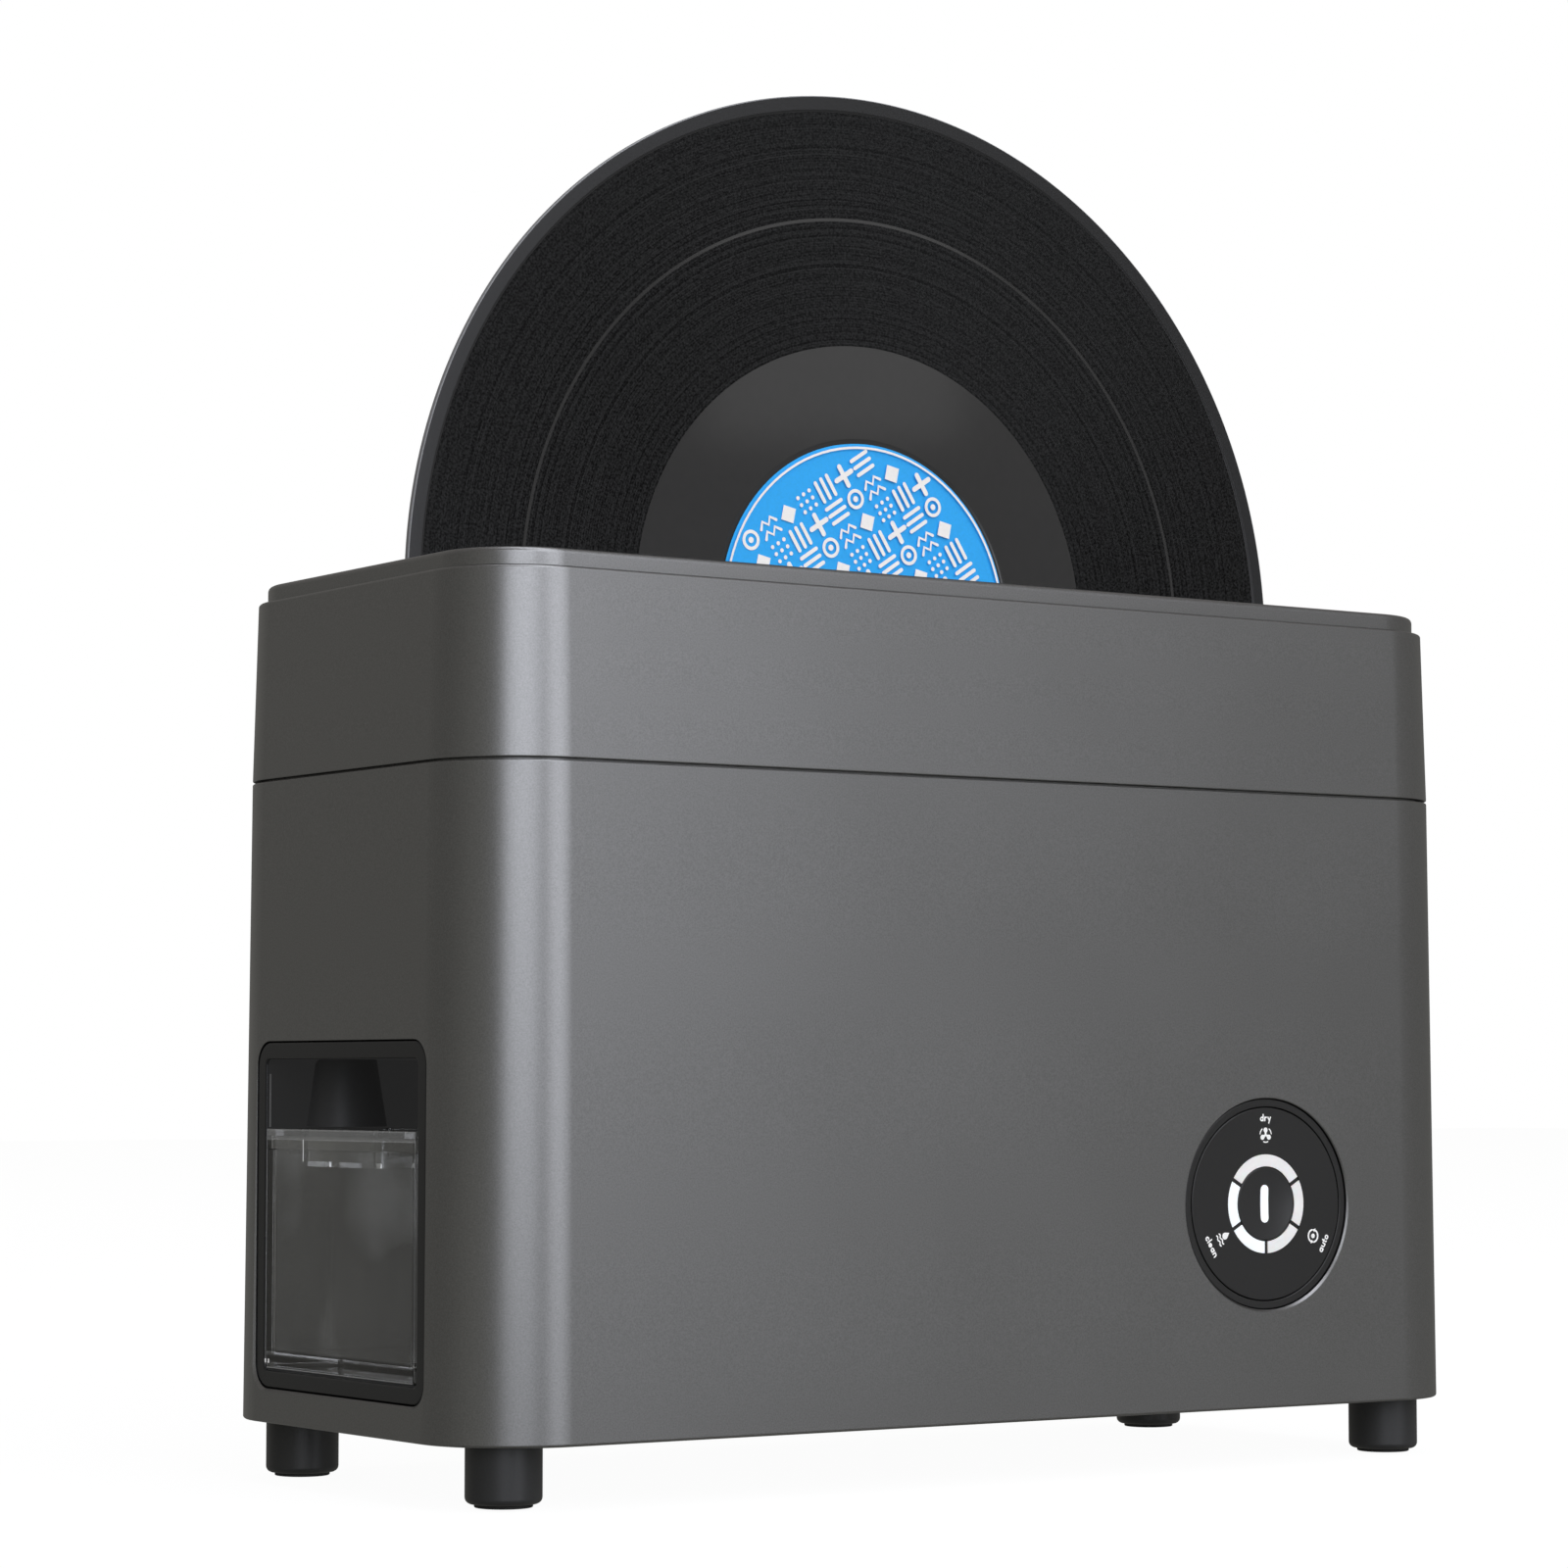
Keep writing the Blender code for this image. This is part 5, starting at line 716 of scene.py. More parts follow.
ALUMINIUM = surface("aluminium", (0.62, 0.63, 0.64), 0.35, ALUMINIUM_GRAIN, Metallic=1.0)
HOSE = surface("silicone_hose", (0.70, 0.70, 0.68), 0.5, Grain(0.04, 700, 10, 0.05), Subsurface_Weight=0.3)
FOAM = foam_material()
BOARD = board_material()


def slot_name(material):
    """The name that a material shares with its slot."""
    return material.name.split(".")[0]


SHOWN = (PAINT, BLACK, PANEL, UNLIT_GLOWING, CLEAR, FOAM, RUBBER, VINYL, PAPER)
INNER = (BATH, GEAR, STEEL, ALUMINIUM, BOARD, HOSE)
SLOT_MATERIALS = {slot_name(material): material for material in SHOWN + INNER}


def dress_nodes():
    """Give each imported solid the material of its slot."""
    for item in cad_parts.values():
        for slot in item.material_slots:
            base = slot_name(slot.material) if slot.material else ""
            slot.material = SLOT_MATERIALS.get(base, BLACK)
        shade(item)


# Body


def lean(height):
    """How far the body's wall leans in at a height."""
    lower = LOWER_DRAFT_SHARE * (min(height, SEAM) - BODY_LOW)
    return lower + UPPER_DRAFT_SHARE * max(height - SEAM, 0)


def body_ring(inset, height, lean_height=None):
    """The body's rounded outline at a height, moved in by inset."""
    move = lean(height if lean_height is None else lean_height) + inset
    return level_ring(HALF_WIDTH - move, HALF_DEPTH - move, BODY_CORNER - move, height, steps=CORNER_STEPS)


def screw_posts():
    """The posts that take the base plate's screws."""
    posts = []
    for name in CORNERS:
        low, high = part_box("base_screw_" + name)
        foot = Vector(((low.x + high.x) / 2, (low.y + high.y) / 2, BODY_LOW + WALL + OVERRUN + GAP))
        posts.append(rod("post", foot, foot + Vector((0, 0, POST_HEIGHT)), POST_RADIUS))
    return posts


def wall_cutters():
    """The cutters for the bay, the panel, the vent and the inlet."""
    side = lean(PANEL_Z) - HALF_WIDTH
    levels = ((side - OVERRUN, WINDOW_FLARE_GROWTH), (side + WINDOW_FLARE, 0), (side + WALL * 2, 0))
    bay = prism("bay_cutter", box_outline(BAY_LOW, BAY_HIGH, BEZEL_CORNER, 1, GAP), 0, levels)
    front = HALF_DEPTH - lean(PANEL_Z)
    hole = (
        (0, front + OVERRUN),
        (PANEL_RADIUS + PANEL_CHAMFER + OVERRUN, front + OVERRUN),
        (PANEL_RADIUS, front - PANEL_CHAMFER),
        (PANEL_RADIUS, front - WALL * 2),
        (0, front - WALL * 2),
    )
    panel = panel_lathe("panel_cutter", hole)
    back = (HALF_DEPTH - WALL * 2, HALF_DEPTH + OVERRUN)
    window = box_outline(VENT_LOW, VENT_HIGH, VENT_CORNER, 0, GAP)
    vent = prism("vent_cutter", window, 1, [(place, 0) for place in back])
    ends = [(INLET_X, place, INLET_Z) for place in back]
    return bay, panel, vent, rod("inlet_cutter", *ends, INLET_COLLAR + GAP, COLLAR_STEPS)


def make_lower_housing():
    """The lower wall with rounded edges, its windows and its screw posts."""
    corners = ((0, BODY_LOW, LOW_EDGE), (0, SEAM, SEAM_EDGE), (WALL, SEAM), (WALL, BODY_LOW))
    housing = loft("lower_housing", [body_ring(*point) for point in filleted(corners)], looped=True)
    join(housing, *screw_posts())
    cut(housing, *wall_cutters())
    dress(housing, "chassis", PAINT, "graphite_paint", "lower_shell")


def make_upper_housing():
    """The upper wall with its tongue, rounded shoulder and the window over the bath."""
    low = SEAM + SEAM_GAP
    corners = (
        (WALL, SHOULDER - WALL),
        (WALL, low + TONGUE_DEPTH + TONGUE_TAPER),
        (TONGUE_IN, low + TONGUE_DEPTH),
        (TONGUE_IN, SEAM - TONGUE_DEPTH),
        (TONGUE_OUT, SEAM - TONGUE_DEPTH),
        (TONGUE_OUT, low),
        (0, low, SEAM_EDGE),
        (0, SHOULDER, LOW_EDGE),
        (BODY_CORNER / 2, SHOULDER),
    )
    housing = loft("upper_housing", [body_ring(*point) for point in filleted(corners, looped=False)])
    half_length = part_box("bath")[1].x - BATH_WINDOW_MARGIN
    window = rounded(half_length, BATH_WINDOW_HALF, GAP, 2, (0, RECORD_CENTRE.y))
    cut(housing, prism("slot_cutter", window, 2, ((SHOULDER - WALL * 2, 0), (SHOULDER + OVERRUN, 0))))
    dress(housing, "chassis", PAINT, "graphite_paint", "upper_shell")


def slot_ring(grow, height):
    """The record slot's outline at a height, grown on all sides."""
    half = SLOT_HALF_WIDTH + grow
    corners = {"steps": SLOT_STEPS, "centre": (0, RECORD_CENTRE.y)}
    return level_ring(SLOT_HALF_LENGTH + grow, half, half, height, **corners)


def make_lid_cover():
    """The raised top with its rounded lip, shallow dish and slot."""
    low = SHOULDER + GAP
    dish = COVER_STEP + COVER_RIM
    corners = (
        (COVER_STEP, low),
        (COVER_STEP, COVER_TOP, COVER_EDGE),
        (dish, COVER_TOP, COVER_DISH / 2),
        (dish + COVER_DISH, COVER_TOP - COVER_DISH, COVER_DISH / 2),
        (BODY_CORNER / 2, COVER_TOP - COVER_DISH),
    )
    rings = [body_ring(inset, height, SHOULDER) for inset, height in filleted(corners, looped=False)]
    cover = loft("raised_top", rings)
    heights = (low - OVERRUN, COVER_TOP)
    cut(cover, loft("slot_cutter", [slot_ring(TRIM_WALL + GAP, height) for height in heights]))
    dress(cover, "chassis", PAINT, "graphite_paint", "top_cover")


def make_slot_lining():
    """The slot's trim with a rounded lip."""
    top = TRIM_HIGH.z
    seat = top - TRIM_THICKNESS
    corners = (
        (0, seat - TRIM_DEPTH),
        (TRIM_WALL, seat - TRIM_DEPTH),
        (TRIM_WALL, seat),
        (TRIM_WALL + TRIM_FLANGE, seat),
        (TRIM_WALL + TRIM_FLANGE, top, TRIM_THICKNESS / 2),
        (0, top, TRIM_INNER_EDGE),
    )
    rings = [slot_ring(*point) for point in filleted(corners)]
    dress(loft("slot_lining", rings, looped=True), "chassis", BLACK, "black_plastic", "slot_trim")


def make_foot(name):
    """One foot and its softer pad with round grooves."""
    low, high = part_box("foot_" + name)
    centre = ((low.x + high.x) / 2, (low.y + high.y) / 2, 0)
    radius = (high.x - low.x) / 2
    foot_low = low.z - FOOT_DROP
    corners = ((0, high.z), (radius, high.z, PAD_EDGE), (radius, foot_low, FOOT_EDGE), (0, foot_low))
    foot = lathe("standing_foot_" + name, filleted(corners, looped=False), centre, (0, 0, 1))
    dress(foot, "chassis", FOOT, "black_plastic", "foot_" + name)
    low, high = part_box("foot_pad_" + name)
    corners = [(0, foot_low - PAD_SEAT), (PAD_RADIUS, foot_low - PAD_SEAT), (PAD_RADIUS, low.z, PAD_EDGE)]
    for groove in PAD_GROOVES:
        for edge, depth in ((1, 0), (1, PAD_GROOVE_DEPTH), (-1, PAD_GROOVE_DEPTH), (-1, 0)):
            corners.append((groove + edge * PAD_GROOVE_WIDTH / 2, low.z + depth))
    corners.append((0, low.z))
    pad = lathe("rubber_pad_" + name, filleted(corners, looped=False), centre, (0, 0, 1))
    dress(pad, "chassis", RUBBER, "rubber", "foot_pad_" + name)


def make_feet():
    """The four feet."""
    for name in CORNERS:
        make_foot(name)


# Tank bay


def bay_ring(grow, radius, place):
    """The bay's rounded outline in the left wall's plane, grown on all sides."""
    half_height = (BAY_LINTEL - BAY_SILL) / 2 + grow
    outline = rounded(BAY_HALF + grow, half_height, radius, centre=(0, (BAY_LINTEL + BAY_SILL) / 2))
    return [(place, along, up) for along, up in outline]


def bay_skin():
    """The bay's box with the bezel in front of it, softened at both edges."""
    rings = [bay_ring(0, BAY_CORNER, BAY_SKIN_BACK - BAY_WALL)]
    for inset, rise in quarter(BEZEL_EDGE):
        rings.append(bay_ring(rise, BAY_CORNER + rise, BAY_FRONT + inset))
    for inset, rise in quarter(BEZEL_EDGE):
        rings.append(bay_ring(BEZEL_BORDER - inset, BEZEL_CORNER - inset, BAY_FRONT + rise))
    rings.append(bay_ring(BEZEL_BORDER, BEZEL_CORNER, BAY_FRONT + BEZEL_DEPTH))
    for place in (BAY_FRONT + BEZEL_DEPTH, BAY_SKIN_BACK):
        rings.append(bay_ring(BAY_WALL, BAY_CORNER + BAY_WALL, place))
    return loft("bay_frame", rings)


def bay_rib(side):
    """The cone on one inner wall of the bay, cut off inside the wall."""
    across = side * (BAY_HALF + BAY_RIB_SINK)
    low = TANK_TOP + GAP
    middle = BAY_FRONT + BAY_RIB_SETBACK
    head = (middle, across, BAY_LINTEL + BAY_WALL / 2)
    rib = rod("rib", (middle, across, low), head, BAY_RIB_FOOT_RADIUS, FINE_ROD_STEPS, BAY_RIB_TOP_RADIUS)
    keep = sorted((side * (BAY_HALF + BAY_WALL / 2), side * (BAY_HALF + BAY_RIB_TRIM)))
    reach = BAY_RIB_FOOT_RADIUS * 2
    trim_high = (middle + reach, keep[1], BAY_LINTEL + BEZEL_BORDER)
    return cut(rib, block("rib_cutter", (middle - reach, keep[0], low - OVERRUN), trim_high))


def port_rod(name, side, start, end, radius):
    """A round bar along a hose port's axis."""
    return rod(name, (start, side * PORT_Y, PORT_HEIGHT), (end, side * PORT_Y, PORT_HEIGHT), radius)


def make_bay():
    """The bay's bezel, box, ribs and hose ports."""
    added, bores = [], []
    bay = bay_skin()
    for side in (-1, 1):
        added.append(bay_rib(side))
        added.append(port_rod("port", side, BAY_SKIN_BACK - BAY_WALL / 2, BAY_HIGH.x, PORT_RADIUS))
        bores.append(port_rod("bore", side, BAY_SKIN_BACK - BAY_WALL * 2, BAY_HIGH.x + OVERRUN, PORT_BORE))
    cut(join(bay, *added), *bores)
    dress(bay, "chassis", BEZEL, "black_plastic", "tank_bay")
    # The inner walls and the ribs get glowing plastics: painted light, and on the ribs painted shade
    recolour(bay, BAY_INSIDE_GLOW, in_bay)
    recolour(bay, BAY_RIB_DIM_GLOW, on_bay_rib)
    make_bay_rails()


def in_bay(place):
    """Whether a place is on an inner wall of the bay."""
    deep = BAY_FRONT + BEZEL_DEPTH < place.x < BAY_SKIN_BACK - BAY_WALL / 2
    return deep and abs(place.y) < BAY_HALF + GAP and BAY_SILL - GAP < place.z < BAY_LINTEL + GAP


def on_bay_rib(place):
    """Whether a place is on a rib, off the bay's inner walls."""
    near = abs(place.x - BAY_FRONT - BAY_RIB_SETBACK) < BAY_RIB_FOOT_RADIUS + GAP
    return near and TANK_TOP < place.z < BAY_LINTEL - GAP and abs(place.y) < BAY_HALF - GAP


def make_bay_rails():
    """The slim guide rail on each inner wall of the bay, bright and glowing as a painted highlight line."""
    front = BAY_FRONT + BAY_RAIL_BACK
    rails = []
    for side in (-1, 1):
        wall = sorted((side * (BAY_HALF + BAY_WALL / 2), side * (BAY_HALF - BAY_RAIL_RISE)))
        high = (front + BAY_RAIL_WIDTH, wall[1], BAY_LINTEL - BAY_RAIL_MARGIN)
        rails.append(block("bay_rail", (front, wall[0], TANK_TOP + GAP), high))
    rail = join(*rails)
    rail.name = "bay_rail_highlights"
    dress(rail, "chassis", BAY_RAIL_HIGHLIGHT, "black_plastic")


# Tank


def tank_ring(inset, height):
    """The tank's outline at a height, moved in by inset."""
    half_length = (TANK_HIGH.x - TANK_LOW.x) / 2 - inset
    half_width = (TANK_HIGH.y - TANK_LOW.y) / 2 - inset
    centre = ((TANK_HIGH.x + TANK_LOW.x) / 2, 0)
    return level_ring(half_length, half_width, TANK_CORNER, height, centre=centre)


def make_tank_body():
    """The clear tank with its neck and the valve's bore."""
    floor = TANK_LOW.z + TANK_FLOOR
    top = TANK_TOP - LID_THICKNESS - GAP
    neck = LID_SKIRT_WALL + GAP
    levels = [(inset, TANK_LOW.z + rise) for inset, rise in quarter(TANK_EDGE)]
    levels += [(0, SKIRT_LOW - GAP), (neck, SKIRT_LOW - GAP), (neck, top), (TANK_WALL, top)]
    levels += [(TANK_WALL, floor + TANK_EDGE), (TANK_WALL + TANK_EDGE / 2, floor)]
    tank = loft("clear_tank", [tank_ring(*level) for level in levels])
    start = (TANK_HIGH.x - TANK_WALL - OVERRUN, PORT_Y, PORT_HEIGHT)
    cut(tank, rod("valve_bore", start, (TANK_HIGH.x + OVERRUN, PORT_Y, PORT_HEIGHT), VALVE_BORE, BORE_STEPS))
    dress(tank, "water_tank", CLEAR, "clear_plastic", "tank_body")


def lid_ribs(cross_x):
    """The stiffening ribs under the lid: four along it and one across."""
    low = TANK_TOP - LID_THICKNESS - LID_RIB_DROP
    high = TANK_TOP - LID_THICKNESS / 2
    front = TANK_LOW.x + TANK_WALL + GAP * 2
    back = TANK_HIGH.x - TANK_WALL - GAP * 2
    half = (TANK_HIGH.y - TANK_LOW.y) / 2 - TANK_WALL - GAP * 2
    ribs = []
    for middle in [side * along for along in LID_RIB_Y for side in (-1, 1)]:
        ribs.append(block("lid_rib", (front, middle - LID_RIB / 2, low), (back, middle + LID_RIB / 2, high)))
    ribs.append(block("cross_rib", (cross_x, -half, low), (cross_x + LID_RIB, half, high)))
    return ribs


def make_lid():
    """The clear lid with its skirt, ribs and sunken finger grip."""
    inner = TANK_TOP - LID_THICKNESS
    levels = [(inset, TANK_TOP - rise) for inset, rise in quarter(LID_EDGE)]
    levels += [(0, SKIRT_LOW), (LID_SKIRT_WALL, SKIRT_LOW), (LID_SKIRT_WALL, inner)]
    lid = loft("clear_lid", [tank_ring(*level) for level in levels])
    grip_front = TANK_LOW.x + TANK_WALL + GAP + GRIP_SETBACK
    grip_low = TANK_TOP - GRIP_DEPTH
    centre = (grip_front + GRIP_LENGTH / 2, GRIP_SHIFT)
    outlines = []
    for grow, corner in ((GRIP_WALL, GRIP_CORNER), (0, GRIP_CORNER - GRIP_WALL)):
        half = (GRIP_LENGTH / 2 + grow, GRIP_HALF_WIDTH + grow)
        outlines.append(rounded(*half, corner, centre=centre))
    shell = prism("grip", outlines[0], 2, ((grip_low - GRIP_WALL, 0), (TANK_TOP - LID_THICKNESS / 2, 0)))
    join(lid, shell, *lid_ribs(grip_front + GRIP_LENGTH + GRIP_WALL * 3))
    cut(lid, prism("well", outlines[1], 2, ((grip_low, 0), (TANK_TOP + OVERRUN, 0))))
    dress(lid, "water_tank", CLEAR, "clear_plastic", "tank_lid")


def add_strips(name, material, rows):
    """Thin strips across the tank as one piece. A row is front, middle, height, width and rise."""
    strips = []
    for front, across, height, width, tall in rows:
        low = (front, across - width / 2, height - tall / 2)
        high = (front + EDGE_STRIP, across + width / 2, height + tall / 2)
        strips.append(block("strip", low, high))
    piece = join(*strips)
    piece.name = name
    dress(piece, "water_tank", material, "clear_plastic")


def make_tank_edges():
    """Painted highlights along the clear plastic's edges and across the lid's band, painted glints, and
    painted clouds of reflection on its inner wall.
    """
    front = TANK_LOW.x - EDGE_STRIP * 2
    inside = TANK_LOW.x + TANK_WALL + EDGE_STRIP
    floor = TANK_LOW.z + TANK_FLOOR
    edge_low = TANK_LOW.z + TANK_EDGE
    outer = TANK_HIGH.y - EDGE_INSET
    inner = TANK_HIGH.y - TANK_WALL
    pane = (SKIRT_LOW + floor) / 2
    rows = []
    for side, width in ((-1, NEAR_EDGE_WIDTH), (1, EDGE_WIDTH)):
        rows.append((front, side * outer, (SKIRT_LOW + edge_low) / 2, width, SKIRT_LOW - edge_low))
        rows.append((inside, side * (inner - EDGE_WIDTH / 2), pane, width, SKIRT_LOW - floor))
    rows.append((inside, 0, floor, 2 * inner, FLOOR_EDGE_WIDTH))
    rows.append((front, 0, TANK_LOW.z + EDGE_INSET, 2 * (TANK_HIGH.y - TANK_EDGE), EDGE_WIDTH))
    # Painted highlights along the tank's edges
    add_strips("tank_edge_highlights", EDGE_HIGHLIGHT, rows)
    rows = [(front, 0, TANK_TOP - drop, 2 * outer, EDGE_WIDTH) for drop in (LID_EDGE, LID_BAND)]
    for side in (-1, 1):
        rows.append((front, side * outer, TANK_TOP - LID_SKIRT / 2, EDGE_WIDTH, LID_SKIRT - LID_EDGE))
    # Painted highlights along the lid's edges
    add_strips("lid_edge_highlights", EDGE_HIGHLIGHT, rows)
    make_glints(front)
    # A film of painted reflection in clouds on the inner wall
    clouds = (inside, 0, pane, 2 * (inner - EDGE_WIDTH), SKIRT_LOW - floor)
    add_strips("tank_painted_clouds", PAINTED_CLOUDS, [clouds])
    # A painted highlight across the lid's band
    land = (front, 0, TANK_TOP - LID_BAND / 2, 2 * outer, LID_BAND - EDGE_WIDTH)
    add_strips("lid_land_highlight", LID_BAND_HIGHLIGHT, [land])


def make_glints(front):
    """Painted glints: a bright line along one side of the grip and two spots in a low corner."""
    grip_edge = GRIP_SHIFT + GRIP_HALF_WIDTH + GRIP_WALL - GRIP_LINE_SHIFT
    grip_middle = TANK_TOP - (GRIP_DEPTH + LID_BAND) / 2
    rows = [(front, grip_edge, grip_middle, EDGE_WIDTH, GRIP_DEPTH - LID_BAND)]
    for inset in GLINT_PLACES:
        place = TANK_HIGH.y - inset - GLINT_SIZE[0] / 2
        rows.append((front - EDGE_STRIP * 2, place, TANK_LOW.z + GLINT_RISE, *GLINT_SIZE))
    add_strips("tank_glints", GLINT, rows)


# Panel


def make_panel_ring():
    """The ring that holds the panel, with its flange and a ledge under the disc."""
    outer = PANEL_RADIUS - GAP
    inner = outer - PANEL_RING_WIDTH
    flange_front = HALF_DEPTH - lean(PANEL_Z) - WALL - GAP
    flange_back = flange_front - PANEL_FLANGE_DEPTH
    ledge_front = PANEL_FACE - PANEL_DISC_DEPTH - GAP
    ledge_back = ledge_front - PANEL_FLANGE_DEPTH
    corners = (
        (inner, PANEL_FACE, PANEL_EDGE),
        (outer, PANEL_FACE, PANEL_EDGE),
        (outer, flange_front),
        (outer + PANEL_FLANGE_WIDTH, flange_front),
        (outer + PANEL_FLANGE_WIDTH, flange_back),
        (outer, flange_back),
        (outer, PANEL_FACE - PANEL_RING_DEPTH),
        (inner, PANEL_FACE - PANEL_RING_DEPTH),
        (inner, ledge_back),
        (inner - PANEL_LEDGE_WIDTH, ledge_back),
        (inner - PANEL_LEDGE_WIDTH, ledge_front),
        (inner, ledge_front),
    )
    ring = panel_lathe("dial_ring", filleted(corners), closed=True)
    dress(ring, "chassis", PANEL, "black_plastic", "panel_ring")


def make_panel_disc():
    """The disc round the light ring."""
    hole = LIGHT_OUTER + GAP / 3
    rim = PANEL_RADIUS - PANEL_RING_WIDTH - GAP * 2
    back = PANEL_FACE - PANEL_DISC_DEPTH
    corners = ((hole, PANEL_FACE), (rim, PANEL_FACE, PANEL_EDGE), (rim, back), (hole, back))
    disc = panel_lathe("dial_disc", filleted(corners), closed=True)
    dress(disc, "chassis", PANEL, "panel_black", "panel_disc")


def make_light_ring():
    """The light's segments and the frame under them."""
    low_face = PANEL_FACE - LIGHT_GROOVE_DEPTH
    seat = PANEL_FACE - PANEL_DISC_DEPTH - GAP
    profile = (
        (LIGHT_INNER, low_face),
        (LIGHT_OUTER, low_face),
        (LIGHT_OUTER, seat),
        (LIGHT_OUTER + LIGHT_FLANGE, seat),
        (LIGHT_OUTER + LIGHT_FLANGE, seat - LIGHT_FLANGE_DEPTH),
        (LIGHT_INNER, seat - LIGHT_FLANGE_DEPTH),
    )
    light_frame = panel_lathe("light_frame", profile, closed=True)
    dress(light_frame, "chassis", PANEL, "panel_black", "light_guide")
    for index, span in enumerate(LIGHT_SPANS):
        segment = light_segment("light_segment_%d" % (index + 1), span, (low_face, PANEL_FACE))
        # The lit segments glow as lamps; the others glow faintly as painted light
        dress(segment, "chassis", LIT if index in LIT_SPANS else UNLIT_GLOWING, "light_white")


def light_segment(name, span, levels):
    """One segment of the light ring, with parallel gaps to its neighbours."""
    steps = int((span[1] - span[0]) / SEGMENT_STEP)
    outline = []
    for radius, order in ((LIGHT_OUTER, 1), (LIGHT_INNER, -1)):
        trim = math.degrees(math.asin(LIGHT_GROOVE_WIDTH / 2 / radius))
        sweep = span[1] - span[0] - 2 * trim
        for step in range(steps + 1)[::order]:
            turn = math.radians(span[0] + trim + sweep * step / steps)
            outline.append((PANEL_X + radius * math.sin(turn), PANEL_Z + radius * math.cos(turn)))
    shape = bmesh.new()
    for row in skin(shape, [[(x, -along, z) for x, z in outline] for along in levels]):
        for index in range(steps):
            shape.faces.new((row[index], row[index + 1], row[-2 - index], row[-1 - index]))
    return made(name, shape)


def dished(distance):
    """How far forward the button's dish lies at a distance from its middle."""
    return PANEL_FACE - BUTTON_DISH * (1 - (distance / (LIGHT_INNER - GAP)) ** 2)


def make_button():
    """The dished push button."""
    radius = LIGHT_INNER - GAP
    switch_front = -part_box("start_button")[1].y
    cap_back = PANEL_FACE - BUTTON_DISH - BUTTON_CAP
    corners = [(radius * step / DISH_STEPS, dished(radius * step / DISH_STEPS)) for step in range(DISH_STEPS)]
    corners += [
        (radius, PANEL_FACE, PANEL_EDGE),
        (radius, PANEL_FACE - BUTTON_SKIRT),
        (radius - BUTTON_SKIRT_WALL, PANEL_FACE - BUTTON_SKIRT),
        (radius - BUTTON_SKIRT_WALL, cap_back),
        (BUTTON_STEM_RADIUS, cap_back),
        (BUTTON_STEM_RADIUS, switch_front),
        (0, switch_front),
    ]
    button = panel_lathe("push_button", filleted(corners, looped=False))
    dress(button, "button", BUTTON, "panel_black", "start_button", sharp=BUTTON_SHARP_ANGLE)


def make_button_bar():
    """The white bar on the button, which follows its dish."""
    shape = bmesh.new()
    rows = []
    for step in range(BAR_STEPS + 1):
        up = BAR_HALF_LENGTH * math.sin(math.pi * (step / BAR_STEPS - 0.5))
        past = max(abs(up) - (BAR_HALF_LENGTH - BAR_HALF_WIDTH), 0)
        half = math.sqrt(max(BAR_HALF_WIDTH**2 - past**2, 0))
        row = []
        for across in (-half, -half / 2, 0, half / 2, half):
            height = dished(math.hypot(across, up)) + PRINT_RISE
            row.append(shape.verts.new((PANEL_X + across, -height, PANEL_Z + up)))
        rows.append(row)
    for near, far in zip(rows, rows[1:]):
        for left in range(len(near) - 1):
            shape.faces.new((near[left], near[left + 1], far[left + 1], far[left]))
    dress(made("button_bar", shape), "button", LIT, "light_white")


# Printed marks, drawn in millimetres right and up and laid on a surface by a function of the piece


def arc(centre, radius, start, end, steps=14):
    """Points along an arc. Its angles are in degrees, anticlockwise from the right."""
    points = []
    for step in range(steps + 1):
        angle = math.radians(start + (end - start) * step / steps)
        points.append((centre[0] + radius * math.cos(angle), centre[1] + radius * math.sin(angle)))
    return points


def dot(centre, radius, steps):
    """A round polygon."""
    return arc(centre, radius, 0, 360, steps)[:-1]


def stroke(points, width):
    """The polygons of a line with round ends."""
    points = [Vector(point) for point in points]
    sides = []
    for index, point in enumerate(points):
        along = (points[min(index + 1, len(points) - 1)] - points[max(index - 1, 0)]).normalized()
        out = Vector((-along.y, along.x)) * width / 2
        sides.append((point + out, point - out))
    polygons = [[near[0], near[1], far[1], far[0]] for near, far in zip(sides, sides[1:])]
    for start, end in (sides[0][::-1], sides[-1]):
        middle = (start + end) / 2
        turns = [Matrix.Rotation(-math.pi * step / CAP_STEPS, 2) for step in range(CAP_STEPS + 1)]
        polygons.append([middle + turn @ (start - middle) for turn in turns])
    return polygons


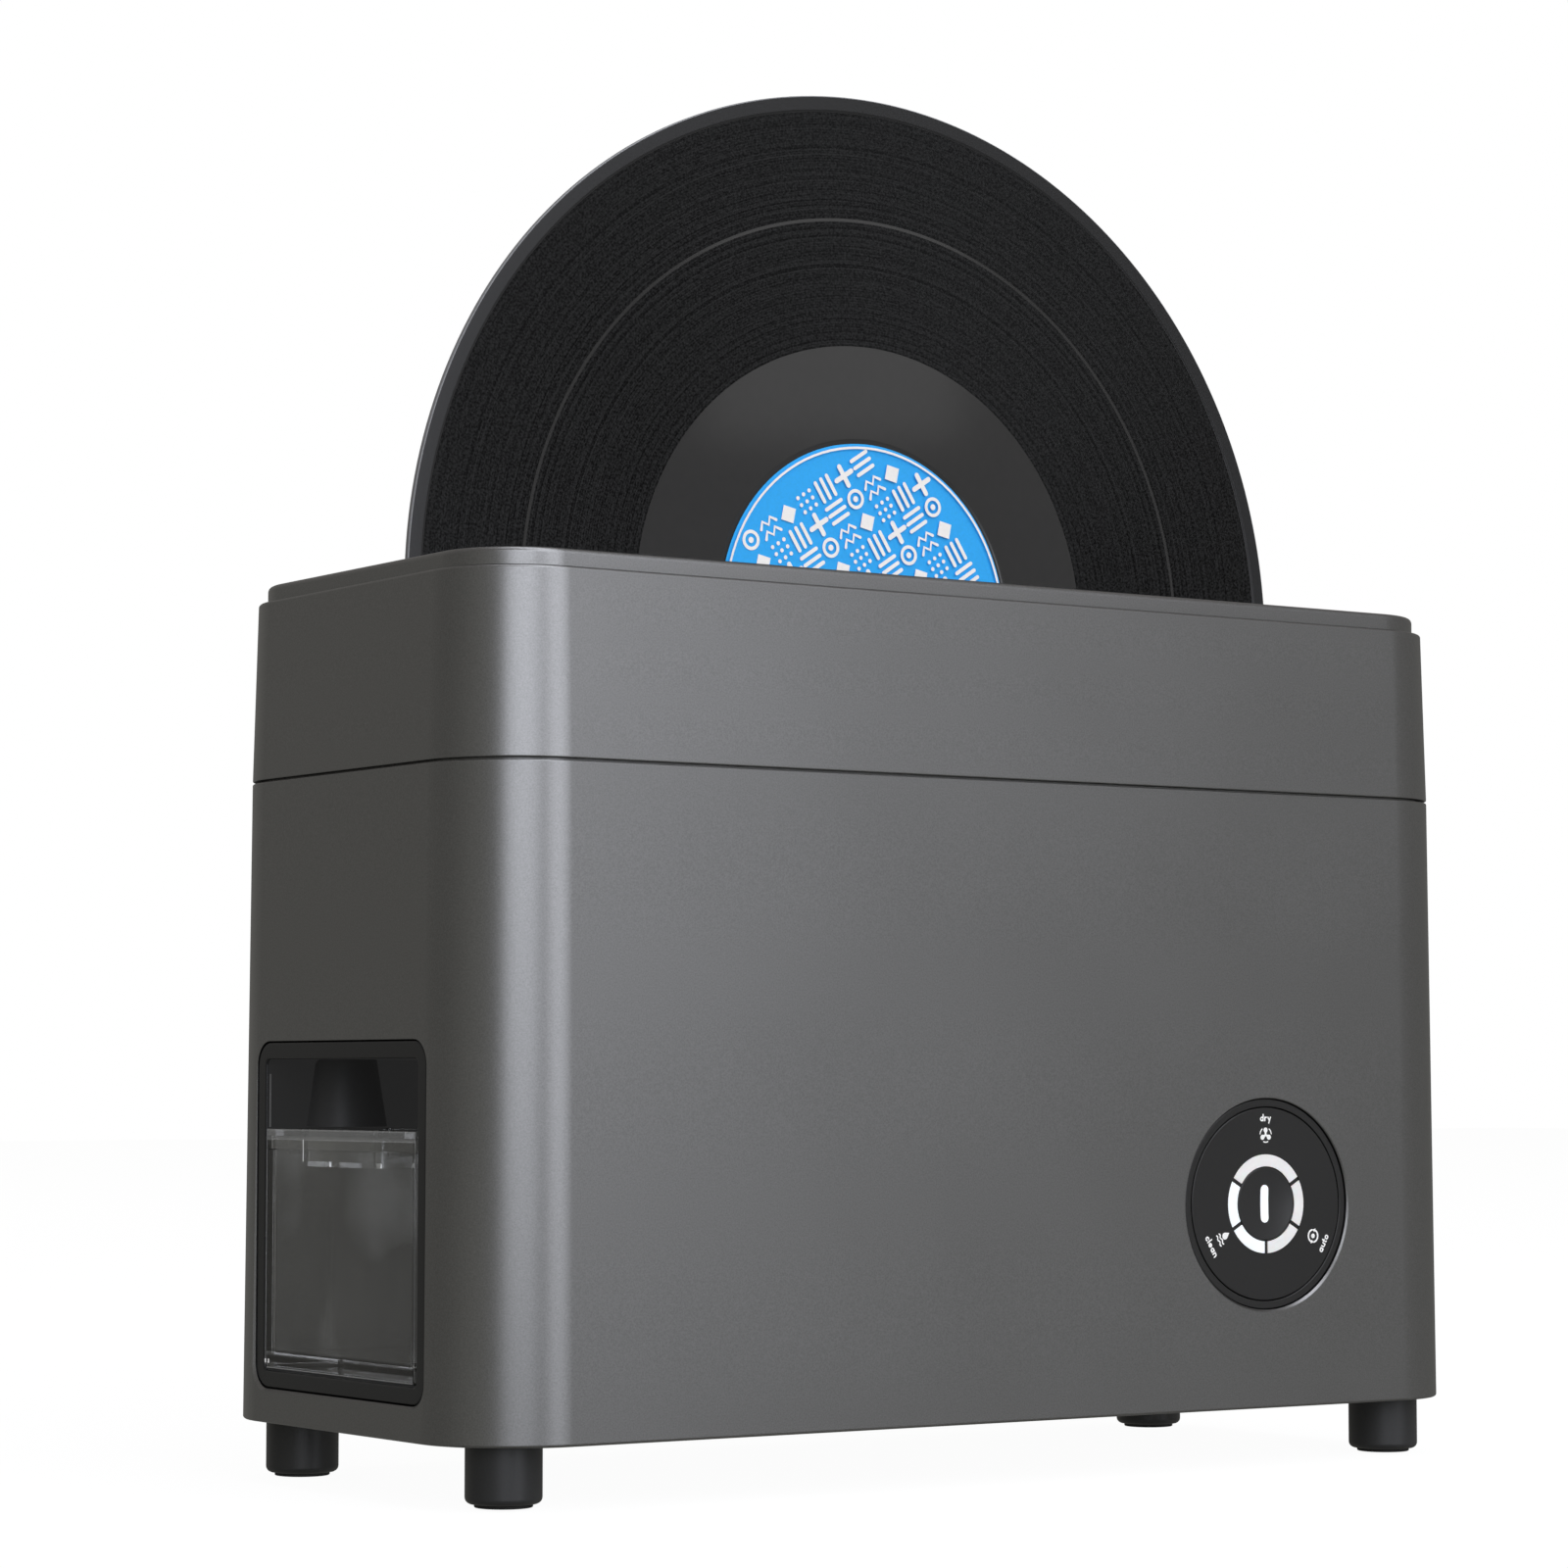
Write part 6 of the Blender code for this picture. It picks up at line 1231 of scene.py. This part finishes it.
def glyph(letter):
    """A rounded letter's strokes and its width, for an x-height of 1."""
    bowl, stem = 0.38, 0.12
    right, middle = stem + 2 * bowl, stem + bowl
    ring = arc((middle, 0.5), bowl, 0, 360, 24)
    left_stem = [(stem, 1 - stem), (stem, stem)]
    right_stem = [(right, 1 - stem), (right, stem)]
    arch = [(stem, 0.5), *arc((middle, 0.5), bowl, 180, 0)[1:], (right, stem)]
    cup = [(stem, 1 - stem), (stem, 0.5), *arc((middle, 0.5), bowl, 180, 360)[1:]]
    hook = [(0.20, 1.28), (0.20, 0.32), (0.26, 0.16), (0.42, stem)]
    shapes = {
        "a": ([ring, right_stem], right + stem),
        "c": ([arc((middle, 0.5), bowl, 48, 312)], right),
        "d": ([ring, [(right, 1.5), (right, stem)]], right + stem),
        "e": ([arc((middle, 0.5), bowl, 0, 315), [(stem, 0.5), (right, 0.5)]], right + stem),
        "l": ([[(stem, 1.5), (stem, stem)]], 2 * stem),
        "n": ([left_stem, arch], right + stem),
        "o": ([ring], right + stem),
        "r": ([left_stem, arc((middle, 0.5), bowl, 180, 75)], middle + 0.16),
        "t": ([hook, [(0.0, 1 - stem), (0.44, 1 - stem)]], 0.5),
        "u": ([cup, right_stem], right + stem),
        "y": ([[(stem, 1 - stem), (0.46, 0.14)], [(0.84, 1 - stem), (0.34, -0.42)]], 0.94),
    }
    return shapes[letter]


def word(text, size, width, spacing):
    """The polygons of a word about its middle."""
    lines, left = [], 0.0
    for letter in text:
        strokes, advance = glyph(letter)
        for line in strokes:
            lines.append([((x + left) * size, (y - 0.5) * size) for x, y in line])
        left += advance + spacing
    shift = (left - spacing) * size / 2
    return [polygon for line in lines for polygon in stroke([(x - shift, y) for x, y in line], width)]


def fan_icon():
    """Three round blades between three arcs."""
    polygons = [dot((0, 0), 0.45, 16)]
    for start in (90, 210, 330):
        turn = Matrix.Rotation(math.radians(start), 2)
        blade = arc((1.36, 0), 0.74, -150, 130, 16) + [(0.45, 0.34), (0.20, -0.10), (0.62, -0.42)]
        polygons.append([turn @ Vector(point) for point in blade])
        polygons += stroke(arc((0, 0), 2.08, start + 38, start + 82, 8), 0.36)
    return polygons


def wash_icon():
    """A drop over two wavy lines, with its tip up."""
    polygons = [[*arc((0, 1.25), 0.98, -208, 28, 22), (0, 3.05)]]
    for level in (-0.30, -1.35):
        wave = [(-1.65 + 0.165 * step, level + 0.20 * math.sin(step * 0.63)) for step in range(21)]
        polygons += stroke(wave, 0.42)
    return polygons


def cycle_icon():
    """Two arrows in a circle round a dot."""
    polygons = [dot((0, 0), 0.68, 18)]
    for start in (-78, 102):
        polygons += stroke(arc((0, 0), 1.76, start, start + 146, 18), 0.52)
        tip, back = math.radians(start + 176), math.radians(start + 142)
        head = [(1.20, back), (2.34, back), (1.80, tip)]
        polygons.append([(reach * math.cos(angle), reach * math.sin(angle)) for reach, angle in head])
    return polygons


def turned_to(polygons, radius, degrees, upright):
    """Polygons moved to a clock angle on the panel, with their tops toward its middle."""
    clock = math.radians(degrees)
    centre = Vector((radius * math.sin(clock), radius * math.cos(clock)))
    turn = Matrix.Rotation(0 if upright else math.pi - clock, 2)
    return [[centre + turn @ Vector(point) for point in polygon] for polygon in polygons]


def printed(name, polygons, place):
    """Flat marks. place gives a point on the surface from distances right, up and out."""
    shape = bmesh.new()
    for layer, polygon in enumerate(polygons):
        out = PRINT_RISE * (1 + LAYER_SHARE * layer)
        shape.faces.new([shape.verts.new(place(point[0] * MM, point[1] * MM, out)) for point in polygon])
    return made(name, shape, clean=False)


def make_markings():
    """The panel's three plain function words with their icons."""
    def on_panel(right, up, out):
        return (PANEL_X + right, -PANEL_FACE - out, PANEL_Z + up)

    marks = (
        ("dry", 24.0, 0.0, True, fan_icon(), 19.5, True),
        ("clean", 23.5, 240.0, False, wash_icon(), 18.9, False),
        ("auto", 24.5, 118.4, False, cycle_icon(), 19.8, True),
    )
    for text, radius, angle, upright, icon, icon_radius, icon_upright in marks:
        letters = turned_to(word(text, size=1.24, width=0.43, spacing=0.27), radius, angle, upright)
        picture = turned_to(icon, icon_radius, angle, icon_upright)
        mark = printed("marking_" + text, letters + picture, on_panel)
        # The print glows faintly as painted light
        dress(mark, "chassis", GLOWING_MARKING, "light_white")


# Record


def make_record():
    """The record with its raised rim and centre."""
    side = (
        (SPINDLE_RADIUS, LABEL_HALF),
        (LABEL_EDGE, LABEL_HALF),
        (LABEL_EDGE + LEAD_IN_RISE, GROOVE_HALF, RECORD_FILLET),
        (GROOVE_INNER_RADIUS, GROOVE_HALF),
        (TRACK_GAP_RADIUS - TRACK_GAP_WIDTH / 2, GROOVE_HALF),
        (TRACK_GAP_RADIUS + TRACK_GAP_WIDTH / 2, GROOVE_HALF),
        (LEAD_IN_RADIUS, GROOVE_HALF, RECORD_FILLET),
        (LEAD_IN_RADIUS + LEAD_IN_RISE, RIM_HALF, RECORD_FILLET),
        (RECORD_RADIUS, RIM_HALF, RIM_EDGE),
    )
    corners = [*side, *[(corner[0], -corner[1], *corner[2:]) for corner in reversed(side)]]
    record = lathe("vinyl_record", filleted(corners), RECORD_CENTRE, (0, 1, 0), RECORD_STEPS, closed=True)
    dress(record, "record", VINYL, "vinyl", "record", sharp=RECORD_SHARP_ANGLE)
    recolour(record, GROOVES, on_grooves)
    recolour(record, RIM, lambda place: from_axis(place) > LEAD_IN_RADIUS)
    # A painted highlight on the faces at the record's outer edge
    recolour(record, RIM_HIGHLIGHT, lambda place: from_axis(place) > RECORD_RADIUS - RIM_HIGHLIGHT_WIDTH)


def from_axis(place):
    """A place's distance from the record's axis."""
    return math.hypot(place.x - RECORD_CENTRE.x, place.z - RECORD_CENTRE.z)


def on_grooves(place):
    """Whether a place is on the grooves, outside the smooth bands."""
    smooth = abs(from_axis(place) - TRACK_GAP_RADIUS) < TRACK_GAP_WIDTH / 2
    return GROOVE_INNER_RADIUS < from_axis(place) < LEAD_IN_RADIUS - GAP and not smooth


def make_labels():
    """The paper label on each side of the record, with its print."""
    for side_name, out in (("front", -1), ("back", 1)):
        low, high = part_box("record_label_" + side_name)
        near, far = sorted((abs(low.y - RECORD_CENTRE.y), abs(high.y - RECORD_CENTRE.y)))
        edge = ((LABEL_RADIUS, far, LABEL_FILLET), (LABEL_RADIUS, near))
        corners = ((LABEL_HOLE, far), *edge, (LABEL_HOLE, near))
        name = "paper_label_" + side_name
        label = lathe(name, filleted(corners), RECORD_CENTRE, (0, out, 0), LABEL_STEPS, closed=True)
        dress(label, "record", PAPER, "label_paper", "record_label_" + side_name)
        print_label(side_name, out, far)


# The label's print, in millimetres
CELL = 7.6
CELL_TURN = math.radians(33)
CELL_REACH = 3.04
PRINT_RADIUS = LABEL_RADIUS / MM
PRINT_MARGIN = 4.712
HUB_RADIUS = 9
HUB_LINE = 6.2
EDGE_LINE_INSET = 1.2
LINE_PITCH = 2.3
RIM_STROKE = 0.7
STRIPE_STROKE = 1.15
DOT_RADIUS = 0.62
RING_SHARE = 0.8
RING_STROKE = 1.0
HUB_DOT_RADIUS = 0.9
ZIGZAG_STROKE = 0.9
ZIGZAG_RISE = 0.9
ZIGZAG_SHIFT = 1.6
CROSS_STROKE = 1.5


def print_label(side_name, out, height):
    """A generic pattern of bands, dots and stripes on a label."""
    def on_label(right, up, rise):
        return (RECORD_CENTRE.x - out * right, RECORD_CENTRE.y + out * (height + rise), RECORD_CENTRE.z + up)

    polygons = []
    turn = Matrix.Rotation(CELL_TURN, 2)
    cells = range(-int(PRINT_RADIUS / CELL) - 1, int(PRINT_RADIUS / CELL) + 2)
    for across in cells:
        for up in cells:
            centre = turn @ Vector((across * CELL, up * CELL))
            if HUB_RADIUS < centre.length < PRINT_RADIUS - PRINT_MARGIN:
                motif = label_motif((2 * across + 3 * up) % 7)
                polygons += [[centre + turn @ Vector(point) for point in polygon] for polygon in motif]
    for radius in (PRINT_RADIUS - EDGE_LINE_INSET, HUB_LINE):
        polygons += stroke(arc((0, 0), radius, 0, 360, ROUND_STEPS), RIM_STROKE)
    dress(printed("label_pattern_" + side_name, polygons, on_label), "record", PRINT, "label_paper")


def label_motif(kind):
    """One cell of the pattern: stripes, dots, a ring, a zigzag, a cross or a diamond."""
    reach = CELL_REACH
    rows = (-LINE_PITCH, 0, LINE_PITCH)
    if kind in (0, 3):
        turn = Matrix.Rotation(math.radians(90 if kind else 0), 2)
        lines = [[turn @ Vector((-reach, up)), turn @ Vector((reach, up))] for up in rows]
        return [polygon for line in lines for polygon in stroke(line, STRIPE_STROKE)]
    if kind == 1:
        return [dot((x, y), DOT_RADIUS, 12) for x in rows for y in rows]
    if kind == 2:
        ring = stroke(arc((0, 0), reach * RING_SHARE, 0, 360, 28), RING_STROKE)
        return ring + [dot((0, 0), HUB_DOT_RADIUS, 14)]
    if kind == 4:
        peaks = [(-reach + reach / 2 * step, ZIGZAG_RISE if step % 2 else -ZIGZAG_RISE) for step in range(5)]
        lines = [[(x, up + y) for x, y in peaks] for up in (-ZIGZAG_SHIFT, ZIGZAG_SHIFT)]
        return [polygon for line in lines for polygon in stroke(line, ZIGZAG_STROKE)]
    if kind == 5:
        bars = ([(-reach, 0), (reach, 0)], [(0, -reach), (0, reach)])
        return [polygon for bar in bars for polygon in stroke(bar, CROSS_STROKE)]
    return [[(reach, 0), (0, reach), (-reach, 0), (0, -reach)]]


# Back wall


def make_vent():
    """The louvred insert in the back wall."""
    outline = box_outline(VENT_LOW, VENT_HIGH, VENT_CORNER, 0)
    vent = prism("louvre", outline, 1, ((VENT_LOW.y, 0), (VENT_HIGH.y - GAP, 0), (VENT_HIGH.y, -GAP)))
    half_length = (VENT_HIGH.x - VENT_LOW.x) / 2 - VENT_BORDER
    half_height = VENT_SLOT_HEIGHT / 2
    cutters = []
    for index in range(VENT_SLOTS):
        up = (VENT_HIGH.z + VENT_LOW.z) / 2 + VENT_SLOT_PITCH * (index - (VENT_SLOTS - 1) / 2)
        centre = ((VENT_HIGH.x + VENT_LOW.x) / 2, up)
        slot = rounded(half_length, half_height, VENT_SLOT_CORNER, VENT_SLOT_STEPS, centre)
        cutters.append(prism("slot", slot, 1, ((VENT_LOW.y - OVERRUN, 0), (VENT_HIGH.y + OVERRUN, 0))))
    dress(cut(vent, *cutters), "chassis", BLACK, "black_plastic", "rear_vent")


def make_inlet():
    """The direct current socket with its collar, bore and centre pin."""
    face = HALF_DEPTH - lean(INLET_Z) - INLET_SETBACK
    floor = face - INLET_BORE_DEPTH
    corners = (
        (0, face - INLET_PIN),
        (INLET_PIN, face - INLET_PIN, INLET_PIN_EDGE),
        (INLET_PIN, floor),
        (INLET_BORE, floor),
        (INLET_BORE, face, GAP),
        (INLET_COLLAR, face, GAP),
        (INLET_COLLAR, floor - INLET_PIN),
        (0, floor - INLET_PIN),
    )
    profile = filleted(corners, looped=False)
    inlet = lathe("power_socket", profile, (INLET_X, 0, INLET_Z), (0, 1, 0), FINE_ROD_STEPS)
    inner = face - WALL * 2
    low = (INLET_X - INLET_BLOCK, inner - INLET_BLOCK_DEPTH, INLET_Z - INLET_BLOCK)
    body = block("socket_body", low, (INLET_X + INLET_BLOCK, inner, INLET_Z + INLET_BLOCK))
    ends = ((INLET_X, floor, INLET_Z), (INLET_X, inner + OVERRUN, INLET_Z))
    join(inlet, cut(body, rod("socket_bore", *ends, INLET_BODY_BORE, BORE_STEPS)))
    dress(inlet, "chassis", BLACK, "black_plastic", "power_inlet")


# Studio

CAMERA_PLACE = Vector((-0.71634, -1.01391, 0.10913))
CAMERA_YAW = math.radians(34.246)
CAMERA_PITCH = math.radians(3.89)
CAMERA_LENS = 99.24
CAMERA_SENSOR = 36.0
CAMERA_CLIP = 0.01
SOFTBOX_DISTANCE = 4.0
BACKDROP_SHARE = 0.05
FLOOR_GLOW_SHARE = 0.965
FLOOR_PAINT_SHARE = 0.06
FLOOR_HALF = 6
FLOOR_LEVEL = -0.0005

# Azimuth from the front toward the left and elevation in degrees, sharpness, and colour
ROOM_GLOWS = (
    (0, 90, 1.0, (0.115, 0.100, 0.101)),
    (72, 0, 8.0, (0.116, 0.117, 0.107)),
    (165, 5, 6.0, (0.048, 0.046, 0.044)),
    (-70, 0, 6.0, (0.089, 0.089, 0.093)),
    (-40, -25, 6.0, (0.079, 0.078, 0.075)),
)


def make_camera():
    """The camera that was solved from the photograph."""
    camera = bpy.data.cameras.new("camera")
    camera.lens = CAMERA_LENS
    camera.sensor_width = CAMERA_SENSOR
    camera.clip_start = CAMERA_CLIP
    item = placed("camera", camera)
    level = math.cos(CAMERA_PITCH)
    look = Vector((math.sin(CAMERA_YAW) * level, math.cos(CAMERA_YAW) * level, math.sin(CAMERA_PITCH)))
    item.location = CAMERA_PLACE
    item.rotation_euler = look.to_track_quat("-Z", "Y").to_euler()
    bpy.context.scene.camera = item


def direction(azimuth, elevation):
    """The unit vector toward an azimuth, from the front toward the left, and an elevation."""
    turn, rise = math.radians(azimuth), math.radians(elevation)
    return Vector((-math.sin(turn) * math.cos(rise), -math.cos(turn) * math.cos(rise), math.sin(rise)))


def softbox(name, azimuth, elevation, size, radiance, target):
    """A soft light that faces a place and that the camera doesn't see."""
    light = bpy.data.lights.new(name, "AREA")
    light.shape = "RECTANGLE"
    light.size, light.size_y = size
    strength = max(radiance)
    light.energy = strength * math.pi * size[0] * size[1]
    light.color = [value / strength for value in radiance]
    item = placed(name, light)
    away = direction(azimuth, elevation)
    item.location = Vector(target) + away * SOFTBOX_DISTANCE
    item.rotation_euler = (-away).to_track_quat("-Z", "Y").to_euler()
    item.visible_camera = False


def make_lights():
    """Two soft boxes in front of the machine, and a small card that the record mirrors."""
    corner = Vector((-HALF_WIDTH, -HALF_DEPTH, SEAM))
    softbox("softbox_right", -15.3, 48.8, (2.40, 11.0), (2.32, 2.38, 2.58), corner)
    softbox("softbox_left", 25.6, 18.3, (2.76, 3.10), (2.26, 2.33, 2.53), corner)
    above = RECORD_CENTRE + Vector((0, 0, LABEL_RADIUS))
    softbox("card", -34.75, 15.3, (0.31, 0.96), (0.58, 0.58, 0.58), above)


def room_light(tree):
    """The colours of a dim warm room with a few broad glows."""
    toward = add(tree, "ShaderNodeTexCoord").outputs["Generated"]
    cloud = spread(tree, noise(tree, toward, scale=22.0, detail=2.0), low=0.35, high=0.65)
    room = mixed(tree, cloud, (0.111, 0.110, 0.098), (0.195, 0.192, 0.176))
    for azimuth, elevation, power, colour in ROOM_GLOWS:
        near = vector(tree, "DOT_PRODUCT", toward, direction(azimuth, elevation), result="Value")
        narrow = number(tree, "POWER", number(tree, "MAXIMUM", near, 0.0), power)
        part = add(tree, "ShaderNodeVectorMath", {0: colour, "Scale": narrow}, operation="SCALE")
        room = vector(tree, "ADD", room, part.outputs["Vector"])
    return room


def make_world():
    """White where the camera looks past the object, a trace of it in mirrors, and a room."""
    world = bpy.data.worlds.new("studio")
    bpy.context.scene.world = world
    world.use_nodes = True
    tree = world.node_tree
    tree.nodes.clear()
    dim = add(tree, "ShaderNodeBackground", {"Color": room_light(tree), "Strength": 1.0})
    white = add(tree, "ShaderNodeBackground", {"Color": (*WHITE, 1), "Strength": 1.0})
    ray = add(tree, "ShaderNodeLightPath").outputs
    unmirrored = number(tree, "LESS_THAN", ray["Glossy Depth"], 0.5)
    straight = number(tree, "MULTIPLY", ray["Is Transmission Ray"], unmirrored)
    glossy = number(tree, "MULTIPLY", ray["Is Glossy Ray"], BACKDROP_SHARE)
    seen = number(tree, "MAXIMUM", ray["Is Camera Ray"], number(tree, "MAXIMUM", straight, glossy))
    shown = add(tree, "ShaderNodeMixShader", {0: seen, 1: dim.outputs[0], 2: white.outputs[0]})
    add(tree, "ShaderNodeOutputWorld", {"Surface": shown.outputs[0]})


def make_floor():
    """A white floor, clear from below, with a faint trace of the object's shadow."""
    shape = bmesh.new()
    bmesh.ops.create_grid(shape, x_segments=1, y_segments=1, size=FLOOR_HALF)
    for vert in shape.verts:
        vert.co.z = FLOOR_LEVEL
    floor = made("studio_floor", shape)
    material = bpy.data.materials.new("studio_floor")
    material.use_nodes = True
    tree = material.node_tree
    tree.nodes.clear()
    even = add(tree, "ShaderNodeEmission", {"Color": (*WHITE, 1), "Strength": FLOOR_GLOW_SHARE})
    lit = add(tree, "ShaderNodeBsdfDiffuse", {"Color": (*[FLOOR_PAINT_SHARE] * 3, 1)})
    white = add(tree, "ShaderNodeAddShader", {0: even.outputs[0], 1: lit.outputs[0]})
    clear = add(tree, "ShaderNodeBsdfTransparent")
    under = add(tree, "ShaderNodeNewGeometry").outputs["Backfacing"]
    shown = add(tree, "ShaderNodeMixShader", {0: under, 1: white.outputs[0], 2: clear.outputs[0]})
    add(tree, "ShaderNodeOutputMaterial", {"Surface": shown.outputs[0]})
    floor.data.materials.append(material)
    floor.visible_diffuse = False
    floor.visible_glossy = False
    floor.visible_transmission = False
    floor.visible_shadow = False


STEPS = (
    make_camera, dress_nodes,
    make_lower_housing, make_upper_housing, make_lid_cover, make_slot_lining, make_feet,
    make_bay, make_tank_body, make_lid, make_tank_edges,
    make_panel_ring, make_panel_disc, make_light_ring, make_button, make_button_bar, make_markings,
    make_record, make_labels, make_vent, make_inlet,
    make_lights, make_world, make_floor,
)
for step in STEPS:
    step()
bpy.context.scene.view_settings.view_transform = "Standard"
